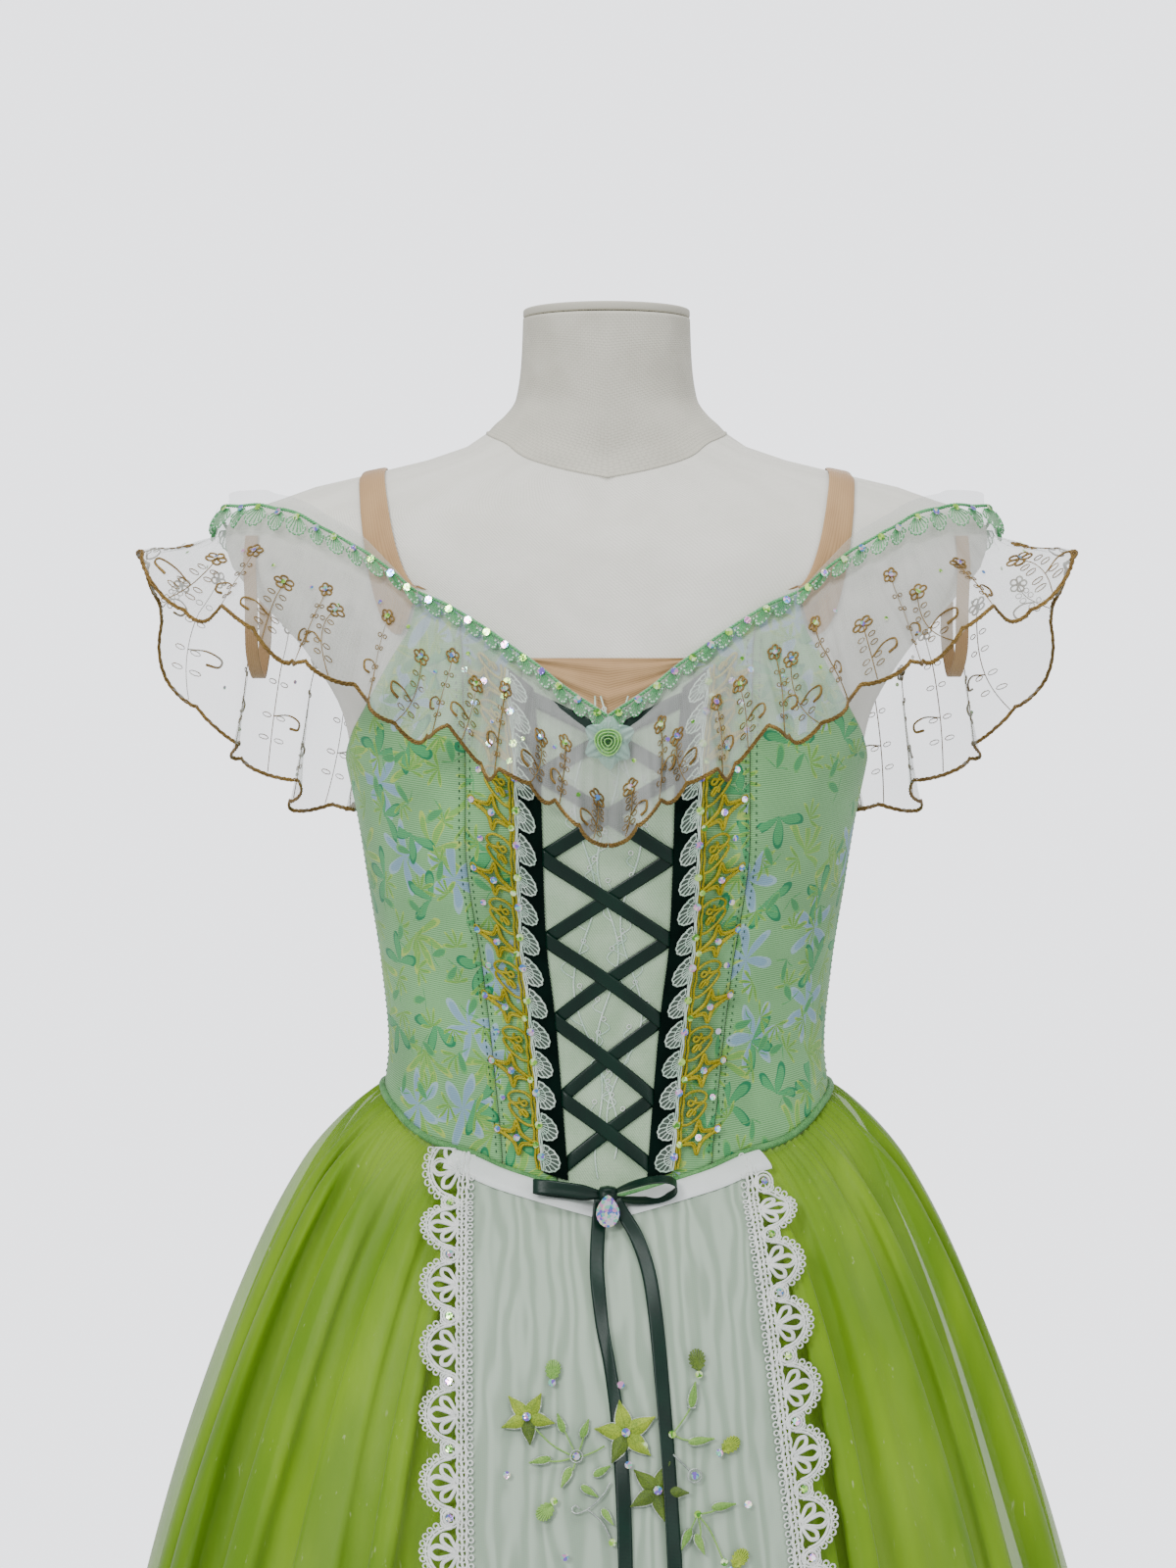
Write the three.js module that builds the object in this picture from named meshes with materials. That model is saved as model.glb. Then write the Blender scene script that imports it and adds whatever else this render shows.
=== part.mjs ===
// Romantic ballet dress on a limbless dress form with a round stand.
// Millimetres, +Z up. The front faces -Y, +X is the right of someone who looks at the front,
// and the origin is on the floor under the middle of the stand.
// Angles run round the body: 0 at the centre front, 90 at the side, 180 at the centre back.
// A lift is a distance out from the dress form's surface.
import * as THREE from "three";
import { mergeVertices } from "three/addons/utils/BufferGeometryUtils.js";

const RADIAN = Math.PI / 180;
const SEAM_GAP = 0.3; // between pieces that are sewn together
const SEAM_ANGLE = 0.09; // half of that gap at the chest, as an angle

// Dress form and stand
const FORM_BOTTOM = 740;
const NECK_TOP = 1454;
const FORM_COLUMNS = 28;
const CAP = { radius: 45, height: 4.5, back: 10 };
const POLE_RADIUS = 14;
const BASE = { radius: 175, height: 16, collar: 24, collarTop: 40 };
const BUST = { height: 12, angle: 32, spread: 26, z: 1196, rise: 46 };
const FORM_SECTIONS = [
  { z: 740, halfWidth: 158, front: 108, back: 116, shift: 0 },
  { z: 850, halfWidth: 168, front: 112, back: 124, shift: 0 },
  { z: 960, halfWidth: 142, front: 98, back: 106, shift: 0 },
  { z: 1040, halfWidth: 117, front: 88, back: 86, shift: 0 },
  { z: 1062, halfWidth: 114.6, front: 87, back: 84, shift: 0 },
  { z: 1106, halfWidth: 118.4, front: 92, back: 86, shift: 0 },
  { z: 1151, halfWidth: 125.3, front: 98, back: 92, shift: 0 },
  { z: 1187, halfWidth: 131, front: 102, back: 97, shift: 0 },
  { z: 1213, halfWidth: 136.5, front: 102, back: 101, shift: 1 },
  { z: 1240, halfWidth: 142, front: 99, back: 102, shift: 2 },
  { z: 1273, halfWidth: 161, front: 93, back: 99, shift: 4 },
  { z: 1302, halfWidth: 187, front: 86, back: 92, shift: 6 },
  { z: 1324, halfWidth: 204, front: 79, back: 84, shift: 8 },
  { z: 1338, halfWidth: 206.5, front: 72, back: 76, shift: 9 },
  { z: 1349, halfWidth: 201, front: 65, back: 68, shift: 10 },
  { z: 1357, halfWidth: 176, front: 60, back: 62, shift: 10 },
  { z: 1365, halfWidth: 153, front: 56, back: 57, shift: 10 },
  { z: 1374, halfWidth: 112, front: 52, back: 53, shift: 10 },
  { z: 1385, halfWidth: 76, front: 50, back: 50, shift: 10 },
  { z: 1397, halfWidth: 60, front: 49, back: 48, shift: 10 },
  { z: 1411, halfWidth: 49, front: 47.5, back: 47, shift: 10 },
  { z: 1432, halfWidth: 46, front: 46.5, back: 46, shift: 10 },
  { z: 1456, halfWidth: 45, front: 45.5, back: 45, shift: 10 },
];
const TORSO_ROWS = [
  740, 850, 935, 1000, 1030, 1048, 1062, 1078, 1098, 1125, 1155, 1187, 1213,
  1240, 1256, 1273, 1302, 1324, 1338, 1349, 1354, 1359, 1365, 1371, 1379, 1393,
];
const NECK_ROWS = [0, 0.22, 0.55, 1];
const NECK_SEAM = [
  { angle: 0, z: 1366 },
  { angle: 23, z: 1376 },
  { angle: 50, z: 1386.5 },
  { angle: 90, z: 1393 },
  { angle: 180, z: 1398 },
];

// Lifts of the layers on the bodice, each from its inner to its outer face
const UNDER_LAYER = [0.5, 1.5];
const STRAP_LAYER = [1.3, 2.6];
const BODICE_WALL = [1.9, 3.9];
const FIRST_LAYER = [4.6, 5.6];
const SECOND_LAYER = [5.9, 6.9];
const VELVET_LAYER = [5, 6.2];
const GOLD_LAYER = [5.3, 6.3];
const PICOT_LAYER = [6.8, 7.8];
const NECK_TRIM_LAYER = [6.5, 7.5];

// Bodice edges and seams
const NECK_PATH = [
  { angle: 0, z: 1243 },
  { angle: 8, z: 1257 },
  { angle: 13, z: 1269 },
  { angle: 16.5, z: 1277 },
  { angle: 22, z: 1290.5 },
  { angle: 26, z: 1299.5 },
  { angle: 31, z: 1308 },
  { angle: 33, z: 1316 },
  { angle: 36, z: 1324 },
  { angle: 40, z: 1331 },
  { angle: 44, z: 1337 },
  { angle: 50, z: 1344 },
  { angle: 57, z: 1348 },
  { angle: 65, z: 1350 },
  { angle: 90, z: 1349 },
  { angle: 100, z: 1344 },
  { angle: 110, z: 1330 },
  { angle: 120, z: 1308 },
  { angle: 130, z: 1284 },
  { angle: 140, z: 1262 },
  { angle: 150, z: 1250 },
  { angle: 165, z: 1246 },
  { angle: 180, z: 1245 },
];
const ARMHOLE = [
  { angle: 0, z: 1400 },
  { angle: 28, z: 1320 },
  { angle: 31, z: 1303 },
  { angle: 36, z: 1286 },
  { angle: 39.5, z: 1279 },
  { angle: 48.5, z: 1262.5 },
  { angle: 58, z: 1248 },
  { angle: 68, z: 1235 },
  { angle: 77, z: 1224 },
  { angle: 90, z: 1214 },
  { angle: 105, z: 1218 },
  { angle: 118, z: 1232 },
  { angle: 130, z: 1250 },
  { angle: 139, z: 1264 },
  { angle: 150, z: 1290 },
  { angle: 180, z: 1400 },
];
const WAIST_EDGE = [
  { angle: 0, z: 995 },
  { angle: 17, z: 1005.5 },
  { angle: 24, z: 1009.5 },
  { angle: 34, z: 1016 },
  { angle: 46, z: 1019.5 },
  { angle: 56, z: 1025 },
  { angle: 70, z: 1034 },
  { angle: 90, z: 1040 },
  { angle: 140, z: 1036 },
  { angle: 180, z: 1030 },
];
const PRINCESS_SEAM = [
  { z: 995, angle: 23.8 },
  { z: 1015, angle: 25.7 },
  { z: 1066, angle: 30.4 },
  { z: 1108, angle: 31.8 },
  { z: 1167, angle: 33.5 },
  { z: 1216, angle: 31.2 },
  { z: 1241, angle: 30.5 },
  { z: 1276, angle: 26.8 },
  { z: 1300, angle: 24.2 },
];
const SIDE_SEAM = 90;
const BACK_SEAM = 139;
const LACED_EDGE = [
  { z: 990, x: 18.5 },
  { z: 1005, x: 19.8 },
  { z: 1048, x: 23.1 },
  { z: 1092, x: 26.8 },
  { z: 1129, x: 31 },
  { z: 1186, x: 33.4 },
  { z: 1218, x: 34.4 },
  { z: 1260, x: 38.2 },
];
const SIDE_FRONT_COLUMNS = [0, 0.08, 0.2, 0.37, 0.57, 0.78, 1];
const BINDING_WIDTH = 4;

// Trims down the front, as distances out from the laced edge
const HEADING = 13.6; // depth of the ruffle's flat heading under the neckline trim
const TRIM_TOP_CLEARANCE = 2.6;
const CENTRE_PANEL_EDGE = 6;
const VELVET_WIDTH = 12.8;
const PICOT = { start: 12.8, width: 9, waist: 6.4, pitch: 14.7 };
const GOLD = { start: 13.2, width: 20.3, pitch: 29.5 };
const LACING = { width: 7, corners: [1213, 1173.5, 1130.5, 1088, 1047, 1013], steps: 6 };

// Ruffle round the neckline and over the shoulders
const RUFFLE = { wall: 1, wave: 38, column: 9.5, stand: 4.2, swing: 0.17, frill: 7, scallop: 2.2 };
const RUFFLE_ROWS = [0, HEADING, HEADING + 1.6, 0.45, 1]; // the last two are shares of the depth
const RUFFLE_HANG = [
  { angle: 0, depth: 66, flare: 10 },
  { angle: 10, depth: 66, flare: 16 },
  { angle: 20, depth: 72, flare: 24 },
  { angle: 35, depth: 80, flare: 27 },
  { angle: 50, depth: 76, flare: 32 },
  { angle: 64, depth: 70, flare: 42 },
  { angle: 75, depth: 60, flare: 58 },
  { angle: 90, depth: 45, flare: 76 },
  { angle: 105, depth: 56, flare: 62 },
  { angle: 120, depth: 70, flare: 42 },
  { angle: 140, depth: 74, flare: 24 },
  { angle: 160, depth: 70, flare: 16 },
  { angle: 180, depth: 68, flare: 12 },
];
const FRONT_CORNER = 30.4;
const BACK_CORNER = 139;
const BACK_END = 177;
const NECK_TRIM = { top: 1.2, pitch: 12.5, waist: 7.8, width: 10.5 };

// Skirt, apron and bow
const HEM_Z = 300;
const HEM = { halfWidth: 350, front: 322, back: 330 };
const SKIRT = { wall: 1.2, folds: 32, perFold: 4, rows: [0, 0.03, 0.14, 0.45, 1] };
const UNDERSKIRT = { wall: 1.2, folds: 16, perFold: 4, rows: [0.012, 0.08, 0.35, 0.97] };
const FLARE_POWER = 0.58;
const FLARE_START = 0.004;
const SKIRT_SEAM = 2.2; // from the bodice's lower edge down to the skirt's upper edge
const FOLD_PEAK = 1.4; // the deepest fold, as a share of the usual one
const APRON = { wall: 1.1, lift: 1.5, length: 380, halfTop: 70.5, halfBottom: 80, corner: 62, sway: 18 };
const APRON_BAND = { wall: 1.2, top: 3, width: 13.5 };
const APRON_LACE = { pitch: 32.3, width: 22, gap: 0.75 };
const BOW = { z: 1001, reach: 36, radius: 7, ribbon: 7, wall: 1, lift: 19 };
const TAILS = { length: 320, ribbon: 7, wall: 1 };

const MATERIALS = {
  canvas: new THREE.MeshStandardMaterial({ color: 0xe9ebe4, roughness: 0.9 }),
  linen: new THREE.MeshStandardMaterial({ color: 0xb9b8ab, roughness: 0.95 }),
  standMetal: new THREE.MeshStandardMaterial({ color: 0xd6d6d2, roughness: 0.4, metalness: 0.6 }),
  nude: new THREE.MeshStandardMaterial({ color: 0xbd9a75, roughness: 0.7 }),
  brocade: new THREE.MeshStandardMaterial({ color: 0x86b884, roughness: 0.6 }),
  mintLace: new THREE.MeshStandardMaterial({ color: 0xb9d0b4, roughness: 0.7 }),
  velvet: new THREE.MeshStandardMaterial({ color: 0x051a14, roughness: 0.9 }),
  satin: new THREE.MeshStandardMaterial({ color: 0x06281f, roughness: 0.35 }),
  mintTrim: new THREE.MeshStandardMaterial({ color: 0x9fcfae, roughness: 0.6 }),
  picot: new THREE.MeshStandardMaterial({ color: 0xd5e6dc, roughness: 0.6 }),
  gold: new THREE.MeshStandardMaterial({ color: 0x9a8222, roughness: 0.45, metalness: 0.3 }),
  tulle: new THREE.MeshStandardMaterial({ color: 0xe6e8e2, roughness: 0.8 }),
  chiffon: new THREE.MeshStandardMaterial({ color: 0x86ab2a, roughness: 0.7 }),
  underTulle: new THREE.MeshStandardMaterial({ color: 0x6f9a06, roughness: 0.8 }),
  organza: new THREE.MeshStandardMaterial({ color: 0xc3d2bf, roughness: 0.4 }),
  whiteSatin: new THREE.MeshStandardMaterial({ color: 0xf0f3f1, roughness: 0.5 }),
  petal: new THREE.MeshStandardMaterial({ color: 0xa9cbbd, roughness: 0.4 }),
  rosette: new THREE.MeshStandardMaterial({ color: 0xb5f08a, roughness: 0.4 }),
  stitch: new THREE.MeshStandardMaterial({ color: 0x9fb02e, roughness: 0.5 }),
  crystal: new THREE.MeshStandardMaterial({ color: 0xd9c8f0, roughness: 0.05, metalness: 0.2 }),
};

const dress = new THREE.Group();

// Curves through tables, and solids from grids of points

// A smooth curve through a table's rows that never overshoots them.
function curve(rows, across, up) {
  const xs = rows.map((row) => row[across]);
  const ys = rows.map((row) => row[up]);
  const last = xs.length - 1;
  const steps = xs.slice(1).map((x, i) => x - xs[i]);
  const slopes = steps.map((step, i) => (ys[i + 1] - ys[i]) / step);
  const tangent = (i) => {
    if (i === 0) return slopes[0];
    if (i === last) return slopes[last - 1];
    if (slopes[i - 1] * slopes[i] <= 0) return 0;
    const before = 2 * steps[i] + steps[i - 1];
    const after = steps[i] + 2 * steps[i - 1];
    return (before + after) / (before / slopes[i - 1] + after / slopes[i]);
  };
  const tangents = xs.map((x, i) => tangent(i));
  return (at) => {
    if (at <= xs[0]) return ys[0];
    if (at >= xs[last]) return ys[last];
    let i = 0;
    while (xs[i + 1] < at) i += 1;
    const t = (at - xs[i]) / steps[i];
    const rise = t * t * (3 - 2 * t);
    const leave = t * (1 - t) * (1 - t) * steps[i] * tangents[i];
    const arrive = t * t * (t - 1) * steps[i] * tangents[i + 1];
    return ys[i] * (1 - rise) + ys[i + 1] * rise + leave + arrive;
  };
}

// A closed solid from its points and triangles, turned so that its faces point out.
function solid(points, triangles) {
  const volume = triangles.reduce((sum, [a, b, c]) => {
    const cross = new THREE.Vector3().crossVectors(points[b], points[c]);
    return sum + points[a].dot(cross);
  }, 0);
  const turned = volume < 0 ? triangles.map(([a, b, c]) => [a, c, b]) : triangles;
  const geometry = new THREE.BufferGeometry().setFromPoints(points);
  geometry.setIndex(turned.flat());
  return geometry;
}

function addMesh(name, material, geometry) {
  geometry.computeVertexNormals();
  const mesh = new THREE.Mesh(geometry, material);
  mesh.name = name;
  dress.add(mesh);
}

// A wall between two faces, each a grid of points: at(i, j, face) with face 0 inside and 1 outside.
// ring joins the last column to the first.
function wall(columns, rows, at, ring = false) {
  const points = [];
  const index = (i, j, face) => ((i % columns) * rows + j) * 2 + face;
  for (let i = 0; i < columns; i += 1) {
    for (let j = 0; j < rows; j += 1) points.push(at(i, j, 0), at(i, j, 1));
  }
  const triangles = [];
  const quad = (a, b, c, d) => triangles.push([a, b, c], [a, c, d]);
  const spans = ring ? columns : columns - 1;
  for (let i = 0; i < spans; i += 1) {
    for (let j = 0; j < rows - 1; j += 1) {
      quad(index(i, j, 1), index(i + 1, j, 1), index(i + 1, j + 1, 1), index(i, j + 1, 1));
      quad(index(i, j, 0), index(i, j + 1, 0), index(i + 1, j + 1, 0), index(i + 1, j, 0));
    }
    quad(index(i, 0, 0), index(i + 1, 0, 0), index(i + 1, 0, 1), index(i, 0, 1));
    const top = rows - 1;
    quad(index(i, top, 1), index(i + 1, top, 1), index(i + 1, top, 0), index(i, top, 0));
  }
  if (!ring) {
    const end = columns - 1;
    for (let j = 0; j < rows - 1; j += 1) {
      quad(index(0, j, 0), index(0, j, 1), index(0, j + 1, 1), index(0, j + 1, 0));
      quad(index(end, j, 1), index(end, j, 0), index(end, j + 1, 0), index(end, j + 1, 1));
    }
  }
  return solid(points, triangles);
}

// A solid from rings of points, closed at both ends by a fan round each ring's middle.
function loft(rings) {
  const columns = rings[0].length;
  const points = rings.flat();
  const triangles = [];
  for (let j = 0; j < rings.length - 1; j += 1) {
    for (let i = 0; i < columns; i += 1) {
      const next = (i + 1) % columns;
      const a = j * columns + i;
      const b = j * columns + next;
      triangles.push([a, b, b + columns], [a, b + columns, a + columns]);
    }
  }
  const fan = (ring, first, turned) => {
    const middle = ring.reduce((sum, p) => sum.add(p), new THREE.Vector3());
    points.push(middle.divideScalar(columns));
    const centre = points.length - 1;
    for (let i = 0; i < columns; i += 1) {
      const pair = [first + i, first + ((i + 1) % columns)];
      triangles.push(turned ? [centre, pair[1], pair[0]] : [centre, pair[0], pair[1]]);
    }
  };
  fan(rings[0], 0, true);
  fan(rings[rings.length - 1], (rings.length - 1) * columns, false);
  return solid(points, triangles);
}

// A band of lace from one repeat's outline and holes, bent into place by place(along, out, face).
// The outline starts at the repeat's first corner on the straight edge and ends on the line where
// the repeat before it joins.
function laceBand(repeats, pitch, outline, holes, place) {
  const corners = outline.map(([u, v]) => new THREE.Vector2(u * pitch, v));
  const gaps = holes.map((hole) => hole.map(([u, v]) => new THREE.Vector2(u * pitch, v)));
  const flat = corners.concat(...gaps);
  const faces = THREE.ShapeUtils.triangulateShape(corners, gaps);
  const points = [];
  const triangles = [];
  const add = (cell, corner, face) => {
    points.push(place(cell * pitch + corner.x, corner.y, face));
    return points.length - 1;
  };
  const joins = (a, b, side) => Math.abs(a.x - side) < 1e-6 && Math.abs(b.x - side) < 1e-6;
  for (let cell = 0; cell < repeats; cell += 1) {
    faces.forEach(([a, b, c]) => {
      triangles.push([add(cell, flat[a], 1), add(cell, flat[b], 1), add(cell, flat[c], 1)]);
      triangles.push([add(cell, flat[a], 0), add(cell, flat[c], 0), add(cell, flat[b], 0)]);
    });
    [corners, ...gaps].forEach((loop, depth) => {
      const turned = THREE.ShapeUtils.isClockWise(loop) === (depth === 0);
      loop.forEach((from, i) => {
        const to = loop[(i + 1) % loop.length];
        if (depth === 0 && cell > 0 && joins(from, to, 0)) return;
        if (depth === 0 && cell < repeats - 1 && joins(from, to, pitch)) return;
        const [a, b] = turned ? [to, from] : [from, to];
        triangles.push([add(cell, a, 0), add(cell, b, 0), add(cell, b, 1)]);
        triangles.push([add(cell, a, 0), add(cell, b, 1), add(cell, a, 1)]);
      });
    });
  }
  const merged = mergeVertices(solid(points, triangles), 1e-3);
  const position = merged.getAttribute("position");
  const unique = Array.from({ length: position.count }, (_, i) =>
    new THREE.Vector3().fromBufferAttribute(position, i),
  );
  const index = merged.index.array;
  const closed = [];
  for (let i = 0; i < index.length; i += 3) closed.push([index[i], index[i + 1], index[i + 2]]);
  return solid(unique, closed);
}

// The directions square to a line of flat points, on its left side.
function normals(line) {
  return line.map((point, i) => {
    const before = line[Math.max(i - 1, 0)];
    const after = line[Math.min(i + 1, line.length - 1)];
    return new THREE.Vector2(before.y - after.y, after.x - before.x).normalize();
  });
}

const between = (from, to, share) => from + (to - from) * share;
const bothSides = [
  { label: "left", sign: -1 },
  { label: "right", sign: 1 },
];

// Dress form

const formHalfWidth = curve(FORM_SECTIONS, "z", "halfWidth");
const formFront = curve(FORM_SECTIONS, "z", "front");
const formBack = curve(FORM_SECTIONS, "z", "back");
const formShift = curve(FORM_SECTIONS, "z", "shift");
const neckSeam = curve(NECK_SEAM, "angle", "z");

// The dress form's surface at an angle and a height.
function formSurface(angle, z) {
  const turn = angle * RADIAN;
  const depth = Math.cos(turn) > 0 ? formFront(z) : formBack(z);
  const bell = (distance, spread) => Math.exp(-((distance / spread) ** 2));
  const around = bell(angle - BUST.angle, BUST.spread) + bell(angle + BUST.angle, BUST.spread);
  const bust = BUST.height * around * bell(z - BUST.z, BUST.rise);
  const forward = bust * Math.sqrt(Math.max(Math.cos(turn), 0));
  const y = formShift(z) - depth * Math.cos(turn) - forward;
  return new THREE.Vector3(formHalfWidth(z) * Math.sin(turn), y, z);
}

// The direction straight out of a surface given as a function of two values.
function outward(surface, a, b, stepA, stepB) {
  const along = surface(a + stepA, b).sub(surface(a - stepA, b));
  const up = surface(a, b + stepB).sub(surface(a, b - stepB));
  return along.cross(up).normalize();
}

function formPoint(angle, z, lift) {
  const wrapped = angle > 180 ? angle - 360 : angle;
  const normal = outward(formSurface, wrapped, z, 0.1, 0.2);
  return formSurface(wrapped, z).addScaledVector(normal, lift);
}

const angleAt = (x, z) => Math.asin(Math.min(1, x / (formHalfWidth(z) + 4))) / RADIAN;

function addDressForm() {
  const seamAt = (angle) => neckSeam(Math.abs(angle));
  const angles = Array.from({ length: FORM_COLUMNS }, (_, i) => (360 * i) / FORM_COLUMNS - 180);
  const side = NECK_SEAM.find((row) => row.angle === SIDE_SEAM).z;
  const torso = TORSO_ROWS.map((row) => {
    const share = (row - FORM_BOTTOM) / (side - FORM_BOTTOM);
    return angles.map((a) => formSurface(a, between(FORM_BOTTOM, seamAt(a), share)));
  });
  addMesh("form_torso", MATERIALS.canvas, loft(torso));
  const neck = NECK_ROWS.map((share) =>
    angles.map((a) => formSurface(a, between(seamAt(a) + SEAM_GAP, NECK_TOP, share))),
  );
  addMesh("form_neck", MATERIALS.linen, loft(neck));

  const bottom = NECK_TOP + SEAM_GAP;
  const capProfile = [
    [0, bottom],
    [CAP.radius - 1, bottom],
    [CAP.radius, bottom + 1],
    [CAP.radius, bottom + CAP.height - 1],
    [CAP.radius - 1, bottom + CAP.height],
    [0, bottom + CAP.height],
  ];
  const cap = lathe(capProfile, 20);
  cap.translate(0, CAP.back, 0);
  addMesh("neck_cap", MATERIALS.linen, cap);
}

// A turned solid from a profile of radius and height, upright on Z.
function lathe(profile, segments) {
  const points = profile.map(([r, z]) => new THREE.Vector2(r, z));
  const turned = new THREE.LatheGeometry(points, segments);
  turned.deleteAttribute("normal");
  turned.deleteAttribute("uv");
  const geometry = mergeVertices(turned, 1e-4);
  geometry.rotateX(Math.PI / 2);
  return geometry;
}

function addStand() {
  const top = BASE.height;
  const base = [
    [0, 0],
    [BASE.radius - 3, 0],
    [BASE.radius, 3],
    [BASE.radius, top - 4],
    [BASE.radius - 5, top],
    [BASE.collar, top + 4],
    [BASE.collar, BASE.collarTop],
    [0, BASE.collarTop],
  ];
  addMesh("stand_base", MATERIALS.standMetal, lathe(base, 32));
  const pole = [
    [0, BASE.collarTop + SEAM_GAP],
    [POLE_RADIUS, BASE.collarTop + SEAM_GAP],
    [POLE_RADIUS, FORM_BOTTOM - SEAM_GAP],
    [0, FORM_BOTTOM - SEAM_GAP],
  ];
  addMesh("stand_pole", MATERIALS.standMetal, lathe(pole, 20));
}

// Bodice

const neckPath = curve(NECK_PATH, "angle", "z");
const armhole = curve(ARMHOLE, "angle", "z");
const waistEdge = curve(WAIST_EDGE, "angle", "z");
const princessSeam = curve(PRINCESS_SEAM, "z", "angle");
const lacedEdge = curve(LACED_EDGE, "z", "x");
const bodiceTop = (angle) => Math.min(neckPath(angle), armhole(angle));

// A cloth panel on the body between two seams, from the waist edge to the bodice's top edge.
function bodicePanel(sign, fromSeam, toSeam, shares, rows) {
  const place = (share, rise) => {
    let z = between(waistEdge(60), bodiceTop(60), rise);
    let angle = 0;
    for (let round = 0; round < 12; round += 1) {
      const from = fromSeam(z) + SEAM_ANGLE;
      angle = between(from, toSeam(z) - SEAM_ANGLE, share);
      const low = waistEdge(Math.abs(angle));
      z = between(low, bodiceTop(Math.abs(angle)), rise);
    }
    return { angle, z };
  };
  return wall(shares.length, rows + 1, (i, j, face) => {
    const { angle, z } = place(shares[i], j / rows);
    return formPoint(sign * angle, z, BODICE_WALL[face]);
  });
}

const evenShares = (count) => Array.from({ length: count + 1 }, (_, i) => i / count);

function addBodice() {
  const centreEdge = (z) => angleAt(lacedEdge(z) + CENTRE_PANEL_EDGE, z);
  const centre = bodicePanel(1, (z) => -centreEdge(z), centreEdge, evenShares(6), 12);
  addMesh("front_centre_panel", MATERIALS.mintLace, centre);
  bothSides.forEach(({ label, sign }) => {
    const front = bodicePanel(sign, centreEdge, princessSeam, evenShares(3), 11);
    addMesh(`front_panel_${label}`, MATERIALS.brocade, front);
    const sideFront = bodicePanel(sign, princessSeam, () => SIDE_SEAM, SIDE_FRONT_COLUMNS, 11);
    addMesh(`side_front_panel_${label}`, MATERIALS.brocade, sideFront);
    const sideBack = bodicePanel(sign, () => SIDE_SEAM, () => BACK_SEAM, evenShares(5), 8);
    addMesh(`side_back_panel_${label}`, MATERIALS.brocade, sideBack);
    const back = bodicePanel(sign, () => BACK_SEAM, () => 180, evenShares(5), 8);
    addMesh(`back_panel_${label}`, MATERIALS.brocade, back);
  });

  // The lapped edge that hides the hooks down the centre back.
  const placket = { half: 5.5, rows: 8 };
  const placketWall = wall(3, placket.rows + 1, (i, j, face) => {
    const low = waistEdge(180) + BINDING_WIDTH + 2 * SEAM_GAP;
    const z = between(low, neckPath(180) - HEADING - TRIM_TOP_CLEARANCE, j / placket.rows);
    const angle = 180 + ((i - 1) * placket.half) / (formHalfWidth(z) * RADIAN);
    return formPoint(angle, z, FIRST_LAYER[face]);
  });
  addMesh("back_placket", MATERIALS.brocade, placketWall);

  const around = 40;
  const binding = wall(
    around,
    2,
    (i, j, face) => {
      const angle = (360 * i) / around - 180;
      const z = waistEdge(Math.abs(angle)) + j * BINDING_WIDTH;
      return formPoint(angle, z, FIRST_LAYER[face]);
    },
    true,
  );
  addMesh("waist_binding", MATERIALS.brocade, binding);
}

// The stretch band that fills the V of the neckline, and the straps over the shoulders.
function addNudePieces() {
  const band = { reach: 20, top: 1272, rows: 3, under: 8 };
  const bandWall = wall(11, band.rows + 1, (i, j, face) => {
    const angle = between(-band.reach, band.reach, i / 10);
    const low = Math.min(neckPath(Math.abs(angle)) - band.under, band.top - 4);
    return formPoint(angle, between(low, band.top, j / band.rows), UNDER_LAYER[face]);
  });
  addMesh("neck_band", MATERIALS.nude, bandWall);

  // Each strap edge climbs the chest, crosses the shoulder line and goes down the back.
  const strap = { front: 99, ridge: 125, back: 76, half: 6.7, steps: 9, foot: 3 };
  const strapAngle = (x, z, onFront) => {
    const angle = Math.asin(Math.min(1, x / formHalfWidth(z))) / RADIAN;
    return onFront ? angle : 180 - angle;
  };
  const strapEdge = (offset, step) => {
    const climb = Math.abs(step) / strap.steps;
    const onFront = step <= 0;
    const crossing = strap.ridge + offset;
    const footX = (onFront ? strap.front : strap.back) + offset;
    let footZ = onFront ? 1300 : 1250;
    for (let round = 0; round < 12; round += 1) {
      footZ = bodiceTop(strapAngle(footX, footZ, onFront)) + strap.foot;
    }
    const z = between(shoulderHeight(crossing), footZ, climb ** 2.5);
    return { angle: strapAngle(between(crossing, footX, climb), z, onFront), z };
  };
  bothSides.forEach(({ label, sign }) => {
    const strapWall = wall(2 * strap.steps + 1, 2, (i, j, face) => {
      const { angle, z } = strapEdge((j * 2 - 1) * strap.half, i - strap.steps);
      return formPoint(sign * angle, z, STRAP_LAYER[face]);
    });
    addMesh(`strap_${label}`, MATERIALS.nude, strapWall);
  });
}

// The height at which the shoulder line is x away from the middle.
function shoulderHeight(x) {
  let low = 1349;
  let high = 1400;
  for (let round = 0; round < 40; round += 1) {
    const middle = (low + high) / 2;
    if (formHalfWidth(middle) > x) low = middle;
    else high = middle;
  }
  return low;
}

// Trims down the front

// Where a trim runs, from just over the waist binding to just under the ruffle's heading.
function trimSpan(out) {
  const angleAtZ = (z) => angleAt(lacedEdge(z) + out, z);
  let low = waistEdge(20);
  let high = neckPath(20);
  for (let round = 0; round < 12; round += 1) {
    low = waistEdge(angleAtZ(low)) + BINDING_WIDTH + SEAM_GAP;
    high = neckPath(angleAtZ(high)) - HEADING - TRIM_TOP_CLEARANCE;
  }
  return { low, high };
}

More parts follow.
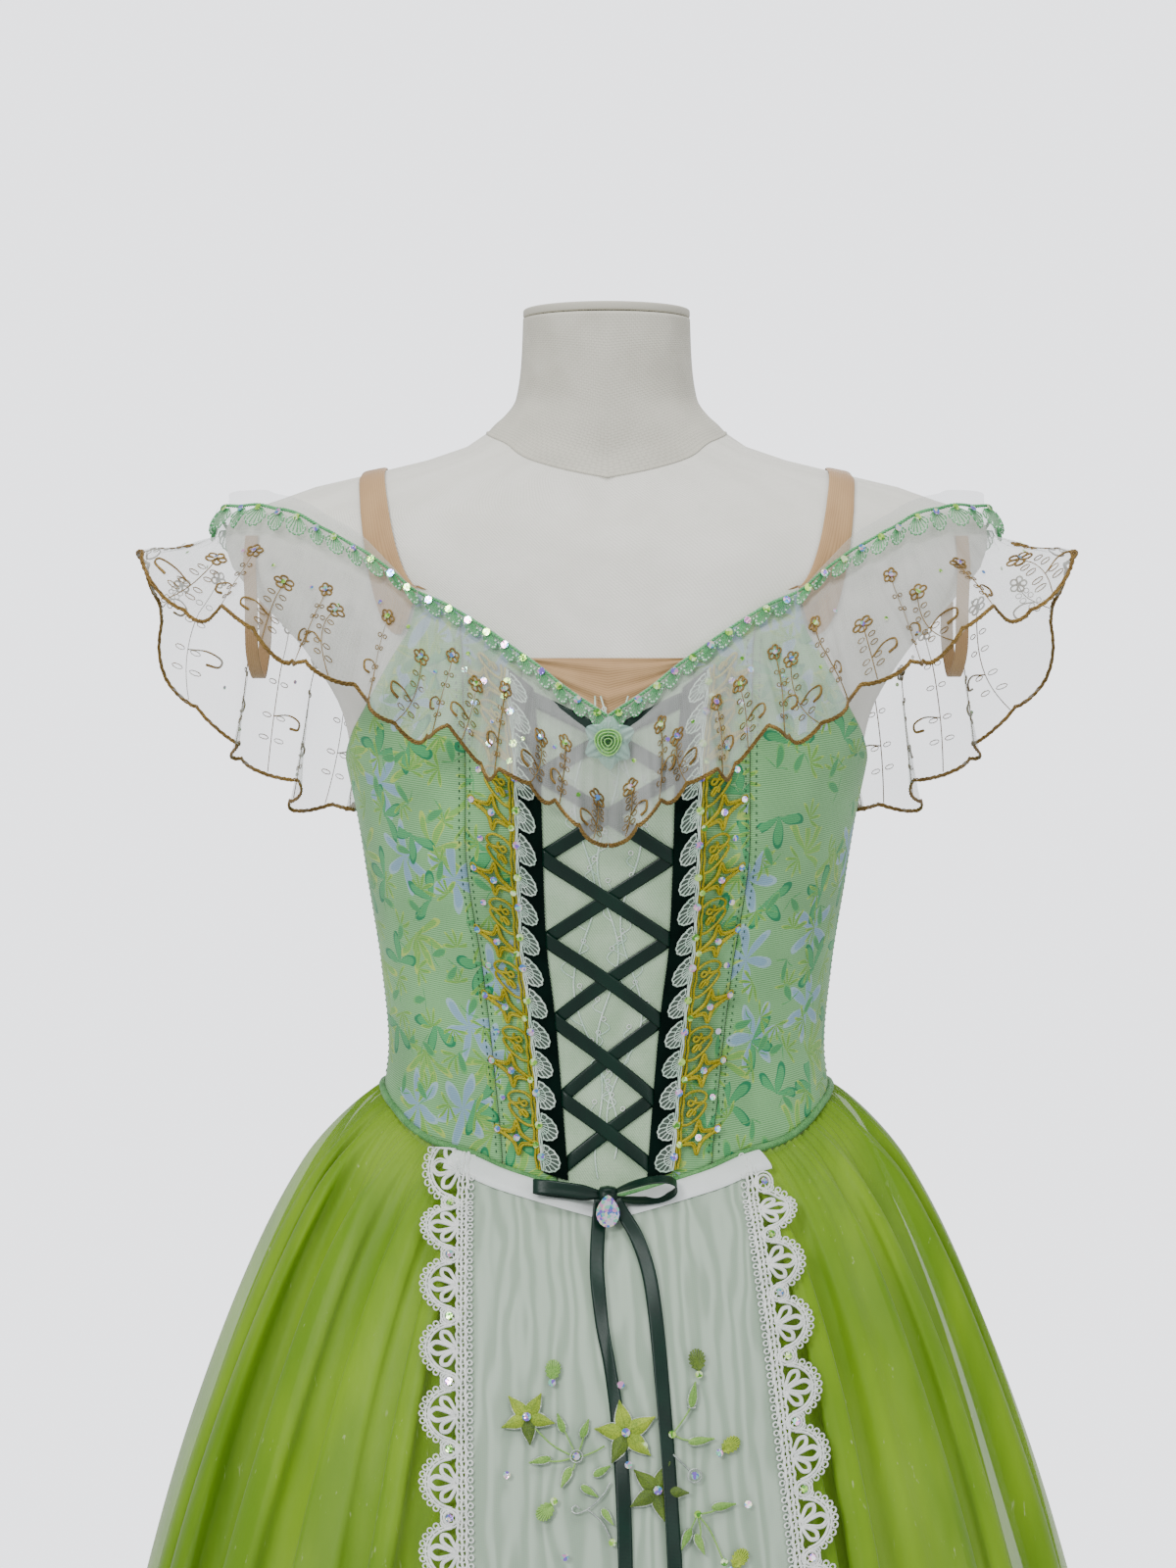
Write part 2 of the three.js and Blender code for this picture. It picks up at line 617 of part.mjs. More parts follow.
function addFrontTrims() {
  const trimPoint = (sign, out, share, lift) => {
    const { low, high } = trimSpan(out);
    const z = between(low, high, share);
    return formPoint(sign * angleAt(lacedEdge(z) + out, z), z, lift);
  };
  const inner = trimSpan(0);
  const length = inner.high - inner.low;
  const fan = [
    [0, 0],
    [1, 0],
    [1, PICOT.waist],
    [0.7, PICOT.width],
    [0.3, PICOT.width],
    [0, PICOT.waist],
  ];
  const star = [
    [0, 0],
    [0.5, 0],
    [1, 0],
    [1, 8.5],
    [0.84, 11.5],
    [0.72, 9.5],
    [0.5, GOLD.width],
    [0.28, 9.5],
    [0.16, 11.5],
    [0, 8.5],
  ];
  bothSides.forEach(({ label, sign }) => {
    const steps = 15;
    const velvet = wall(steps + 1, 2, (i, j, face) =>
      trimPoint(sign, SEAM_GAP + j * VELVET_WIDTH, i / steps, VELVET_LAYER[face]),
    );
    addMesh(`velvet_strip_${label}`, MATERIALS.velvet, velvet);

    const fans = Math.round(length / PICOT.pitch);
    const picot = laceBand(fans, length / fans, fan, [], (along, out, face) =>
      trimPoint(sign, PICOT.start - out, along / length, PICOT_LAYER[face]),
    );
    addMesh(`picot_lace_${label}`, MATERIALS.picot, picot);

    const stars = Math.round(length / GOLD.pitch);
    const gold = laceBand(stars, length / stars, star, [], (along, out, face) =>
      trimPoint(sign, GOLD.start + SEAM_GAP + out, along / length, GOLD_LAYER[face]),
    );
    addMesh(`gold_lace_${label}`, MATERIALS.gold, gold);
  });
}

// One zigzag ribbon of the lacing. Its stretches that run down to the right lie over the other
// ribbon, and it folds back on itself at the velvet's edge.
function lacingRibbon(startSign) {
  const { width, corners, steps } = LACING;
  const over = { back: SECOND_LAYER[0], face: SECOND_LAYER[1] };
  const under = { back: FIRST_LAYER[1], face: FIRST_LAYER[0] };
  const sections = [];
  for (let k = 0; k < corners.length - 1; k += 1) {
    const side = k % 2 === 0 ? startSign : -startSign;
    const level = side < 0 ? over : under;
    const drop = corners[k] - corners[k + 1];
    for (let step = 0; step <= steps; step += 1) {
      const share = step / steps;
      const z = corners[k] - drop * share;
      const reach = lacedEdge(z) - 1.2;
      sections.push({ z, faceX: side * reach * (1 - 2 * share), level });
    }
    if (k < corners.length - 2) {
      const reach = lacedEdge(corners[k + 1]) - SEAM_GAP;
      const middle = (over.back + under.back) / 2;
      const fold = { back: middle, face: middle };
      sections.push({ z: corners[k + 1], faceX: -side * reach, fold: -side * 0.9, level: fold });
    }
  }
  const slope = Math.atan2(corners[2] - corners[3], 2 * lacedEdge(corners[2]));
  const height = width / Math.cos(slope);
  return wall(sections.length, 2, (i, j, face) => {
    const { z, faceX, fold = 0, level } = sections[i];
    const at = z + (j - 0.5) * height;
    const x = face === 1 ? faceX : faceX - fold;
    const angle = Math.asin(x / (formHalfWidth(at) + 4)) / RADIAN;
    return formPoint(angle, at, face === 1 ? level.face : level.back);
  });
}

function addLacing() {
  addMesh("lacing_from_left", MATERIALS.satin, lacingRibbon(-1));
  addMesh("lacing_from_right", MATERIALS.satin, lacingRibbon(1));
}

// Ruffle and neckline trim

const ruffleDepth = curve(RUFFLE_HANG, "angle", "depth");
const ruffleFlare = curve(RUFFLE_HANG, "angle", "flare");

// Distance along the neckline from the centre front, in steps of half a degree.
const neckLengths = (() => {
  const rows = [{ angle: 0, length: 0 }];
  let before = formPoint(0, neckPath(0), FIRST_LAYER[0]);
  for (let angle = 0.5; angle <= 180; angle += 0.5) {
    const here = formPoint(angle, neckPath(angle), FIRST_LAYER[0]);
    const length = rows[rows.length - 1].length + here.distanceTo(before);
    rows.push({ angle, length });
    before = here;
  }
  return rows;
})();
const lengthAt = curve(neckLengths, "angle", "length");
const neckAngle = curve(neckLengths, "length", "angle");

// Straight out and level from the body at an angle on the neckline.
function levelOut(angle, z) {
  const turn = angle * RADIAN;
  const depth = Math.cos(turn) > 0 ? formFront(z) : formBack(z);
  const x = Math.sin(turn) / formHalfWidth(z);
  return new THREE.Vector3(x, -Math.cos(turn) / depth, 0).normalize();
}

// A point of the ruffle: down is the distance below the neckline, along the cloth.
function rufflePoint(sign, along, down, lift) {
  const angle = neckAngle(along);
  const top = neckPath(angle);
  const layer = FIRST_LAYER[0] + lift;
  if (down <= 0) {
    const edge = formPoint(sign * angle, top, layer);
    return edge.setZ(edge.z - down);
  }
  if (down <= HEADING) return formPoint(sign * angle, top - down, layer);
  const root = formPoint(sign * angle, top - HEADING, FIRST_LAYER[0]);
  const free = down - HEADING;
  const flare = ruffleFlare(angle) * RADIAN;
  const wave = 1 - Math.cos((2 * Math.PI * along) / RUFFLE.wave);
  const stand = RUFFLE.stand * Math.min(1, free / (RUFFLE_ROWS[2] - HEADING));
  const swing = RUFFLE.swing * wave * free * Math.min(1, free / 36) + lift;
  const out = stand + free * Math.sin(flare) + swing * Math.cos(flare);
  const rise = swing * Math.sin(flare) - free * Math.cos(flare);
  const direction = levelOut(sign * angle, top - HEADING);
  return root.addScaledVector(direction, out).setZ(root.z + rise);
}

function ruffleStrip(sign, from, to, frill) {
  const start = from < 0 ? -lengthAt(-from) : lengthAt(from);
  const end = lengthAt(to);
  const columns = Math.round((end - start - SEAM_GAP) / RUFFLE.column) + 1;
  const rows = frill ? [-RUFFLE.frill, ...RUFFLE_ROWS] : RUFFLE_ROWS;
  return wall(columns, rows.length, (i, j, face) => {
    const along = between(start + SEAM_GAP / 2, end - SEAM_GAP / 2, i / (columns - 1));
    const side = along < 0 ? -sign : sign;
    const distance = Math.abs(along);
    const hem = ruffleDepth(neckAngle(distance)) - (i % 2) * RUFFLE.scallop;
    const fixed = j < rows.length - 2;
    const down = fixed ? rows[j] : between(RUFFLE_ROWS[2], hem, rows[j]);
    return rufflePoint(side, distance, down, face * RUFFLE.wall);
  });
}

function addRuffleAndTrim() {
  addMesh("ruffle_front", MATERIALS.tulle, ruffleStrip(1, -FRONT_CORNER, FRONT_CORNER, false));
  const { pitch, waist, width } = NECK_TRIM;
  const scallop = [
    [0, 0],
    [1, 0],
    [1, waist],
    [0.5, width],
    [0, waist],
  ];
  const trimOn = (sign, from, to) => {
    const start = lengthAt(from) + SEAM_GAP / 2;
    const end = lengthAt(to) - SEAM_GAP / 2;
    const repeats = Math.round((end - start) / pitch);
    return laceBand(repeats, (end - start) / repeats, scallop, [], (along, out, face) => {
      const angle = neckAngle(start + along);
      return formPoint(sign * angle, neckPath(angle) - NECK_TRIM.top - out, NECK_TRIM_LAYER[face]);
    });
  };
  bothSides.forEach(({ label, sign }) => {
    const sleeve = ruffleStrip(sign, FRONT_CORNER, BACK_CORNER, true);
    addMesh(`ruffle_sleeve_${label}`, MATERIALS.tulle, sleeve);
    const back = ruffleStrip(sign, BACK_CORNER, BACK_END, false);
    addMesh(`ruffle_back_${label}`, MATERIALS.tulle, back);
    addMesh(`neck_trim_front_${label}`, MATERIALS.mintTrim, trimOn(sign, 0, FRONT_CORNER));
    const sleeveTrim = trimOn(sign, FRONT_CORNER, BACK_CORNER);
    addMesh(`neck_trim_sleeve_${label}`, MATERIALS.mintTrim, sleeveTrim);
    addMesh(`neck_trim_back_${label}`, MATERIALS.mintTrim, trimOn(sign, BACK_CORNER, BACK_END));
  });
}

// The elastic armlet that hangs in a U from the front of each sleeve to its back.
function addElasticLoops() {
  const loop = { width: 7, x: 189, thick: 1, lift: 2.9 };
  const ends = [
    { angle: 64.5, swing: 1 },
    { angle: 110.5, swing: -1 },
  ];
  const under = (angle) => neckPath(angle) - HEADING - 2 * SEAM_GAP;
  const route = [
    [-26, 1322],
    [-25, 1300],
    [-19, 1278],
    [-6, 1265],
    [10, 1261],
    [26, 1266],
    [37, 1279],
    [42, 1300],
  ].map(([y, z]) => new THREE.Vector2(y, z));
  const inward = normals(route);
  bothSides.forEach(({ label, sign }) => {
    const elastic = wall(route.length + 2, 2, (i, j, face) => {
      const across = (j - 0.5) * loop.width;
      const inside = (1 - face) * loop.thick;
      if (i > 0 && i <= route.length) {
        const at = route[i - 1].clone().addScaledVector(inward[i - 1], inside);
        return new THREE.Vector3(sign * (loop.x + across), at.x, at.y);
      }
      const end = ends[i === 0 ? 0 : 1];
      const swing = (end.swing * across) / (loop.x * RADIAN * 0.4);
      const angle = end.angle + swing;
      return formPoint(sign * angle, under(angle), loop.lift + loop.thick - inside);
    });
    addMesh(`elastic_loop_${label}`, MATERIALS.nude, elastic);
  });
}

// Skirt, apron, bow and flowers

const flare = (v) => {
  const start = FLARE_START ** FLARE_POWER;
  return ((v + FLARE_START) ** FLARE_POWER - start) / ((1 + FLARE_START) ** FLARE_POWER - start);
};

// The skirt's middle surface without its folds: v is 0 at the waist seam and 1 at the hem.
function skirtSurface(angle, v) {
  const turn = angle * RADIAN;
  const top = waistEdge(Math.abs(angle)) - SKIRT_SEAM;
  const waist = formPoint(angle, top, FIRST_LAYER[0]);
  const depth = Math.cos(turn) > 0 ? HEM.front : HEM.back;
  const hem = new THREE.Vector3(HEM.halfWidth * Math.sin(turn), -depth * Math.cos(turn), HEM_Z);
  const share = flare(v);
  const x = between(waist.x, hem.x, share);
  const y = between(waist.y, hem.y, share);
  return new THREE.Vector3(x, y, between(waist.z, hem.z, v));
}

function skirtPoint(angle, v, lift) {
  const at = Math.min(Math.max(v, 0.0015), 0.998);
  const normal = outward((a, b) => skirtSurface(a, b), angle, at, 0.2, -0.001);
  return skirtSurface(angle, v).addScaledVector(normal, lift);
}

const foldDepth = (v) => 0.5 + 11 * v ** 0.7;
const underFoldDepth = (v) => 0.3 + 7 * v ** 0.7;
const uneven = (angle) =>
  1 + 0.25 * Math.sin(5 * angle * RADIAN + 1) + 0.15 * Math.sin(11 * angle * RADIAN);
const drift = (angle) =>
  0.9 * Math.sin(3 * angle * RADIAN + 0.4) + 0.6 * Math.sin(7 * angle * RADIAN + 2.1);

// The angle at which the folds reach a given phase.
function foldAngle(folds, phase) {
  let angle = phase / folds / RADIAN;
  for (let round = 0; round < 8; round += 1) angle = (phase - drift(angle)) / folds / RADIAN;
  return angle;
}

function skirtLayer(layer, liftAt) {
  const columns = layer.folds * layer.perFold;
  return wall(
    columns,
    layer.rows.length,
    (i, j, face) => {
      const phase = (2 * Math.PI * i) / layer.perFold;
      const angle = foldAngle(layer.folds, phase);
      const wrapped = angle > 180 ? angle - 360 : angle;
      const v = layer.rows[j];
      const lift = liftAt(v, Math.cos(phase) * uneven(angle)) + (face - 0.5) * layer.wall;
      return skirtPoint(wrapped, v, lift);
    },
    true,
  );
}

function addSkirt() {
  const overlay = skirtLayer(SKIRT, (v, fold) => foldDepth(v) * fold);
  addMesh("skirt_overlay", MATERIALS.chiffon, overlay);
  const under = skirtLayer(UNDERSKIRT, (v, fold) => {
    const clear = FOLD_PEAK * (foldDepth(v) + underFoldDepth(v)) + SKIRT.wall + 1.3 + 6 * v;
    return underFoldDepth(v) * fold - clear;
  });
  addMesh("underskirt", MATERIALS.underTulle, under);
}

// How far down the front of the skirt a point is, measured along the cloth.
const frontDrop = (() => {
  const rows = [{ length: 0, v: 0 }];
  let before = skirtSurface(0, 0);
  for (let step = 1; step <= 200; step += 1) {
    const v = (step / 200) ** 1.5;
    const here = skirtSurface(0, v);
    rows.push({ length: rows[rows.length - 1].length + here.distanceTo(before), v });
    before = here;
  }
  return rows;
})();
const dropShare = curve(frontDrop, "length", "v");

// A point over the skirt's front, x across and down along the cloth from the basque point.
function apronPoint(x, down, lift) {
  const level = skirtSurface(0, dropShare(down)).z;
  const share = (angle) => {
    const top = waistEdge(Math.abs(angle)) - SKIRT_SEAM;
    return Math.max(0, (top - level) / (top - HEM_Z));
  };
  let low = 0;
  let high = 80;
  for (let round = 0; round < 30; round += 1) {
    const middle = (low + high) / 2;
    if (skirtSurface(middle, share(middle)).x < Math.abs(x)) low = middle;
    else high = middle;
  }
  const angle = Math.sign(x) * low;
  const v = share(angle);
  return skirtPoint(angle, v, lift + FOLD_PEAK * foldDepth(v) + SKIRT.wall / 2);
}

// The apron's waistband follows the bodice's lower edge.
function bandPoint(angle, down, lift) {
  const top = waistEdge(Math.abs(angle)) - SKIRT_SEAM;
  const front = waistEdge(0) - SKIRT_SEAM;
  const v = dropShare(down) * ((front - HEM_Z) / (top - HEM_Z));
  return skirtPoint(angle, v, lift + FOLD_PEAK * foldDepth(v) + SKIRT.wall / 2);
}

const apronShare = (down) => Math.min(1, down / (APRON.length - APRON.corner));
const apronCentre = (down) => APRON.sway * apronShare(down);
const apronHalf = (down) => between(APRON.halfTop, APRON.halfBottom, apronShare(down));

// The drop of the waistband's lower edge at a distance x from the middle.
function bandDrop(x) {
  const angle = Math.asin(Math.min(1, Math.abs(x) / (formHalfWidth(1015) + 22))) / RADIAN;
  const rise = waistEdge(angle) - waistEdge(0);
  return Math.max(APRON_BAND.width - rise * 0.8, -10);
}

function apronOutline() {
  const { length, corner } = APRON;
  const path = new THREE.Path();
  const centre = apronCentre(length);
  const half = apronHalf(length);
  path.moveTo(-APRON.halfTop, 0);
  path.lineTo(centre - half, length - corner);
  path.absarc(centre - half + corner, length - corner, corner, Math.PI, Math.PI / 2, true);
  path.lineTo(centre + half - corner, length);
  path.absarc(centre + half - corner, length - corner, corner, Math.PI / 2, 0, true);
  path.lineTo(APRON.halfTop, 0);
  return path;
}

function addApron() {
  const columns = 12;
  const rows = 8;
  const { length, corner } = APRON;
  const apron = wall(columns + 1, rows + 1, (i, j, face) => {
    const across = between(-1, 1, i / columns);
    const half = apronHalf(length);
    const straight = half - corner;
    const past = Math.max(0, Math.abs(across) * half - straight);
    const roundUp = corner - Math.sqrt(Math.max(0, corner ** 2 - past ** 2));
    const top = bandDrop(across * APRON.halfTop) + 3 * SEAM_GAP;
    const down = between(top, length - roundUp, j / rows);
    const x = apronCentre(down) + across * (apronHalf(down) - SEAM_GAP);
    return apronPoint(x, down, APRON.lift + face * APRON.wall);
  });
  addMesh("apron_panel", MATERIALS.organza, apron);

  const reach = 37.2;
  const band = wall(17, 2, (i, j, face) => {
    const angle = between(-reach, reach, i / 16);
    const down = j === 0 ? APRON_BAND.top : APRON_BAND.width - SEAM_GAP;
    return bandPoint(angle, down, APRON.lift + face * APRON_BAND.wall);
  });
  addMesh("apron_band", MATERIALS.whiteSatin, band);

  const path = apronOutline();
  const total = path.getLength();
  const repeats = Math.round(total / APRON_LACE.pitch);
  const w = APRON_LACE.width;
  const outline = [
    [0, 0],
    [0.5, 0],
    [1, 0],
    [1, 11],
    [0.75, 17.5],
    [0.5, w],
    [0.25, 17.5],
    [0, 11],
  ];
  const keyhole = [
    [0.5, 9],
    [0.57, 14],
    [0.5, 17.1],
    [0.43, 14],
  ];
  const lace = laceBand(repeats, total / repeats, outline, [keyhole], (along, out, face) => {
    const share = Math.min(along / total, 1);
    const edge = path.getPointAt(share);
    const tangent = path.getTangentAt(share);
    const x = edge.x - tangent.y * (out + APRON_LACE.gap);
    const down = edge.y + tangent.x * (out + APRON_LACE.gap);
    return apronPoint(x, Math.max(down, 0.5), APRON.lift + face * APRON.wall);
  });
  addMesh("apron_lace", MATERIALS.whiteSatin, lace);
}

function addAppliques() {
  const flowers = [
    { x: -38.6, down: 115.4, radius: 12, turn: 0.2 },
    { x: 8.5, down: 122.5, radius: 15, turn: 0.75 },
    { x: 23, down: 149.5, radius: 17, turn: 0.1 },
  ];
  flowers.forEach(({ x, down, radius, turn }, index) => {
    const ring = (scale, face) =>
      Array.from({ length: 20 }, (_, i) => {
        const angle = (i / 20) * 2 * Math.PI + turn;
        const petal = [1, 0.74, 0.5, 0.74][i % 4];
        const r = radius * petal * scale;
        const lift = APRON.lift + APRON.wall + 2 * SEAM_GAP + face;
        return apronPoint(x + r * Math.cos(angle), down + r * Math.sin(angle), lift);
      });
    const flower = loft([ring(1, 0), ring(0.9, 1.1)]);
    addMesh(`applique_flower_${index + 1}`, MATERIALS.stitch, flower);
  });
}

// A point straight out from the basque point, level with the bow.
function bowPoint(x, up, out) {
  const z = BOW.z + up;
  const root = formSurface(0, z);
  return new THREE.Vector3(x, root.y - out, z);
}

function addBow() {
  const inner = { x: 5.2, open: 1.1 };
  const centre = BOW.reach - BOW.radius;
  const lean = Math.atan2(BOW.radius - inner.open, centre - inner.x);
  const arc = Array.from({ length: 7 }, (_, i) => {
    const turn = between(Math.PI / 2 + lean, -Math.PI / 2 - lean, i / 6);
    const { radius } = BOW;
    return new THREE.Vector2(centre + radius * Math.cos(turn), radius * Math.sin(turn));
  });
  const start = new THREE.Vector2(inner.x, inner.open);
  const end = new THREE.Vector2(inner.x, -inner.open);
  const middles = [arc[0], arc[6]].map((p, i) => p.clone().lerp(i ? end : start, 0.5));
  const line = [start, middles[0], ...arc, middles[1], end];
  const inside = normals(line);
  const tilts = { left: 20 * RADIAN, right: 68 * RADIAN };
  bothSides.forEach(({ label, sign }) => {
    const tilt = tilts[label];
    const loop = wall(line.length, 2, (i, j, face) => {
      const at = line[i].clone().addScaledVector(inside[i], (0.5 - face) * BOW.wall);
      const across = (j - 0.5) * BOW.ribbon;
      const out = BOW.lift + at.y * Math.cos(tilt) + across * Math.sin(tilt);
      const up = at.y * Math.sin(tilt) - across * Math.cos(tilt) + 0.12 * at.x;
      return bowPoint(sign * at.x, up, out);
    });
    addMesh(`bow_loop_${label}`, MATERIALS.satin, loop);
  });

  const knot = new THREE.BoxGeometry(9, 7, 9);
  knot.deleteAttribute("normal");
  knot.deleteAttribute("uv");
  const middle = bowPoint(0, 0, BOW.lift - 1);
  addMesh("bow_knot", MATERIALS.satin, mergeVertices(knot).translate(middle.x, middle.y, middle.z));

  const tailRoutes = {
    left: [
      { down: 8, x: -5.2 },
      { down: 40, x: -6.2 },
      { down: 68, x: -3.6 },
      { down: 89, x: 0.4 },
      { down: 123, x: 5.2 },
      { down: 162, x: 7.4 },
      { down: TAILS.length, x: 10 },
    ],
    right: [
      { down: 8, x: 5.4 },
      { down: 24.5, x: 14.5 },
      { down: 47, x: 20.8 },
      { down: 68, x: 23.4 },
      { down: 109, x: 26.5 },
      { down: 149, x: 29 },
      { down: TAILS.length, x: 36 },
    ],
  };
  Object.entries(tailRoutes).forEach(([label, route]) => {
    const side = curve(route, "down", "x");
    const count = 15;
    const tail = wall(count + 1, 2, (i, j, face) => {
      const down = between(route[0].down, TAILS.length, i / count);
      const lift = APRON.lift + APRON.wall + 2.2 + face * TAILS.wall;
      return apronPoint(side(down) + (j - 0.5) * TAILS.ribbon, down, lift);
    });
    addMesh(`bow_tail_${label}`, MATERIALS.satin, tail);
  });
}

// A pear-cut stone in front of the bow's knot.
function addCrystal() {
  const stone = { half: 6, up: 7, down: 9.5, deep: 5 };
  const count = 12;
  const ring = (scale, out) =>
    Array.from({ length: count }, (_, i) => {
      const turn = (i / count) * 2 * Math.PI;
      const c = Math.cos(turn);
      const s = Math.sin(turn);
      const narrow = s < 0 ? 1 + 0.45 * s : 1;
      const up = s > 0 ? stone.up * s : stone.down * s;
      return bowPoint(stone.half * c * narrow * scale, up * scale - 6.5, BOW.lift + 5.5 + out);
    });
  const crystal = loft([ring(0.8, 0), ring(1, 1.5), ring(0.62, stone.deep)]);
  addMesh("bow_crystal", MATERIALS.crystal, crystal);
}

// The gathered organza flower and the satin rose on the point of the neckline.
function addRose() {
  const centre = { z: 1231, lift: 12.7 };
  const place = (x, up, out) => {
    const root = formSurface(0, centre.z);
    return new THREE.Vector3(x, root.y - centre.lift - out, centre.z + up);
  };
  const petalRing = (scale, out) =>
    Array.from({ length: 24 }, (_, i) => {
      const turn = (i / 24) * 2 * Math.PI + 0.2;
      const r = (9.2 + 4.3 * Math.abs(Math.cos(3 * turn))) * scale;
      return place(r * Math.cos(turn), r * Math.sin(turn), out);
    });
  const petals = loft([petalRing(0.75, 0), petalRing(1, 2.2), petalRing(0.45, 1.6)]);
  addMesh("organza_petals", MATERIALS.petal, petals);

  const rings = [
    { r: 3.5, out: 1.95 },
    { r: 7, out: 5 },
    { r: 6, out: 7.2 },
    { r: 4.6, out: 6.2 },
    { r: 4, out: 8.6 },
    { r: 2.2, out: 7.6 },
    { r: 1.6, out: 9.4 },
  ];
  const rose = rings.map(({ r, out }) =>
    Array.from({ length: 10 }, (_, i) => {
      const turn = (i / 10) * 2 * Math.PI;
      return place(r * Math.cos(turn), r * Math.sin(turn), out);
    }),
  );
  addMesh("satin_rose", MATERIALS.rosette, loft(rose));
}

addDressForm();
addStand();
addBodice();
addNudePieces();
addFrontTrims();
addLacing();
addRuffleAndTrim();
addElasticLoops();
addSkirt();
addApron();
addAppliques();
addBow();
addCrystal();
addRose();

export default dress;
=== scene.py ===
import logging
import math
from collections.abc import Callable
from dataclasses import dataclass, field
from enum import Enum

import bmesh
import bpy
import numpy as np
from mathutils import Matrix, Vector


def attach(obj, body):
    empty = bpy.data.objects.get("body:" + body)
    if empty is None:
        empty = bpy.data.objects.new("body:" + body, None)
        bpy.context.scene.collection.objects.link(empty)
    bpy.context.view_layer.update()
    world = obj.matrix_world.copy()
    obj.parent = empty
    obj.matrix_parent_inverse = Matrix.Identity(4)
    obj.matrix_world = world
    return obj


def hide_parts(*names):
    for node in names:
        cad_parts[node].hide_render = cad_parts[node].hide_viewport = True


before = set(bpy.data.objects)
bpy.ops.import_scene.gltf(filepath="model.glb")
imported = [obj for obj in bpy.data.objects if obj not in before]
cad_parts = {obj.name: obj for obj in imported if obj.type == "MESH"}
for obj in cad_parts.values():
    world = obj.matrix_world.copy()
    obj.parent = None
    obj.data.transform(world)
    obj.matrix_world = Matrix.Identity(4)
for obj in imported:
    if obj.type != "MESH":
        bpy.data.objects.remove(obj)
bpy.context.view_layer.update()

log = logging.getLogger("ballet_dress")
Array = np.ndarray
Colour = tuple[float, float, float]
Place = Callable[[Array, Array], Array]
Surface = Callable[[Array, Array, Array | float], Array]
Route = tuple[tuple[float, float], ...]
MM = 0.001
# Thicknesses in metres.
RIBBON, BROCADE_CLOTH, ELASTIC = 0.0003, 0.0007, 0.0008
SIDES = ((-1, "left"), (1, "right"))


class SmoothTable:
    """A smooth curve through a few measured pairs, level outside them."""

    def __init__(self, pairs: dict[float, float]) -> None:
        """Args: pairs: measured places and their values, places rising."""
        self.at = np.array(list(pairs), float)
        self.value = np.array(list(pairs.values()), float)
        step = np.diff(self.at)
        slope = np.diff(self.value) / step
        tangent = np.zeros(len(self.at))
        tangent[0], tangent[-1] = slope[0], slope[-1]
        for i in range(1, len(slope)):
            if slope[i - 1] * slope[i] > 0:
                before = 2 * step[i] + step[i - 1]
                after = step[i] + 2 * step[i - 1]
                tangent[i] = (before + after) / (before / slope[i - 1] + after / slope[i])
        self.tangent = tangent

    def __call__(self, place: Array | float) -> Array:
        """Args: place: where to read. Returns: the values there."""
        x = np.clip(np.asarray(place, float), self.at[0], self.at[-1])
        i = np.clip(np.searchsorted(self.at, x, side="right") - 1, 0, len(self.at) - 2)
        step = self.at[i + 1] - self.at[i]
        t = (x - self.at[i]) / step
        rise = self.value[i] * (2 * t**3 - 3 * t**2 + 1) + self.value[i + 1] * (3 * t**2 - 2 * t**3)
        lean = self.tangent[i] * (t**3 - 2 * t**2 + t) + self.tangent[i + 1] * (t**3 - t**2)
        return rise + step * lean


# Heights, angles and distances are in millimetres and degrees, with 0 degrees in front.
# Each row of the form: height, half width, depth in front, depth behind, its middle's y.
FORM_ROWS = [
    (740, 158, 108, 116, 0), (850, 168, 112, 124, 0), (960, 142, 98, 106, 0),
    (1040, 117, 88, 86, 0), (1062, 114.6, 87, 84, 0), (1106, 118.4, 92, 86, 0),
    (1151, 125.3, 98, 92, 0), (1187, 131, 102, 97, 0), (1213, 136.5, 102, 101, 1),
    (1240, 142, 99, 102, 2), (1273, 161, 93, 99, 4), (1302, 187, 86, 92, 6),
    (1324, 204, 79, 84, 8), (1338, 206.5, 72, 76, 9), (1349, 201, 65, 68, 10),
    (1357, 176, 60, 62, 10), (1365, 153, 56, 57, 10), (1374, 112, 52, 53, 10),
    (1385, 76, 50, 50, 10), (1397, 60, 49, 48, 10), (1411, 49, 47.5, 47, 10),
    (1432, 46, 46.5, 46, 10), (1456, 45, 45.5, 45, 10),
]
NECK_SEAM = SmoothTable({0: 1366, 23: 1376, 50: 1386.5, 90: 1393, 180: 1398})
NECK_PATH = SmoothTable({
    0: 1243, 8: 1257, 13: 1269, 16.5: 1277, 22: 1290.5, 26: 1299.5, 31: 1308, 33: 1316,
    36: 1324, 40: 1331, 44: 1337, 50: 1344, 57: 1348, 65: 1350, 90: 1349, 100: 1344,
    110: 1330, 120: 1308, 130: 1284, 140: 1262, 150: 1250, 165: 1246, 180: 1245,
})
ARMHOLE = SmoothTable({
    0: 1400, 28: 1320, 31: 1303, 36: 1286, 39.5: 1279, 48.5: 1262.5, 58: 1248, 68: 1235,
    77: 1224, 90: 1214, 105: 1218, 118: 1232, 130: 1250, 139: 1264, 150: 1290, 180: 1400,
})
WAIST_EDGE = SmoothTable({
    0: 995, 17: 1005.5, 24: 1009.5, 34: 1016, 46: 1019.5, 56: 1025, 70: 1034, 90: 1040,
    140: 1036, 180: 1030,
})
PRINCESS_SEAM = SmoothTable({
    995: 23.8, 1015: 25.7, 1066: 30.4, 1108: 31.8, 1167: 33.5, 1216: 31.2, 1241: 30.5,
    1276: 26.8, 1300: 24.2,
})
LACED_EDGE = SmoothTable({
    990: 18.5, 1005: 19.8, 1048: 23.1, 1092: 26.8, 1129: 31, 1186: 33.4, 1218: 34.4, 1260: 38.2,
})
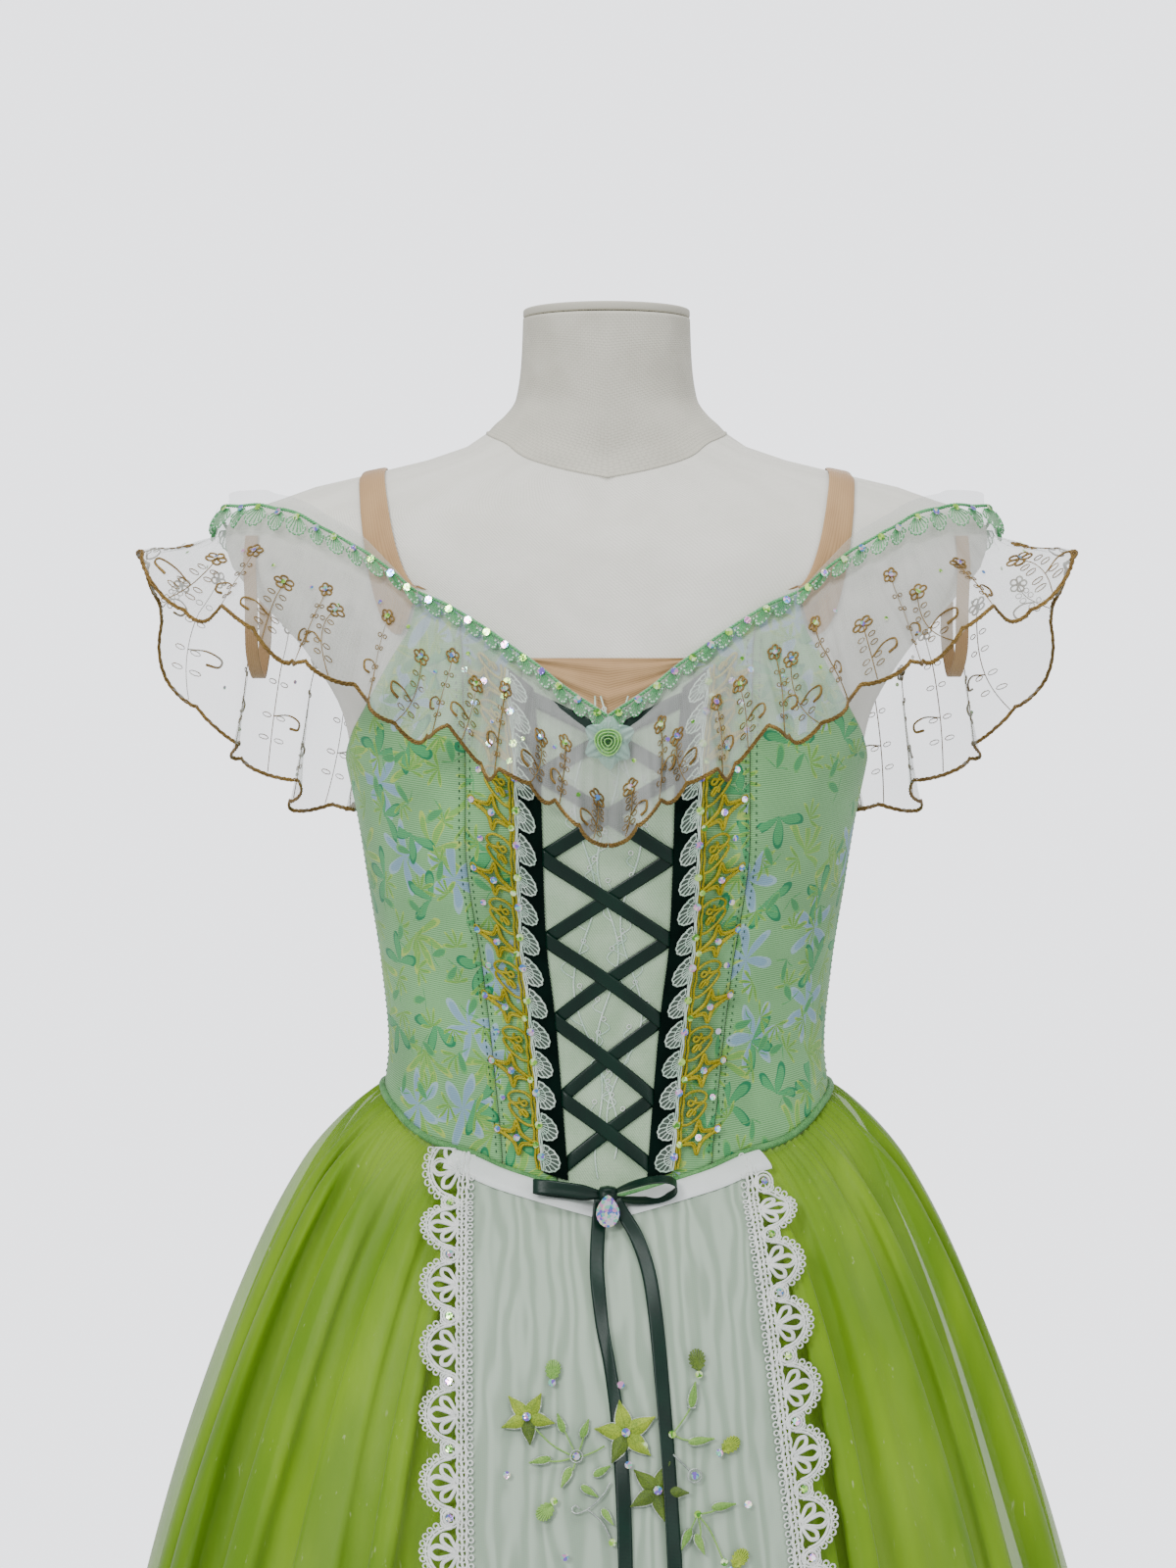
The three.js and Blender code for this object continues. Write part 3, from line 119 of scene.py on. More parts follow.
# How deep the ruffle's flat heading is, and how far the layers lie off the form's skin.
HEADING = 13.6
RUFFLE_SEAMS = (0.0, 30.4, 139.0, 177.0)
BODICE, FIRST, SECOND = 3.9, 4.6, 5.9


def blend(low: Array | float, high: Array | float, share: Array | float) -> Array:
    """Args: low, high: two values. share: 0 to 1. Returns: the value between."""
    return low + (high - low) * share


def ease(low: float, high: float, value: Array) -> Array:
    """Args: low, high: where the step starts and ends. value: place. Returns: 0 to 1, smooth."""
    t = np.clip((value - low) / (high - low), 0, 1)
    return t * t * (3 - 2 * t)


def stack(*parts: Array | float) -> Array:
    """Args: parts: x, y and z. Returns: points, the three along the last axis."""
    return np.stack(np.broadcast_arrays(*[np.asarray(p, float) for p in parts]), -1)


def lengths_along(line: Array) -> Array:
    """Args: line: points in a row. Returns: the length from the first to each of them."""
    return np.concatenate([[0], np.cumsum(np.linalg.norm(np.diff(line, axis=0), axis=1))])


def unit(vectors: Array) -> Array:
    """Args: vectors: any. Returns: the same ones, each of length 1."""
    return vectors / np.maximum(np.linalg.norm(vectors, axis=-1, keepdims=True), 1e-9)


def waves(place: Array, seed: int, count: int = 4, low: float = 1, high: float = 5) -> Array:
    """Args: place: radians round. seed: which. Returns: a soft uneven wave of about 1."""
    dice = np.random.default_rng(seed)
    total = np.zeros_like(np.asarray(place, float))
    for _ in range(count):
        turns = round(dice.uniform(low, high))
        total = total + dice.uniform(0.5, 1) * np.sin(turns * place + dice.uniform(0, 6.3))
    return total / count**0.5


class BodySurface:
    """The dress form's skin, on which the bodice and its trims lie."""

    bust_height, bust_angle, bust_spread, bust_z, bust_rise = 12, 32, 26, 1196, 46

    def __init__(self) -> None:
        """Builds the form's width and depth tables."""
        columns = list(zip(*FORM_ROWS))
        tables = [SmoothTable(dict(zip(columns[0], column))) for column in columns[1:]]
        self.width, self.front, self.back, self.shift = tables

    def skin(self, angle: Array, z: Array) -> Array:
        """Args: angle: degrees from the front. z: height. Returns: points on the skin."""
        turn = np.radians(angle)
        depth = np.where(np.cos(turn) > 0, self.front(z), self.back(z))
        bells = sum(np.exp(-(((angle + s * self.bust_angle) / self.bust_spread) ** 2)) for s in (1, -1))
        bust = self.bust_height * bells * np.exp(-(((z - self.bust_z) / self.bust_rise) ** 2))
        forward = bust * np.sqrt(np.maximum(np.cos(turn), 0))
        return stack(self.width(z) * np.sin(turn), self.shift(z) - depth * np.cos(turn) - forward, z)

    def point(self, angle: Array, z: Array, lift: Array | float) -> Array:
        """Args: angle: degrees. z: height. lift: how far off the skin. Returns: points."""
        angle, z, lift = np.broadcast_arrays(*[np.asarray(p, float) for p in (angle, z, lift)])
        angle = np.mod(angle + 180, 360) - 180
        around = self.skin(angle + 0.1, z) - self.skin(angle - 0.1, z)
        upward = self.skin(angle, z + 0.2) - self.skin(angle, z - 0.2)
        return self.skin(angle, z) + unit(np.cross(around, upward)) * lift[..., None]

    def level_out(self, angle: Array, z: Array) -> Array:
        """Args: angle: degrees. z: height. Returns: level directions away from the body."""
        turn = np.radians(angle)
        depth = np.where(np.cos(turn) > 0, self.front(z), self.back(z))
        return unit(stack(np.sin(turn) / self.width(z), -np.cos(turn) / depth, 0 * turn))

    def angle_at(self, x: Array, z: Array) -> Array:
        """Args: x: distance across. z: height. Returns: the angle in degrees."""
        return np.degrees(np.arcsin(np.clip(x / (self.width(z) + 4), -1, 1)))


BODY = BodySurface()


def bodice_top(angle: Array) -> Array:
    """Args: angle: degrees. Returns: the height of the bodice's cut edge."""
    return np.minimum(NECK_PATH(np.abs(angle)), ARMHOLE(np.abs(angle)))


class SkirtSurface:
    """The skirt's smooth cone, from the basque to the hem, before its folds."""

    hem_z, half_width, front, back, seam = 300, 350, 322, 330, 2.2
    bend, soft = 0.58, 0.004
    fold_grow, gap = 1.4, 0.6

    def __init__(self) -> None:
        """Measures the front line, so that a length along it gives a height."""
        share = (np.arange(201) / 200) ** 1.5
        self.lengths, self.shares = lengths_along(self.skin(np.zeros(201), share)), share
        self.across, self.downward = np.linspace(-130, 150, 141), np.linspace(-36, 420, 229)
        x, down = np.meshgrid(self.across, self.downward, indexing="ij")
        self.chart = self.measure(x, down, 0.0)
        self.chart_out = self.measure(x, down, 1.0) - self.chart

    def skin(self, angle: Array, v: Array) -> Array:
        """Args: angle: degrees. v: 0 at the waist to 1 at the hem. Returns: points."""
        turn = np.radians(angle)
        top = WAIST_EDGE(np.abs(np.mod(angle + 180, 360) - 180)) - self.seam
        waist = BODY.point(angle, top, FIRST)
        depth = np.where(np.cos(turn) > 0, self.front, self.back)
        start, end = self.soft**self.bend, (1 + self.soft) ** self.bend
        flare = (np.power(np.maximum(v, 0) + self.soft, self.bend) - start) / (end - start)
        x = blend(waist[..., 0], self.half_width * np.sin(turn), flare)
        y = blend(waist[..., 1], -depth * np.cos(turn), flare)
        return stack(x, y, blend(waist[..., 2], self.hem_z, v))

    def normal(self, angle: Array, v: Array) -> Array:
        """Args: angle: degrees. v: 0 to 1. Returns: outward directions."""
        at = np.clip(v, 0.0015, 0.998)
        around = self.skin(angle + 0.2, at) - self.skin(angle - 0.2, at)
        upward = self.skin(angle, at - 0.001) - self.skin(angle, at + 0.001)
        return unit(np.cross(around, upward))

    def point(self, angle: Array, v: Array, lift: Array | float) -> Array:
        """Args: angle: degrees. v: 0 to 1. lift: distance off the cone. Returns: points."""
        angle, v, lift = np.broadcast_arrays(*[np.asarray(p, float) for p in (angle, v, lift)])
        return self.skin(angle, v) + self.normal(angle, v) * lift[..., None]

    def share_down(self, down: Array) -> Array:
        """Args: down: length along the front line. Returns: the share v there."""
        return np.interp(down, self.lengths, self.shares)

    @staticmethod
    def fold_depth(v: Array) -> Array:
        """Args: v: 0 to 1. Returns: how deep the overlay's folds are there."""
        return 0.5 + 11 * np.maximum(v, 0) ** 0.7

    def clear_of_folds(self, v: Array) -> Array:
        """Args: v: 0 to 1. Returns: the height of what lies over the folds there."""
        return self.fold_grow * self.fold_depth(v) + self.gap

    def over(self, x: Array, down: Array, lift: Array | float) -> Array:
        """Args: x: across. down: along the front line. lift: over the folds. Returns: points."""
        x, down, lift = np.broadcast_arrays(*[np.asarray(p, float) for p in (x, down, lift)])
        cells = []
        for line, value in ((self.across, x), (self.downward, down)):
            cells.append(np.clip((value - line[0]) / (line[1] - line[0]), 0, len(line) - 1.001))
        a, b = cells
        i, j = a.astype(int), b.astype(int)
        p, q = (a - i)[..., None], (b - j)[..., None]

        def read(table: Array) -> Array:
            """Args: table: a value at each measured place. Returns: the values between."""
            low = table[i, j] * (1 - p) + table[i + 1, j] * p
            return low * (1 - q) + (table[i, j + 1] * (1 - p) + table[i + 1, j + 1] * p) * q

        return read(self.chart) + read(self.chart_out) * lift[..., None]

    def measure(self, x: Array, down: Array, lift: Array | float) -> Array:
        """A place on what lies over the front folds, such as the apron, worked out in full.

        Args:
            x: distance across from the middle.
            down: length down the front line.
            lift: height over the folds' tops.

        Returns:
            Points in the row frame, in millimetres.
        """
        x, down, lift = np.broadcast_arrays(*[np.asarray(p, float) for p in (x, down, lift)])
        level = self.skin(np.zeros_like(down), self.share_down(down))[..., 2] - np.minimum(down, 0)
        low, high = np.zeros_like(x), np.full_like(x, 80)
        for _ in range(22):
            middle = (low + high) / 2
            top = WAIST_EDGE(middle) - self.seam
            v = np.maximum(0, (top - level) / (top - self.hem_z))
            inside = self.skin(middle, v)[..., 0] < np.abs(x)
            low, high = np.where(inside, middle, low), np.where(inside, high, middle)
        top = WAIST_EDGE(low) - self.seam
        v = np.maximum(0, (top - level) / (top - self.hem_z))
        return self.point(np.sign(x) * low, v, lift + self.clear_of_folds(v))

    def band(self, angle: Array, down: Array, lift: Array | float) -> Array:
        """Args: angle: degrees. down: length below the waist. lift: height. Returns: points."""
        top = WAIST_EDGE(np.abs(angle)) - self.seam
        v = self.share_down(down) * ((WAIST_EDGE(0) - self.seam - self.hem_z) / (top - self.hem_z))
        return self.point(angle, v, lift + self.clear_of_folds(v))


SKIRT = SkirtSurface()


class RuffleSurface:
    """The tulle ruffle that hangs from the neckline and over the shoulders."""

    wave, column_length, stand, swing, frill, start = 38, 36, 4.2, 0.17, 7, 1.6

    def __init__(self) -> None:
        """Measures the neckline and the ruffle's hang round the body."""
        degrees = np.arange(0, 180.01, 0.5)
        line = BODY.point(degrees, NECK_PATH(degrees), FIRST)
        self.degrees, self.lengths = degrees, lengths_along(line)
        # At each angle: the ruffle's depth, and how far its net leans out.
        hang = {
            0: (66, 10), 10: (66, 16), 20: (72, 24), 35: (80, 27), 50: (76, 32), 64: (70, 42),
            75: (58, 60), 84: (50, 66), 92: (58, 34), 102: (88, 10), 112: (108, 4),
            122: (112, 4), 134: (94, 8), 147: (76, 12), 160: (70, 14), 180: (68, 12),
        }
        self.depth = SmoothTable({a: d for a, (d, _) in hang.items()})
        self.flare = SmoothTable({a: f for a, (_, f) in hang.items()})

    def angle(self, along: Array) -> Array:
        """Args: along: length along the neckline from the front. Returns: degrees."""
        return np.interp(along, self.lengths, self.degrees)

    def along(self, angle: Array) -> Array:
        """Args: angle: degrees. Returns: the length along the neckline."""
        return np.interp(angle, self.degrees, self.lengths)

    def point(self, sign: float, along: Array, down: Array, lift: Array | float) -> Array:
        """A place on the ruffle.

        Args:
            sign: 1 for the right of someone who looks at the front, -1 for the left.
            along: length along the neckline from the front's middle.
            down: length below the neckline, less than 0 on the frill above it.
            lift: height over the net.

        Returns:
            Points in the row frame, in millimetres.
        """
        along, down, lift = np.broadcast_arrays(*[np.asarray(p, float) for p in (along, down, lift)])
        angle = self.angle(along)
        top = NECK_PATH(angle)
        lain = BODY.point(sign * angle, top - np.clip(down, 0, HEADING), FIRST + lift)
        lain[..., 2] += np.maximum(-down, 0)
        root = BODY.point(sign * angle, top - HEADING, FIRST)
        free = np.maximum(down - HEADING, 0)
        flare = np.radians(self.flare(angle))
        wave = 1 - np.cos(2 * np.pi * along / self.wave)
        stand = self.stand * np.minimum(1, free / self.start)
        swing = self.swing * wave * free * np.minimum(1, free / self.column_length) + lift
        out = stand + free * np.sin(flare) + swing * np.cos(flare)
        hung = root + BODY.level_out(sign * angle, top - HEADING) * out[..., None]
        hung[..., 2] += swing * np.sin(flare) - free * np.cos(flare)
        return np.where((down > HEADING)[..., None], hung, lain)


RUFFLE = RuffleSurface()


# Ways of making meshes


def read_points(mesh: bpy.types.Mesh) -> Array:
    """Args: mesh: any mesh. Returns: its points as rows."""
    flat = np.zeros(len(mesh.vertices) * 3, np.float32)
    mesh.vertices.foreach_get("co", flat)
    return flat.reshape(-1, 3).astype(float)


def write_points(mesh: bpy.types.Mesh, points: Array) -> None:
    """Args: mesh: any mesh. points: a row for each of its points, in metres."""
    mesh.vertices.foreach_set("co", points.astype(np.float32).ravel())
    mesh.update()


def add_object(name: str, mesh: bpy.types.Mesh, smooth: bool = True) -> bpy.types.Object:
    """Args: name: its name. mesh: its mesh. smooth: rounded shading. Returns: the object."""
    piece = bpy.data.objects.new(name, mesh)
    bpy.context.scene.collection.objects.link(piece)
    mesh.polygons.foreach_set("use_smooth", [smooth] * len(mesh.polygons))
    mesh.update()
    return piece


def kept(name: str, work: bmesh.types.BMesh) -> bpy.types.Mesh:
    """Args: name: the mesh's name. work: its shape, freed here. Returns: the mesh."""
    mesh = bpy.data.meshes.new(name)
    work.to_mesh(mesh)
    work.free()
    return mesh


def set_cloth_place(mesh: bpy.types.Mesh, places: Array) -> None:
    """Args: mesh: a cloth with a UV map. places: flat ones, a row a point, in metres."""
    corners = np.zeros(len(mesh.loops), np.int32)
    mesh.loops.foreach_get("vertex_index", corners)
    mesh.uv_layers[0].data.foreach_set("uv", places[corners].astype(np.float32).ravel())


def face_outward(mesh: bpy.types.Mesh, centre: tuple[float, float] = (0.0, 0.005)) -> None:
    """Args: mesh: a wall round the body. centre: the body's middle line in x and y."""
    normals = np.zeros(len(mesh.polygons) * 3, np.float32)
    middles = np.zeros(len(mesh.polygons) * 3, np.float32)
    mesh.polygons.foreach_get("normal", normals)
    mesh.polygons.foreach_get("center", middles)
    normals, middles = normals.reshape(-1, 3), middles.reshape(-1, 3)
    away = middles[:, :2] - np.array(centre)
    if np.sum(normals[:, :2] * away) < 0:
        mesh.flip_normals()


def cloth_mesh(
    name: str,
    cells: tuple[int, int],
    place: Place,
    size: tuple[float, float] = (0.1, 0.1),
    ring: bool = False,
    outward: bool = True,
) -> bpy.types.Mesh:
    """A piece of cloth as a fine grid laid on a surface.

    Args:
        name: the mesh's name.
        cells: how many faces across and along.
        place: turns two shares, 0 to 1, into points in millimetres.
        size: the cloth's own size in metres, for its weave.
        ring: joins the two sides, for a piece that goes all round.
        outward: turns the faces away from the body.

    Returns:
        The mesh, with the cloth's own place as its UV map.
    """
    sheet = bmesh.new()
    bmesh.ops.create_grid(sheet, x_segments=cells[0], y_segments=cells[1], size=0.5)
    mesh = kept(name, sheet)
    flat = read_points(mesh)[:, :2] + 0.5
    mesh.uv_layers.new(name="UVMap")
    set_cloth_place(mesh, flat * np.array(size))
    write_points(mesh, place(flat[:, 0], flat[:, 1]) * MM)
    if ring:
        sheet = bmesh.new()
        sheet.from_mesh(mesh)
        bmesh.ops.remove_doubles(sheet, verts=sheet.verts, dist=2e-5)
        sheet.to_mesh(mesh)
        sheet.free()
        mesh.update()
    if outward:
        face_outward(mesh)
    return mesh


def merge(name: str, meshes: list[bpy.types.Mesh]) -> bpy.types.Mesh:
    """Args: name: the new name. meshes: what to join. Returns: one mesh of them all."""
    joined = bmesh.new()
    for mesh in meshes:
        joined.from_mesh(mesh)
    return kept(name, joined)


def thicken(mesh: bpy.types.Mesh, thickness: float) -> bpy.types.Mesh:
    """Args: mesh: a cloth. thickness: in metres. Returns: it, with a back and edges."""
    wall = bmesh.new()
    wall.from_mesh(mesh)
    bmesh.ops.solidify(wall, geom=wall.faces[:] + wall.edges[:] + wall.verts[:], thickness=thickness)
    bmesh.ops.recalc_face_normals(wall, faces=wall.faces)
    wall.to_mesh(mesh)
    wall.free()
    return mesh


def spun(name: str, profile: Route, steps: int, turn: float) -> bpy.types.Mesh:
    """A round part turned from its profile.

    Args:
        name: the mesh's name.
        profile: radius and height pairs in millimetres, from the bottom's middle up.
        steps: faces round it.
        turn: width of the rounding on its corners, in millimetres.

    Returns:
        The mesh.
    """
    part = bmesh.new()
    line = [part.verts.new((profile[0][0] * MM, 0, profile[0][1] * MM))]
    for radius, height in profile[1:]:
        grown = bmesh.ops.extrude_vert_indiv(part, verts=[line[-1]])["verts"][0]
        grown.co = (radius * MM, 0, height * MM)
        line.append(grown)
    if turn > 0:
        bmesh.ops.bevel(
            part, geom=line[1:-1], offset=turn * MM, offset_type="OFFSET", segments=3, profile=0.5,
            affect="VERTICES", material=-1,
        )
    bmesh.ops.spin(
        part, geom=part.verts[:] + part.edges[:], cent=(0, 0, 0), axis=(0, 0, 1), dvec=(0, 0, 0),
        angle=2 * math.pi, steps=steps, use_merge=True,
    )
    bmesh.ops.remove_doubles(part, verts=part.verts, dist=1e-6)
    bmesh.ops.recalc_face_normals(part, faces=part.faces)
    return kept(name, part)


class Threads:
    """Many cords and stitches, gathered and then swept in one go."""

    def __init__(self) -> None:
        """Starts with no cords."""
        self.lines: list[tuple[Array, Array, bool]] = []

    def add(self, points: Array, radius: Array | float, closed: bool = False) -> None:
        """Args: points: rows in millimetres. radius: one or one each. closed: a ring."""
        self.lines.append((points, np.broadcast_to(np.asarray(radius, float), len(points)), closed))

    def sweep(self, name: str, sides: int = 0) -> bpy.types.Mesh:
        """Args: name: the mesh's name. sides: roundness, 0 for square. Returns: the mesh."""
        path = bpy.data.curves.new(name, "CURVE")
        path.dimensions = "3D"
        path.bevel_depth = MM
        path.bevel_resolution = sides
        path.use_fill_caps = True
        path.twist_mode = "MINIMUM"
        for points, radius, closed in self.lines:
            line = path.splines.new("POLY")
            line.points.add(len(points) - 1)
            line.points.foreach_set("co", np.column_stack([points * MM, np.ones(len(points))]).ravel())
            line.points.foreach_set("radius", np.ascontiguousarray(radius))
            line.use_cyclic_u = closed
        holder = bpy.data.objects.new(name + "_line", path)
        mesh = bpy.data.meshes.new_from_object(holder)
        mesh.name = name
        bpy.data.objects.remove(holder)
        bpy.data.curves.remove(path)
        return mesh


def frames(at: Array, out: Array, along: Array, scale: Array | float = 1.0) -> Array:
    """Places for repeated small parts.

    Args:
        at: points in millimetres.
        out: direction that each part's own z takes.
        along: rough direction that its x takes.
        scale: size of each.

    Returns:
        A 4 by 4 matrix each.
    """
    out = unit(out)
    along = unit(along - np.sum(along * out, -1, keepdims=True) * out)
    side = np.cross(out, along)
    places = np.zeros((len(at), 4, 4))
    size = np.broadcast_to(np.asarray(scale, float), len(at))[:, None]
    places[:, :3, 0], places[:, :3, 1], places[:, :3, 2] = along * size, side * size, out * size
    places[:, :3, 3], places[:, 3, 3] = at, 1
    return places


def stamp(name: str, pattern: bpy.types.Mesh, places: Array) -> bpy.types.Mesh:
    """Args: name: new name. pattern: the part, in millimetres. places: matrices. Returns: all."""
    whole = bmesh.new()
    for _ in range(len(places)):
        whole.from_mesh(pattern)
    mesh = kept(name, whole)
    shape = np.column_stack([read_points(pattern), np.ones(len(pattern.vertices))])
    write_points(mesh, np.einsum("nij,kj->nki", places, shape)[..., :3].reshape(-1, 3) * MM)
    return mesh


def stone_pattern(radius: float, height: float, sides: int = 8) -> bpy.types.Mesh:
    """Args: radius, height, sides: of a round cut stone. Returns: it, in millimetres."""
    cut = bmesh.new()
    bmesh.ops.create_circle(cut, cap_ends=True, segments=sides, radius=radius * 0.94)
    face = cut.faces[:]
    for inset, rise in ((-0.06 * radius, 0.3 * height), (0.42 * radius, 0.7 * height)):
        bmesh.ops.inset_region(cut, faces=face, thickness=max(inset, 0.0), depth=rise)
        if inset < 0:
            bmesh.ops.scale(cut, verts=face[0].verts, vec=(1.06, 1.06, 1))
    return kept("stone", cut)


def bead_pattern(radius: float) -> bpy.types.Mesh:
    """Args: radius: of a small bead or knot. Returns: it, in millimetres."""
    ball = bmesh.new()
    bmesh.ops.create_icosphere(ball, subdivisions=1, radius=radius)
    return kept("bead", ball)


def ring_line(radius: float, steps: int = 10) -> Array:
    """Args: radius: of a ring. steps: points. Returns: flat points of it."""
    turn = np.linspace(0, 2 * np.pi, steps, endpoint=False)
    return np.column_stack([radius * np.cos(turn), radius * np.sin(turn)])


def smooth_line(points: list | Array, steps: int = 5, closed: bool = False) -> Array:
    """Args: points: flat ones. steps: points between two. closed: a ring. Returns: a curve."""
    given = np.array(points, float)
    before = given[-1:] if closed else 2 * given[:1] - given[1:2]
    after = given[:2] if closed else 2 * given[-1:] - given[-2:-1]
    p = np.concatenate([before, given, after])
    count = len(given) if closed else len(given) - 1
    t = (np.arange(steps) / steps)[:, None]
    parts = []
    for i in range(count):
        a, b, c, d = p[i], p[i + 1], p[i + 2], p[i + 3]
        square, cube = 2 * a - 5 * b + 4 * c - d, 3 * b - a - 3 * c + d
        parts.append(0.5 * (2 * b + (c - a) * t + square * t**2 + cube * t**3))
    if not closed:
        parts.append(given[-1:])
    return np.concatenate(parts)


def finish_piece(
    name: str,
    mesh: bpy.types.Mesh,
    finish: "Finish",
    stands_for: tuple[str, ...] = (),
    smooth: bool = True,
) -> bpy.types.Object:
    """Args: name, mesh: the piece. finish: its look. stands_for: CAD nodes. Returns: it, placed."""
    piece = add_object(name, mesh, smooth)
    mesh.materials.append(finish.material())
    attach(piece, "root")
    if stands_for:
        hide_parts(*stands_for)
    return piece


def cut_of(mesh: bpy.types.Mesh, length: float, sides: int = 1) -> tuple[float, float]:
    """Args: mesh: a cloth. length: its cut length. sides: 2 for a wall. Returns: the flat cut."""
    areas = np.zeros(len(mesh.polygons), np.float32)
    mesh.polygons.foreach_get("area", areas)
    width = float(areas.sum()) / sides / length
    log.info("%s: cut %.3f by %.3f m", mesh.name, width, length)
    return (width, length)


# Finishes

Socket = bpy.types.NodeSocket
Value = bpy.types.NodeSocket | float | tuple


def tint(red: float, green: float, blue: float) -> tuple[float, float, float, float]:
    """Args: red, green, blue: 0 to 255 as on a screen. Returns: the colour for a shader."""
    parts = [c / 255 for c in (red, green, blue)]
    line = [c / 12.92 if c <= 0.04045 else ((c + 0.055) / 1.055) ** 2.4 for c in parts]
    return (line[0], line[1], line[2], 1.0)


class Graph:
    """A finish's nodes, added and joined by short calls."""

    def __init__(self, tree: bpy.types.NodeTree) -> None:
        """Args: tree: the node tree to fill."""
        self.tree = tree

    def add(self, kind: str, inputs: dict | None = None, **settings: object) -> bpy.types.Node:
        """Args: kind: node type. inputs: values or links. settings: options. Returns: the node."""
        node = self.tree.nodes.new(kind)
        for name, value in settings.items():
            setattr(node, name, value)
        for key, value in (inputs or {}).items():
            self.feed(value, node.inputs[key])
        return node

    def feed(self, value: Value, socket: Socket) -> None:
        """Args: value: a link or a plain value. socket: what takes it."""
        if isinstance(value, bpy.types.NodeSocket):
            self.tree.links.new(value, socket)
        else:
            socket.default_value = value

    def math(self, operation: str, a: Value, b: Value = 0.0) -> Socket:
        """Args: operation: which. a, b: what it takes. Returns: the result."""
        return self.add("ShaderNodeMath", {0: a, 1: b}, operation=operation).outputs[0]

    def times(self, a: Value, b: Value) -> Socket:
        """Args: a, b: two values. Returns: their product."""
        return self.math("MULTIPLY", a, b)

    def ridges(self, place: Value) -> Socket:
        """Args: place: counted in threads. Returns: a rounded ridge for each, 0 to 1."""
        return self.math("ABSOLUTE", self.math("SINE", self.times(place, math.pi)))

    def vector(self, operation: str, a: Value, b: Value = (0, 0, 0)) -> Socket:
        """Args: operation: which. a, b: vectors. Returns: the resulting vector."""
        return self.add("ShaderNodeVectorMath", {0: a, 1: b}, operation=operation).outputs[0]

    def scaled(self, vector: Value, by: Value) -> Socket:
        """Args: vector: any. by: how much. Returns: it, scaled."""
        inputs = {0: vector, "Scale": by}
        return self.add("ShaderNodeVectorMath", inputs, operation="SCALE").outputs[0]

    def mix(self, share: Value, a: Value, b: Value) -> Socket:
        """Args: share: 0 to 1. a, b: colours. Returns: the colour between."""
        return self.add("ShaderNodeMix", {0: share, 6: a, 7: b}, data_type="RGBA").outputs[2]

    def step(self, value: Value, low: float, high: float, start: float = 0.0, end: float = 1.0) -> Socket:
        """Args: value: input. low, high: its range. start, end: results. Returns: a soft step."""
        inputs = {0: value, 1: low, 2: high, 3: start, 4: end}
        return self.add("ShaderNodeMapRange", inputs, interpolation_type="SMOOTHSTEP").outputs[0]

    def noise(self, place: Value, scale: float, detail: float = 2.0, output: int = 0) -> Socket:
        """Args: place: where. scale: spots a metre. detail: its look. output: 1 for a colour. Returns: it."""
        inputs = {"Vector": place, "Scale": scale, "Detail": detail}
        return self.add("ShaderNodeTexNoise", inputs).outputs[output]

    def place(self, kind: str) -> Socket:
        """Args: kind: "UV" for the cloth's own place, "Object" for the object's. Returns: metres."""
        return self.add("ShaderNodeTexCoord").outputs[kind]

    def group(self, tree: bpy.types.NodeTree, *values: Value) -> bpy.types.Node:
        """Args: tree: a node group. values: its inputs in order. Returns: the group's node."""
        node = self.add("ShaderNodeGroup", node_tree=tree)
        for value, socket in zip(values, node.inputs):
            self.feed(value, socket)
        return node


def start_group(
    name: str, inputs: dict[str, str], outputs: dict[str, str]
) -> tuple[Graph, list[Socket], list[Socket]]:
    """Args: name: the group. inputs, outputs: socket names and types. Returns: graph, in, out."""
    tree = bpy.data.node_groups.new(name, "ShaderNodeTree")
    for side, sockets in (("INPUT", inputs), ("OUTPUT", outputs)):
        for label, kind in sockets.items():
            tree.interface.new_socket(label, in_out=side, socket_type="NodeSocket" + kind)
    given, result = tree.nodes.new("NodeGroupInput"), tree.nodes.new("NodeGroupOutput")
    return Graph(tree), list(given.outputs), list(result.inputs)


class Weave(Enum):
    """How a cloth's threads cross."""

    PLAIN = "Plain weave"
    TWILL = "Twill"
    RIB = "Fine ribs"


def weave_group(style: Weave) -> bpy.types.NodeTree:
    """Args: style: which weave. Returns: the group that gives its height, 0 to 1."""
    found = bpy.data.node_groups.get(style.value)
    if found:
        return found
    inputs = {"Place": "Vector", "Threads": "Float"}
    graph, given, result = start_group(style.value, inputs, {"Height": "Float"})
    scaled = graph.scaled(given[0], given[1])
    across, along = graph.add("ShaderNodeSeparateXYZ", {0: scaled}).outputs[:2]
    if style is Weave.TWILL:
        height = graph.ridges(graph.math("ADD", across, graph.times(along, 0.8)))
        height = graph.times(height, graph.math("ADD", graph.times(graph.ridges(along), 0.3), 0.7))
    elif style is Weave.RIB:
        height = graph.ridges(along)
    else:
        turn = graph.add("ShaderNodeTexChecker", {"Vector": scaled, "Scale": 1.0}).outputs[1]
        warp = graph.times(graph.ridges(across), turn)
        weft = graph.times(graph.ridges(along), graph.math("SUBTRACT", 1.0, turn))
        height = graph.math("ADD", warp, weft)
    graph.feed(height, result[0])
    return graph.tree


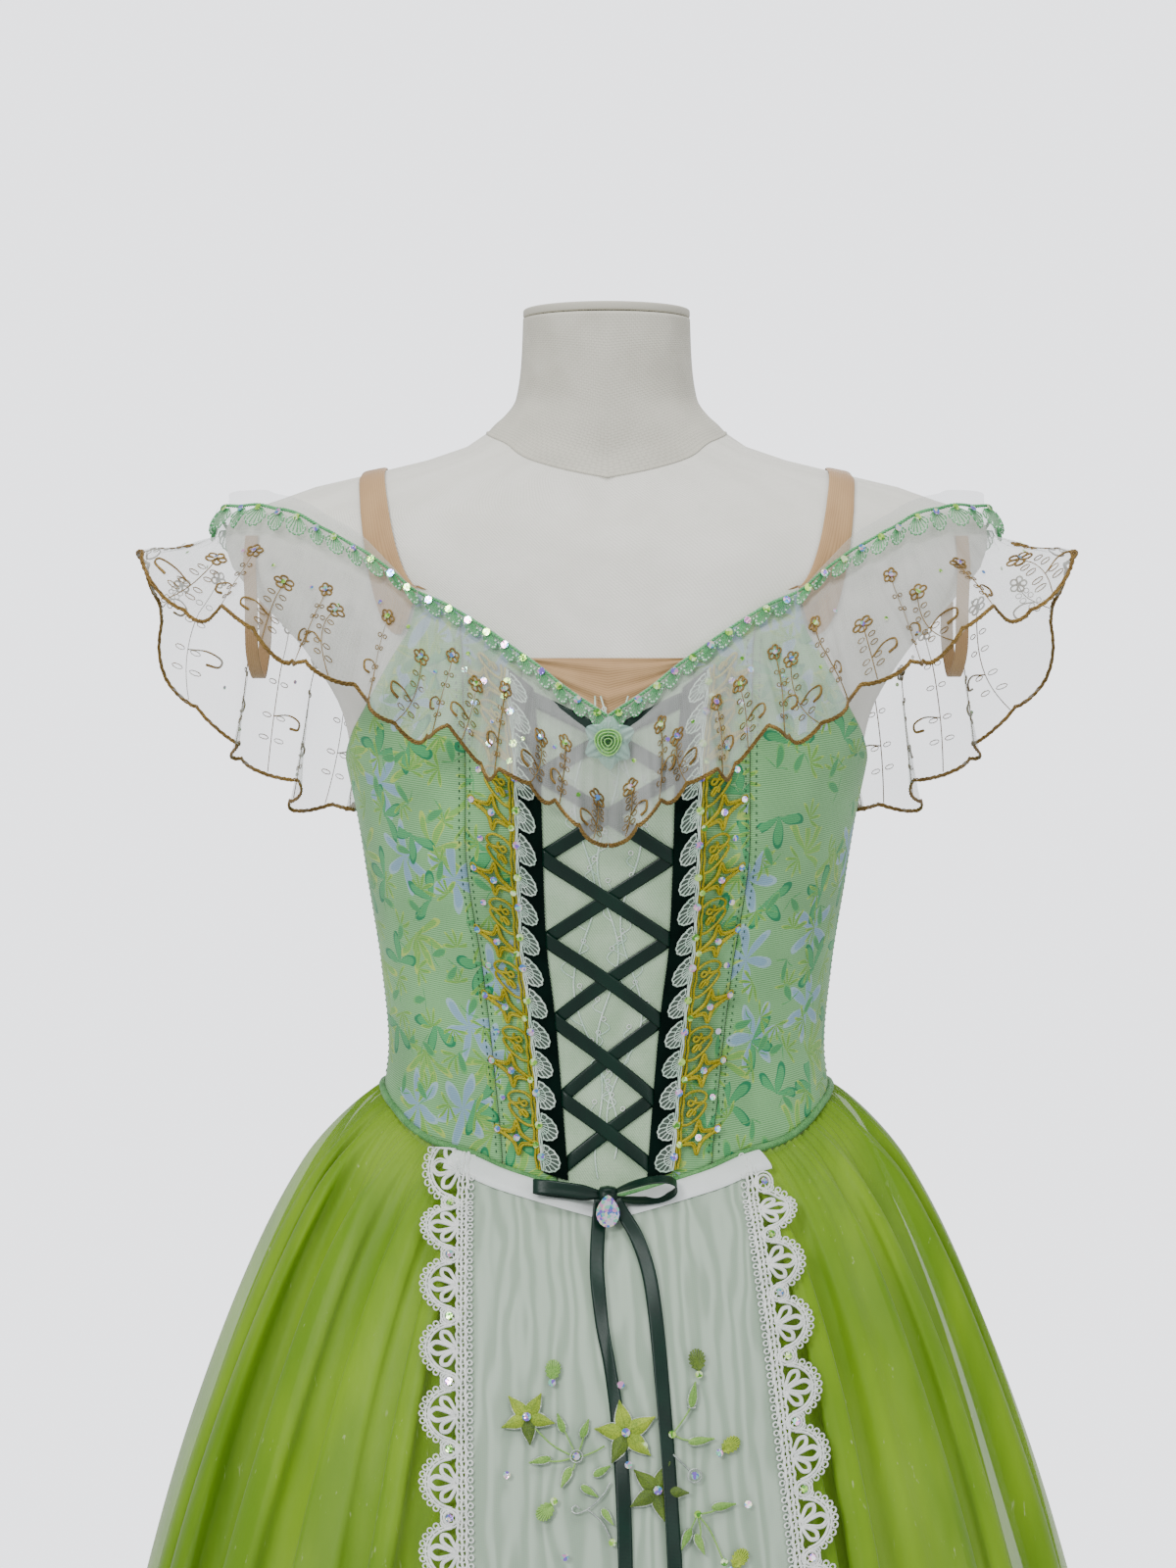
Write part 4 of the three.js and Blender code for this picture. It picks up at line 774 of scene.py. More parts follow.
def motif_group() -> bpy.types.NodeTree:
    """Returns: the group that scatters plain flowers and leaf sprays over a cloth."""
    found = bpy.data.node_groups.get("Scattered motifs")
    if found:
        return found
    inputs = {"Place": "Vector", "Cells": "Float", "Petals": "Float", "Narrow": "Float", "Fan": "Float"}
    outputs = {"Inside": "Float", "Edge": "Float", "Chance": "Color"}
    graph, (place, count, petals, narrow, fan, *_), result = start_group("Scattered motifs", inputs, outputs)
    scaled = graph.scaled(place, count)
    cells = graph.add(
        "ShaderNodeTexVoronoi", {"Vector": scaled, "Scale": 1.0, "Randomness": 0.55},
        voronoi_dimensions="2D",
    )
    chance = graph.add("ShaderNodeSeparateColor", {0: cells.outputs["Color"]}).outputs[0]
    local = graph.vector("SUBTRACT", scaled, cells.outputs["Position"])
    inputs = {0: graph.vector("MULTIPLY", local, (1, 1, 0)), "Angle": graph.times(chance, 6.283)}
    turned = graph.add("ShaderNodeVectorRotate", inputs, rotation_type="Z_AXIS").outputs[0]
    radius = graph.add("ShaderNodeVectorMath", {0: turned}, operation="LENGTH").outputs["Value"]
    x, y = graph.add("ShaderNodeSeparateXYZ", {0: turned}).outputs[:2]
    angle = graph.math("ARCTAN2", y, x)
    lobes = graph.math("ABSOLUTE", graph.math("COSINE", graph.times(angle, graph.times(petals, 0.5))))
    shown = graph.math("LESS_THAN", graph.math("ABSOLUTE", angle), fan)
    reach = graph.times(graph.times(graph.math("POWER", lobes, narrow), shown), 0.46)
    depth = graph.math("SUBTRACT", reach, radius)
    edge = graph.times(graph.step(depth, -0.02, 0.0), graph.step(depth, 0.035, 0.075, 1.0, 0.0))
    for value, socket in zip((graph.step(depth, 0.0, 0.02), edge, cells.outputs["Color"]), result):
        graph.feed(value, socket)
    return graph.tree


@dataclass(frozen=True)
class Finish:
    """A cloth of one colour: its weave, with painted shade in the weave's hollows, its soft spots and its
    gloss.
    """

    name: str
    slot: str
    colour: Colour
    # deep: the darker colour, painted shade in a weave's hollows and the darker end of the tone elsewhere.
    deep: Colour
    weave: Weave = Weave.PLAIN
    pitch: float = 0.0011
    relief: float = 0.25
    roughness: float = 0.75
    sheen: float = 0.15
    specular: float = 0.3
    sheer: float = 1.0
    metal: float = 0.0
    spots: float = 40.0

    def material(self) -> bpy.types.Material:
        """Returns: the material, built once."""
        found = bpy.data.materials.get(self.name)
        if found:
            return found
        made = bpy.data.materials.new(self.name)
        made.use_nodes = True
        surface = made.node_tree.nodes["Principled BSDF"]
        surface.inputs["Roughness"].default_value = self.roughness
        surface.inputs["Sheen Weight"].default_value = self.sheen
        surface.inputs["Sheen Roughness"].default_value = 0.4
        surface.inputs["Specular IOR Level"].default_value = self.specular
        surface.inputs["Metallic"].default_value = self.metal
        surface.inputs["Alpha"].default_value = self.sheer
        self.dress(Graph(made.node_tree), surface)
        return made

    def dress(self, graph: Graph, surface: bpy.types.Node) -> None:
        """Args: graph: the material's nodes. surface: its shader."""
        place = graph.place("UV")
        height = self.threads(graph, place)
        spots = graph.step(graph.noise(place, self.spots, 4.0), 0.3, 0.7)
        # The weave's hollows take the deep colour as painted shade; the soft spots are the cloth's own uneven
        # tone.
        self.paint(graph, surface, graph.times(graph.math("ADD", spots, height), 0.5))
        self.bump(graph, surface, height, self.pitch * 0.3)

    def threads(self, graph: Graph, place: Value) -> Socket:
        """Args: graph: the nodes. place: place on the cloth. Returns: the threads' height."""
        return graph.group(weave_group(self.weave), place, 1 / self.pitch).outputs[0]

    def paint(self, graph: Graph, surface: bpy.types.Node, share: Value) -> None:
        """Args: graph, surface: the material. share: 0 for the deep colour to 1 for the main one."""
        graph.feed(graph.mix(share, tint(*self.deep), tint(*self.colour)), surface.inputs["Base Color"])

    def bump(self, graph: Graph, surface: bpy.types.Node, height: Value, distance: float) -> None:
        """Args: graph, surface: the material. height: 0 to 1. distance: of a full step, in metres."""
        inputs = {"Strength": self.relief, "Distance": distance, "Height": height}
        graph.feed(graph.add("ShaderNodeBump", inputs).outputs[0], surface.inputs["Normal"])


@dataclass(frozen=True)
class Motif:
    """One kind of woven figure. rare is the share of its places that stay empty."""

    cells: float
    petals: float
    narrow: float
    fan: float
    shift: tuple[float, float]
    inside: Colour
    edge: Colour
    rare: float


@dataclass(frozen=True)
class Brocade(Finish):
    """Ribbed mint brocade with woven star flowers, leaf sprays and outlined leaves."""

    motifs: tuple[Motif, ...] = (
        Motif(21.0, 9.0, 1.5, 1.5, (0.0, 0.0), (70, 164, 78), (176, 206, 96), 0.1),
        Motif(24.0, 6.0, 1.6, 3.2, (0.013, 0.4), (118, 158, 186), (160, 194, 198), 0.5),
        Motif(27.0, 5.0, 1.5, 1.5, (0.4, 0.02), (96, 186, 112), (26, 132, 84), 0.3),
        Motif(46.0, 9.0, 2.0, 1.7, (0.7, 0.3), (48, 146, 66), (166, 204, 88), 0.15),
        Motif(38.0, 4.0, 2.2, 1.3, (0.2, 0.9), (34, 140, 88), (112, 182, 104), 0.35),
    )

    def dress(self, graph: Graph, surface: bpy.types.Node) -> None:
        """Args: graph: the material's nodes. surface: its shader."""
        place = graph.place("UV")
        bend = graph.noise(place, 55.0, 1.0, output=1)
        swayed = graph.vector("ADD", place, graph.vector("MULTIPLY", bend, (0.006, 0.006, 0)))
        height = self.threads(graph, place)
        # The rib grooves take the deep colour: painted shade between the ribs.
        colour, raised = graph.mix(height, tint(*self.deep), tint(*self.colour)), height
        for motif in self.motifs:
            moved = graph.vector("ADD", swayed, (*motif.shift, 0))
            shape = (motif.cells, motif.petals, motif.narrow, motif.fan)
            inside, edge, spot = graph.group(motif_group(), moved, *shape).outputs[:3]
            chance = graph.add("ShaderNodeSeparateColor", {0: spot}).outputs[1]
            shown = graph.math("GREATER_THAN", chance, motif.rare)
            streak = graph.mix(graph.times(height, 0.6), tint(*motif.inside), tint(*motif.edge))
            colour = graph.mix(graph.times(inside, shown), colour, streak)
            colour = graph.mix(graph.times(edge, shown), colour, tint(*motif.edge))
            raised = graph.math("ADD", raised, graph.times(graph.times(inside, shown), 0.7))
        soft = graph.step(graph.noise(place, 18.0), 0.3, 0.7, 0.82, 1.06)
        graph.feed(graph.scaled(colour, soft), surface.inputs["Base Color"])
        self.bump(graph, surface, raised, 0.0002)


@dataclass(frozen=True)
class Moire(Finish):
    """Sheer organza with watermark lines."""

    bands: float = 30.0

    def dress(self, graph: Graph, surface: bpy.types.Node) -> None:
        """Args: graph: the material's nodes. surface: its shader."""
        place = graph.place("UV")
        squeezed = graph.vector("MULTIPLY", place, (1.0, 0.22, 1.0))
        swirl = graph.noise(squeezed, 22.0, 3.0, output=1)
        moved = graph.vector("ADD", squeezed, graph.vector("MULTIPLY", swirl, (0.09, 0.09, 0)))
        inputs = {"Vector": moved, "Scale": self.bands, "Distortion": 3.0, "Detail": 3.0, "Detail Scale": 1.6}
        lines = graph.add("ShaderNodeTexWave", inputs, bands_direction="X").outputs[1]
        # A quarter of the tone follows the weave: painted shade in its hollows.
        tone = graph.math("ADD", graph.times(lines, 0.75), graph.times(self.threads(graph, place), 0.25))
        self.paint(graph, surface, tone)
        sheer = graph.step(lines, 0.1, 0.9, self.sheer - 0.08, self.sheer + 0.05)
        graph.feed(sheer, surface.inputs["Alpha"])
        self.bump(graph, surface, tone, 0.0003)


@dataclass(frozen=True)
class Chiffon(Finish):
    """Sheer crinkled chiffon with short glinting creases."""

    glints: Colour = (214, 226, 168)

    def dress(self, graph: Graph, surface: bpy.types.Node) -> None:
        """Args: graph: the material's nodes. surface: its shader."""
        place = graph.place("Object")
        drawn = graph.vector("MULTIPLY", place, (1.0, 1.0, 0.16))
        crinkle = graph.noise(drawn, 420.0, 3.0)
        broad = graph.step(graph.noise(drawn, 26.0, 3.0), 0.3, 0.7)
        base = graph.mix(broad, tint(*self.deep), tint(*self.colour))
        patches = graph.step(graph.noise(place, 30.0), 0.45, 0.62)
        # The pale dashes on the crinkles are a painted highlight.
        glint = graph.times(graph.times(graph.step(crinkle, 0.66, 0.76), patches), 0.6)
        graph.feed(graph.mix(glint, base, tint(*self.glints)), surface.inputs["Base Color"])
        self.bump(graph, surface, crinkle, 0.0006)


@dataclass(frozen=True)
class Plush(Finish):
    """Velvet: a deep pile with brushed patches."""

    def dress(self, graph: Graph, surface: bpy.types.Node) -> None:
        """Args: graph: the material's nodes. surface: its shader."""
        place = graph.place("Object")
        pile = graph.noise(place, 2600.0)
        brushed = graph.step(graph.noise(place, 70.0, 3.0), 0.35, 0.7)
        self.paint(graph, surface, graph.times(graph.math("ADD", pile, brushed), 0.5))
        self.bump(graph, surface, pile, 0.0004)


@dataclass(frozen=True)
class Thread(Finish):
    """Cord, stitches and metal thread: many fine strands, here and there darker."""

    def dress(self, graph: Graph, surface: bpy.types.Node) -> None:
        """Args: graph: the material's nodes. surface: its shader."""
        place = graph.place("Object")
        strands = graph.noise(place, 1500.0, 1.0)
        fine = graph.times(graph.step(strands, 0.35, 0.65), 0.6)
        worn = graph.times(graph.step(graph.noise(place, 90.0), 0.35, 0.65), 0.4)
        self.paint(graph, surface, graph.math("ADD", fine, worn))
        self.bump(graph, surface, strands, 0.0004)


@dataclass(frozen=True)
class Stone(Finish):
    """Cut stones whose facets catch several colours."""

    flashes: tuple[Colour, ...] = ()

    def dress(self, graph: Graph, surface: bpy.types.Node) -> None:
        """Args: graph: the material's nodes. surface: its shader."""
        place = graph.place("Object")
        cells = graph.add("ShaderNodeTexVoronoi", {"Vector": place, "Scale": 640.0})
        pick = graph.add("ShaderNodeSeparateColor", {0: cells.outputs["Color"]}).outputs[0]
        ramp = graph.add("ShaderNodeValToRGB", {0: pick})
        # The flashes in the ramp are painted reflections on the facets.
        stops, colours = ramp.color_ramp, [self.colour, *self.flashes, self.deep]
        for i in range(1, len(colours) - 1):
            stops.elements.new(i / (len(colours) - 1))
        for stop, colour in zip(stops.elements, colours):
            stop.color = tint(*colour)
        stops.interpolation = "CONSTANT"
        graph.feed(ramp.outputs[0], surface.inputs["Base Color"])
        self.bump(graph, surface, graph.noise(place, 900.0, 0.0), 0.0003)


@dataclass(frozen=True)
class Enamel(Finish):
    """Painted steel with a faint grain."""

    def dress(self, graph: Graph, surface: bpy.types.Node) -> None:
        """Args: graph: the material's nodes. surface: its shader."""
        place = graph.place("Object")
        smudge = graph.step(graph.noise(place, 12.0, 3.0), 0.35, 0.7)
        self.paint(graph, surface, smudge)
        gloss = graph.step(smudge, 0, 1, self.roughness - 0.06, self.roughness + 0.06)
        graph.feed(gloss, surface.inputs["Roughness"])
        self.bump(graph, surface, graph.noise(place, 700.0, 3.0), 0.0002)


CANVAS = Finish(
    "Form twill", "canvas", (240, 238, 228), (222, 220, 208), Weave.TWILL, 0.0015, 0.35, 0.85, 0.1,
)
LINEN = Finish("Neck linen", "linen", (212, 209, 194), (188, 185, 170), Weave.PLAIN, 0.0012, 0.4, 0.9, 0.1)
STEEL = Enamel(
    "Stand paint", "stand_metal", (222, 222, 218), (206, 206, 202), roughness=0.42, sheen=0.0, relief=0.15,
)
NUDE = Finish(
    "Skin tone stretch net", "nude_stretch", (188, 152, 108), (164, 128, 88), Weave.RIB, 0.0011, 0.35,
    0.65, 0.25,
)
BROCADE = Brocade(
    "Mint brocade", "brocade", (148, 204, 140), (78, 140, 80), Weave.RIB, 0.0011, 0.55, 0.62, 0.25,
)
MINT_NET = Finish(
    "Mint net", "mint_lace", (192, 216, 184), (150, 182, 142), Weave.TWILL, 0.0016, 0.5, 0.7, 0.2,
)
VELVET = Plush(
    "Dark velvet", "velvet", (6, 26, 20), (0, 8, 6), relief=0.5, roughness=0.95, sheen=0.12, specular=0.05,
)
DARK_SATIN = Finish(
    "Dark green satin", "dark_satin", (0, 44, 30), (0, 18, 12), Weave.RIB, 0.0006, 0.2, 0.32, 0.0, 0.3,
)
MINT_THREAD = Thread(
    "Mint lace thread", "mint_trim", (112, 190, 126), (60, 140, 82), relief=0.4, roughness=0.6,
)
PICOT_THREAD = Thread(
    "Picot thread", "picot_lace", (226, 238, 226), (170, 206, 182), relief=0.4, roughness=0.6,
)
MINT_VEIL = Finish(
    "Mint lace net", "mint_trim", (196, 222, 196), (158, 196, 160), Weave.PLAIN, 0.0014, 0.3, 0.7, 0.1,
    sheer=0.4,
)
PICOT_VEIL = Finish(
    "Picot net", "picot_lace", (214, 230, 216), (176, 206, 184), Weave.PLAIN, 0.0014, 0.3, 0.7, 0.1,
    sheer=0.16,
)
LEAF_THREAD = Thread(
    "Leaf green thread", "brocade", (112, 172, 104), (62, 122, 62), relief=0.4, roughness=0.6,
)
GOLD = Thread(
    "Gold cord", "gold_lace", (184, 172, 34), (134, 124, 12), relief=0.5, roughness=0.42, sheen=0.0,
    metal=0.3,
)
OLD_GOLD = Thread(
    "Antique gold cord", "tulle", (150, 120, 60), (96, 72, 30), relief=0.5, roughness=0.45, sheen=0.0,
    metal=0.3,
)
TULLE = Finish(
    "White tulle", "tulle", (232, 234, 230), (206, 210, 204), Weave.PLAIN, 0.0013, 0.3, 0.6, 0.2,
    sheer=0.33, spots=60.0,
)
OVERLAY = Chiffon(
    "Lime chiffon", "chiffon", (132, 174, 6), (104, 148, 0), relief=0.4, roughness=0.5, sheen=0.15,
    sheer=0.7,
)
UNDER = Chiffon(
    "Deep lime net", "under_tulle", (206, 224, 136), (150, 184, 50), relief=0.4, roughness=0.6, sheen=0.2,
)
ORGANZA = Moire(
    "Moire organza", "organza", (180, 198, 178), (158, 180, 158), relief=0.1, roughness=0.5, sheen=0.1,
    specular=0.3, sheer=0.88,
)
WHITE_SATIN = Finish(
    "White satin", "white_satin", (238, 243, 240), (214, 222, 217), Weave.RIB, 0.0007, 0.3, 0.45, 0.2, 0.45,
)
WHITE_THREAD = Thread(
    "White lace thread", "white_satin", (244, 246, 242), (206, 212, 206), relief=0.5, roughness=0.7,
)
PETAL = Finish(
    "Pale organza", "petal", (176, 210, 196), (136, 178, 162), Weave.RIB, 0.0008, 0.3, 0.4, 0.2, 0.5,
    sheer=0.6,
)
ROSE = Finish(
    "Lime satin", "rose_satin", (196, 244, 156), (160, 220, 120), Weave.RIB, 0.0006, 0.2, 0.35, 0.2, 0.6,
)
STITCH = Thread(
    "Lime stitches", "stitch", (178, 200, 52), (112, 146, 24), relief=0.6, roughness=0.45, sheen=0.3,
    specular=0.5,
)
OLIVE_STITCH = Thread(
    "Olive stitches", "stitch", (104, 132, 24), (58, 84, 14), relief=0.6, roughness=0.45, sheen=0.3,
    specular=0.5,
)
PALE_STITCH = Thread(
    "Pale green stitches", "stitch", (150, 192, 96), (104, 156, 62), relief=0.6, roughness=0.5, sheen=0.3,
)
SILVER = Thread(
    "Silver cord", "white_satin", (196, 204, 196), (130, 142, 134), relief=0.6, roughness=0.35,
    sheen=0.0, metal=0.6,
)
DARK_THREAD = Thread("Dark stitches", "brocade", (44, 92, 58), (20, 60, 36), relief=0.4, roughness=0.7)
CLEAR = Stone(
    "Iridescent stones", "crystal", (236, 232, 250), (168, 196, 236), relief=0.3, roughness=0.08,
    sheen=0.0, specular=0.9, metal=0.75,
    flashes=((240, 170, 216), (150, 236, 200), (255, 244, 214), (150, 120, 226), (90, 150, 220)),
)
PERIDOT = Stone(
    "Peridot stones", "crystal", (150, 206, 70), (40, 110, 30), relief=0.3, roughness=0.1, sheen=0.0,
    specular=0.9, metal=0.45, flashes=((196, 236, 110), (80, 150, 40), (226, 250, 190)),
)
FLOOR_PAINT = Enamel(
    "Floor paint", "stand_metal", (222, 223, 226), (216, 217, 220), roughness=0.6, sheen=0.0, relief=0.05,
)


# The stage and the dress form


@dataclass
class Studio:
    """Camera at the photo's place, a pale wall and floor, and soft lights."""

    place: tuple[float, float, float] = (-0.010, -1.5, 1.288)
    tilt: float = 86.764
    view: float = 31.56
    wall: tuple[float, float, float] = (226, 227, 232)
    glow: float = 0.95
    seen_wall: float = 3.3
    lamps: tuple[tuple[str, tuple[float, float, float], float, float], ...] = (
        ("key_light", (-1.5, -2.4, 2.7), 1.0, 50.0),
        ("fill_light", (1.9, -2.2, 1.7), 1.8, 12.0),
        ("top_light", (0.1, -0.4, 3.0), 0.9, 20.0),
        ("back_light", (0.6, 2.2, 2.2), 1.4, 10.0),
    )

    def camera(self) -> None:
        """Sets the camera that matches the photo."""
        data = bpy.data.cameras.new("photo_camera")
        data.sensor_fit = "VERTICAL"
        data.sensor_height = 24.0
        data.lens = 12.0 / math.tan(math.radians(self.view / 2))
        eye = bpy.data.objects.new("photo_camera", data)
        eye.location = self.place
        eye.rotation_euler = (math.radians(self.tilt), 0.0, 0.0)
        bpy.context.scene.collection.objects.link(eye)
        bpy.context.scene.camera = eye

    def build(self) -> None:
        """Adds the wall's colour, the floor and the lights."""
        world = bpy.data.worlds.new("pale_wall")
        world.use_nodes = True
        graph = Graph(world.node_tree)
        glow = world.node_tree.nodes["Background"]
        glow.inputs[0].default_value = tint(*self.wall)
        glow.inputs[1].default_value = self.glow
        seen = graph.add("ShaderNodeBackground", {0: tint(*self.wall), 1: self.seen_wall})
        eye = graph.add("ShaderNodeLightPath").outputs["Is Camera Ray"]
        both = graph.add("ShaderNodeMixShader", {0: eye, 1: glow.outputs[0], 2: seen.outputs[0]})
        world.node_tree.links.new(both.outputs[0], world.node_tree.nodes["World Output"].inputs[0])
        bpy.context.scene.world = world
        disc = bmesh.new()
        bmesh.ops.create_circle(disc, cap_ends=True, segments=96, radius=1.9)
        floor = add_object("floor", kept("floor", disc), smooth=False)
        floor.data.materials.append(FLOOR_PAINT.material())
        for name, place, size, power in self.lamps:
            data = bpy.data.lights.new(name, "AREA")
            data.shape = "DISK"
            data.size, data.energy = size, power
            lamp = bpy.data.objects.new(name, data)
            lamp.location = place
            aim = Vector((0, 0, 1.15)) - Vector(place)
            lamp.rotation_euler = aim.to_track_quat("-Z", "Y").to_euler()
            bpy.context.scene.collection.objects.link(lamp)


@dataclass
class DressForm:
    """Padded torso, neck with its cap, pole and base."""

    bottom: float = 740
    neck_top: float = 1454
    seam_depth: float = 0.7
    middle_y: float = 10
    under_share: float = 0.06
    side_share: float = 0.88
    cap_profile: Route = ((0, 1454.3), (45, 1454.3), (45, 1458.8), (0, 1458.8))
    foot_profile: Route = (
        (0, 0), (172, 0), (175, 3), (175, 12), (170, 16), (24, 20), (24, 40), (0, 40),
    )
    pole_profile: Route = ((0, 40.3), (14, 40.3), (14, 739.7), (0, 739.7))

    def torso(self, u: Array, v: Array) -> Array:
        """Args: u: round. v: from the bottom's middle to the neck seam. Returns: points."""
        angle = u * 360 - 180
        rise = np.clip((v - self.under_share) / (1 - self.under_share), 0, 1)
        z = blend(self.bottom, NECK_SEAM(np.abs(angle)), rise)
        seam = np.exp(-((angle / 0.8) ** 2)) + np.exp(-(((np.abs(angle) - 90) / 0.8) ** 2))
        points = BODY.point(angle, z, -self.seam_depth * seam - 1.5 * (1 - ease(0, 0.02, rise)))
        points[..., :2] *= np.clip(v / self.under_share, 0, 1)[..., None]
        return points

    def neck(self, u: Array, v: Array) -> Array:
        """Args: u: round. v: from the seam to the top's middle. Returns: points."""
        angle = u * 360 - 180
        rise = np.clip(v / self.side_share, 0, 1)
        z = blend(NECK_SEAM(np.abs(angle)) + 0.3, self.neck_top, rise)
        points = BODY.point(angle, z, 0.4 * np.sin(np.pi * np.clip(rise * 8, 0, 1)))
        inward = np.clip((1 - v) / (1 - self.side_share), 0, 1)
        points[..., 0] *= inward
        points[..., 1] = blend(self.middle_y, points[..., 1], inward)
        return points

    def build(self) -> None:
        """Adds the form and the stand."""
        torso = cloth_mesh("form_cover", (180, 96), self.torso, (0.9, 0.65), ring=True)
        finish_piece("form_cover", torso, CANVAS, ("form_torso",))
        neck = cloth_mesh("form_neck_cover", (96, 48), self.neck, (0.29, 0.08), ring=True)
        finish_piece("form_neck_cover", neck, LINEN, ("form_neck",))
        cap = spun("form_cap", self.cap_profile, 96, 1.2)
        cap.transform(Matrix.Translation((0, self.middle_y * MM, 0)))
        finish_piece("form_cap", cap, LINEN, ("neck_cap",))
        foot = spun("stand_foot", self.foot_profile, 128, 0.9)
        finish_piece("stand_foot", foot, STEEL, ("stand_base",))
        pole = spun("stand_tube", self.pole_profile, 48, 0.8)
        finish_piece("stand_tube", pole, STEEL, ("stand_pole",))
        self.seam_stitches()

    def seam_stitches(self) -> None:
        """Adds the cord that covers the neck seam."""
        threads = Threads()
        angle = np.arange(-180, 180, 3.0)
        threads.add(BODY.point(angle, NECK_SEAM(np.abs(angle)) + 0.2, 0.1), 0.6, closed=True)
        finish_piece("neck_seam_cord", threads.sweep("neck_seam_cord", 1), LINEN)


# The bodice


WAIST_RADIUS = 0.125


def upright(angle: float) -> Callable[[Array], Array]:
    """Args: angle: degrees. Returns: a seam that stays at that angle."""

    def at(z: Array) -> Array:
        """Args: z: height. Returns: the seam's angle."""
        return angle + 0 * z

    return at


def under_velvet(z: Array) -> Array:
    """Args: z: height. Returns: the angle where the net and the front panel meet."""
    return BODY.angle_at(LACED_EDGE(z) + 6, z)


SIDE_SEAM, BACK_SEAM, BACK_MIDDLE = upright(90), upright(139), upright(180)


def on_front(x: Array, z: Array, lift: Array | float) -> Array:
    """Args: x: distance across. z: height. lift: off the skin. Returns: points."""
    return BODY.point(BODY.angle_at(x, z), z, lift)


def wrap_cloth_place(mesh: bpy.types.Mesh, tilt: float = 0.0, shift: float = 0.0) -> None:
    """Lays one cloth round the body, so that its ribs run level.

    Args:
        mesh: the panel.
        tilt: the grain's turn in degrees.
        shift: where on the cloth it was cut, in metres.
    """
    points = read_points(mesh)
    across = np.arctan2(points[:, 0], 0.005 - points[:, 1]) * WAIST_RADIUS
    turn = math.radians(tilt)
    u = across * math.cos(turn) - points[:, 2] * math.sin(turn) + shift
    v = across * math.sin(turn) + points[:, 2] * math.cos(turn)
    set_cloth_place(mesh, np.column_stack([u, v]))


@dataclass
class Panel:
    """One cut panel of the bodice, from seam to seam."""

    node: str
    start: Callable[[Array], Array]
    end: Callable[[Array], Array]
    cells: tuple[int, int]
    tilt: float
    shift: float

    def place(self, sign: float) -> Place:
        """Args: sign: side. Returns: the panel's shape as a function of two shares."""

        def at(share: Array, rise: Array) -> Array:
            """Args: share: seam to seam. rise: waist to top. Returns: points."""
            angle, z = np.full_like(share, 40.0), np.full_like(share, 1150.0)
            for _ in range(12):
                angle = blend(self.start(z) + 0.09, self.end(z) - 0.09, share)
                z = blend(WAIST_EDGE(angle), bodice_top(angle), rise)
            edge = np.minimum(share, 1 - share) * (self.end(z) - self.start(z)) * 2.3
            press = 1.1 * np.exp(-((edge / 2.2) ** 2))
            creases = 0.35 * np.sin(z / 9 + 3 * np.sin(angle / 11)) * ease(0.35, 0.0, rise)
            puff = 0.3 * np.sin(np.pi * share)
            return BODY.point(sign * angle, z, BODICE - 0.3 - press + puff + creases * np.sin(np.pi * share))

        return at


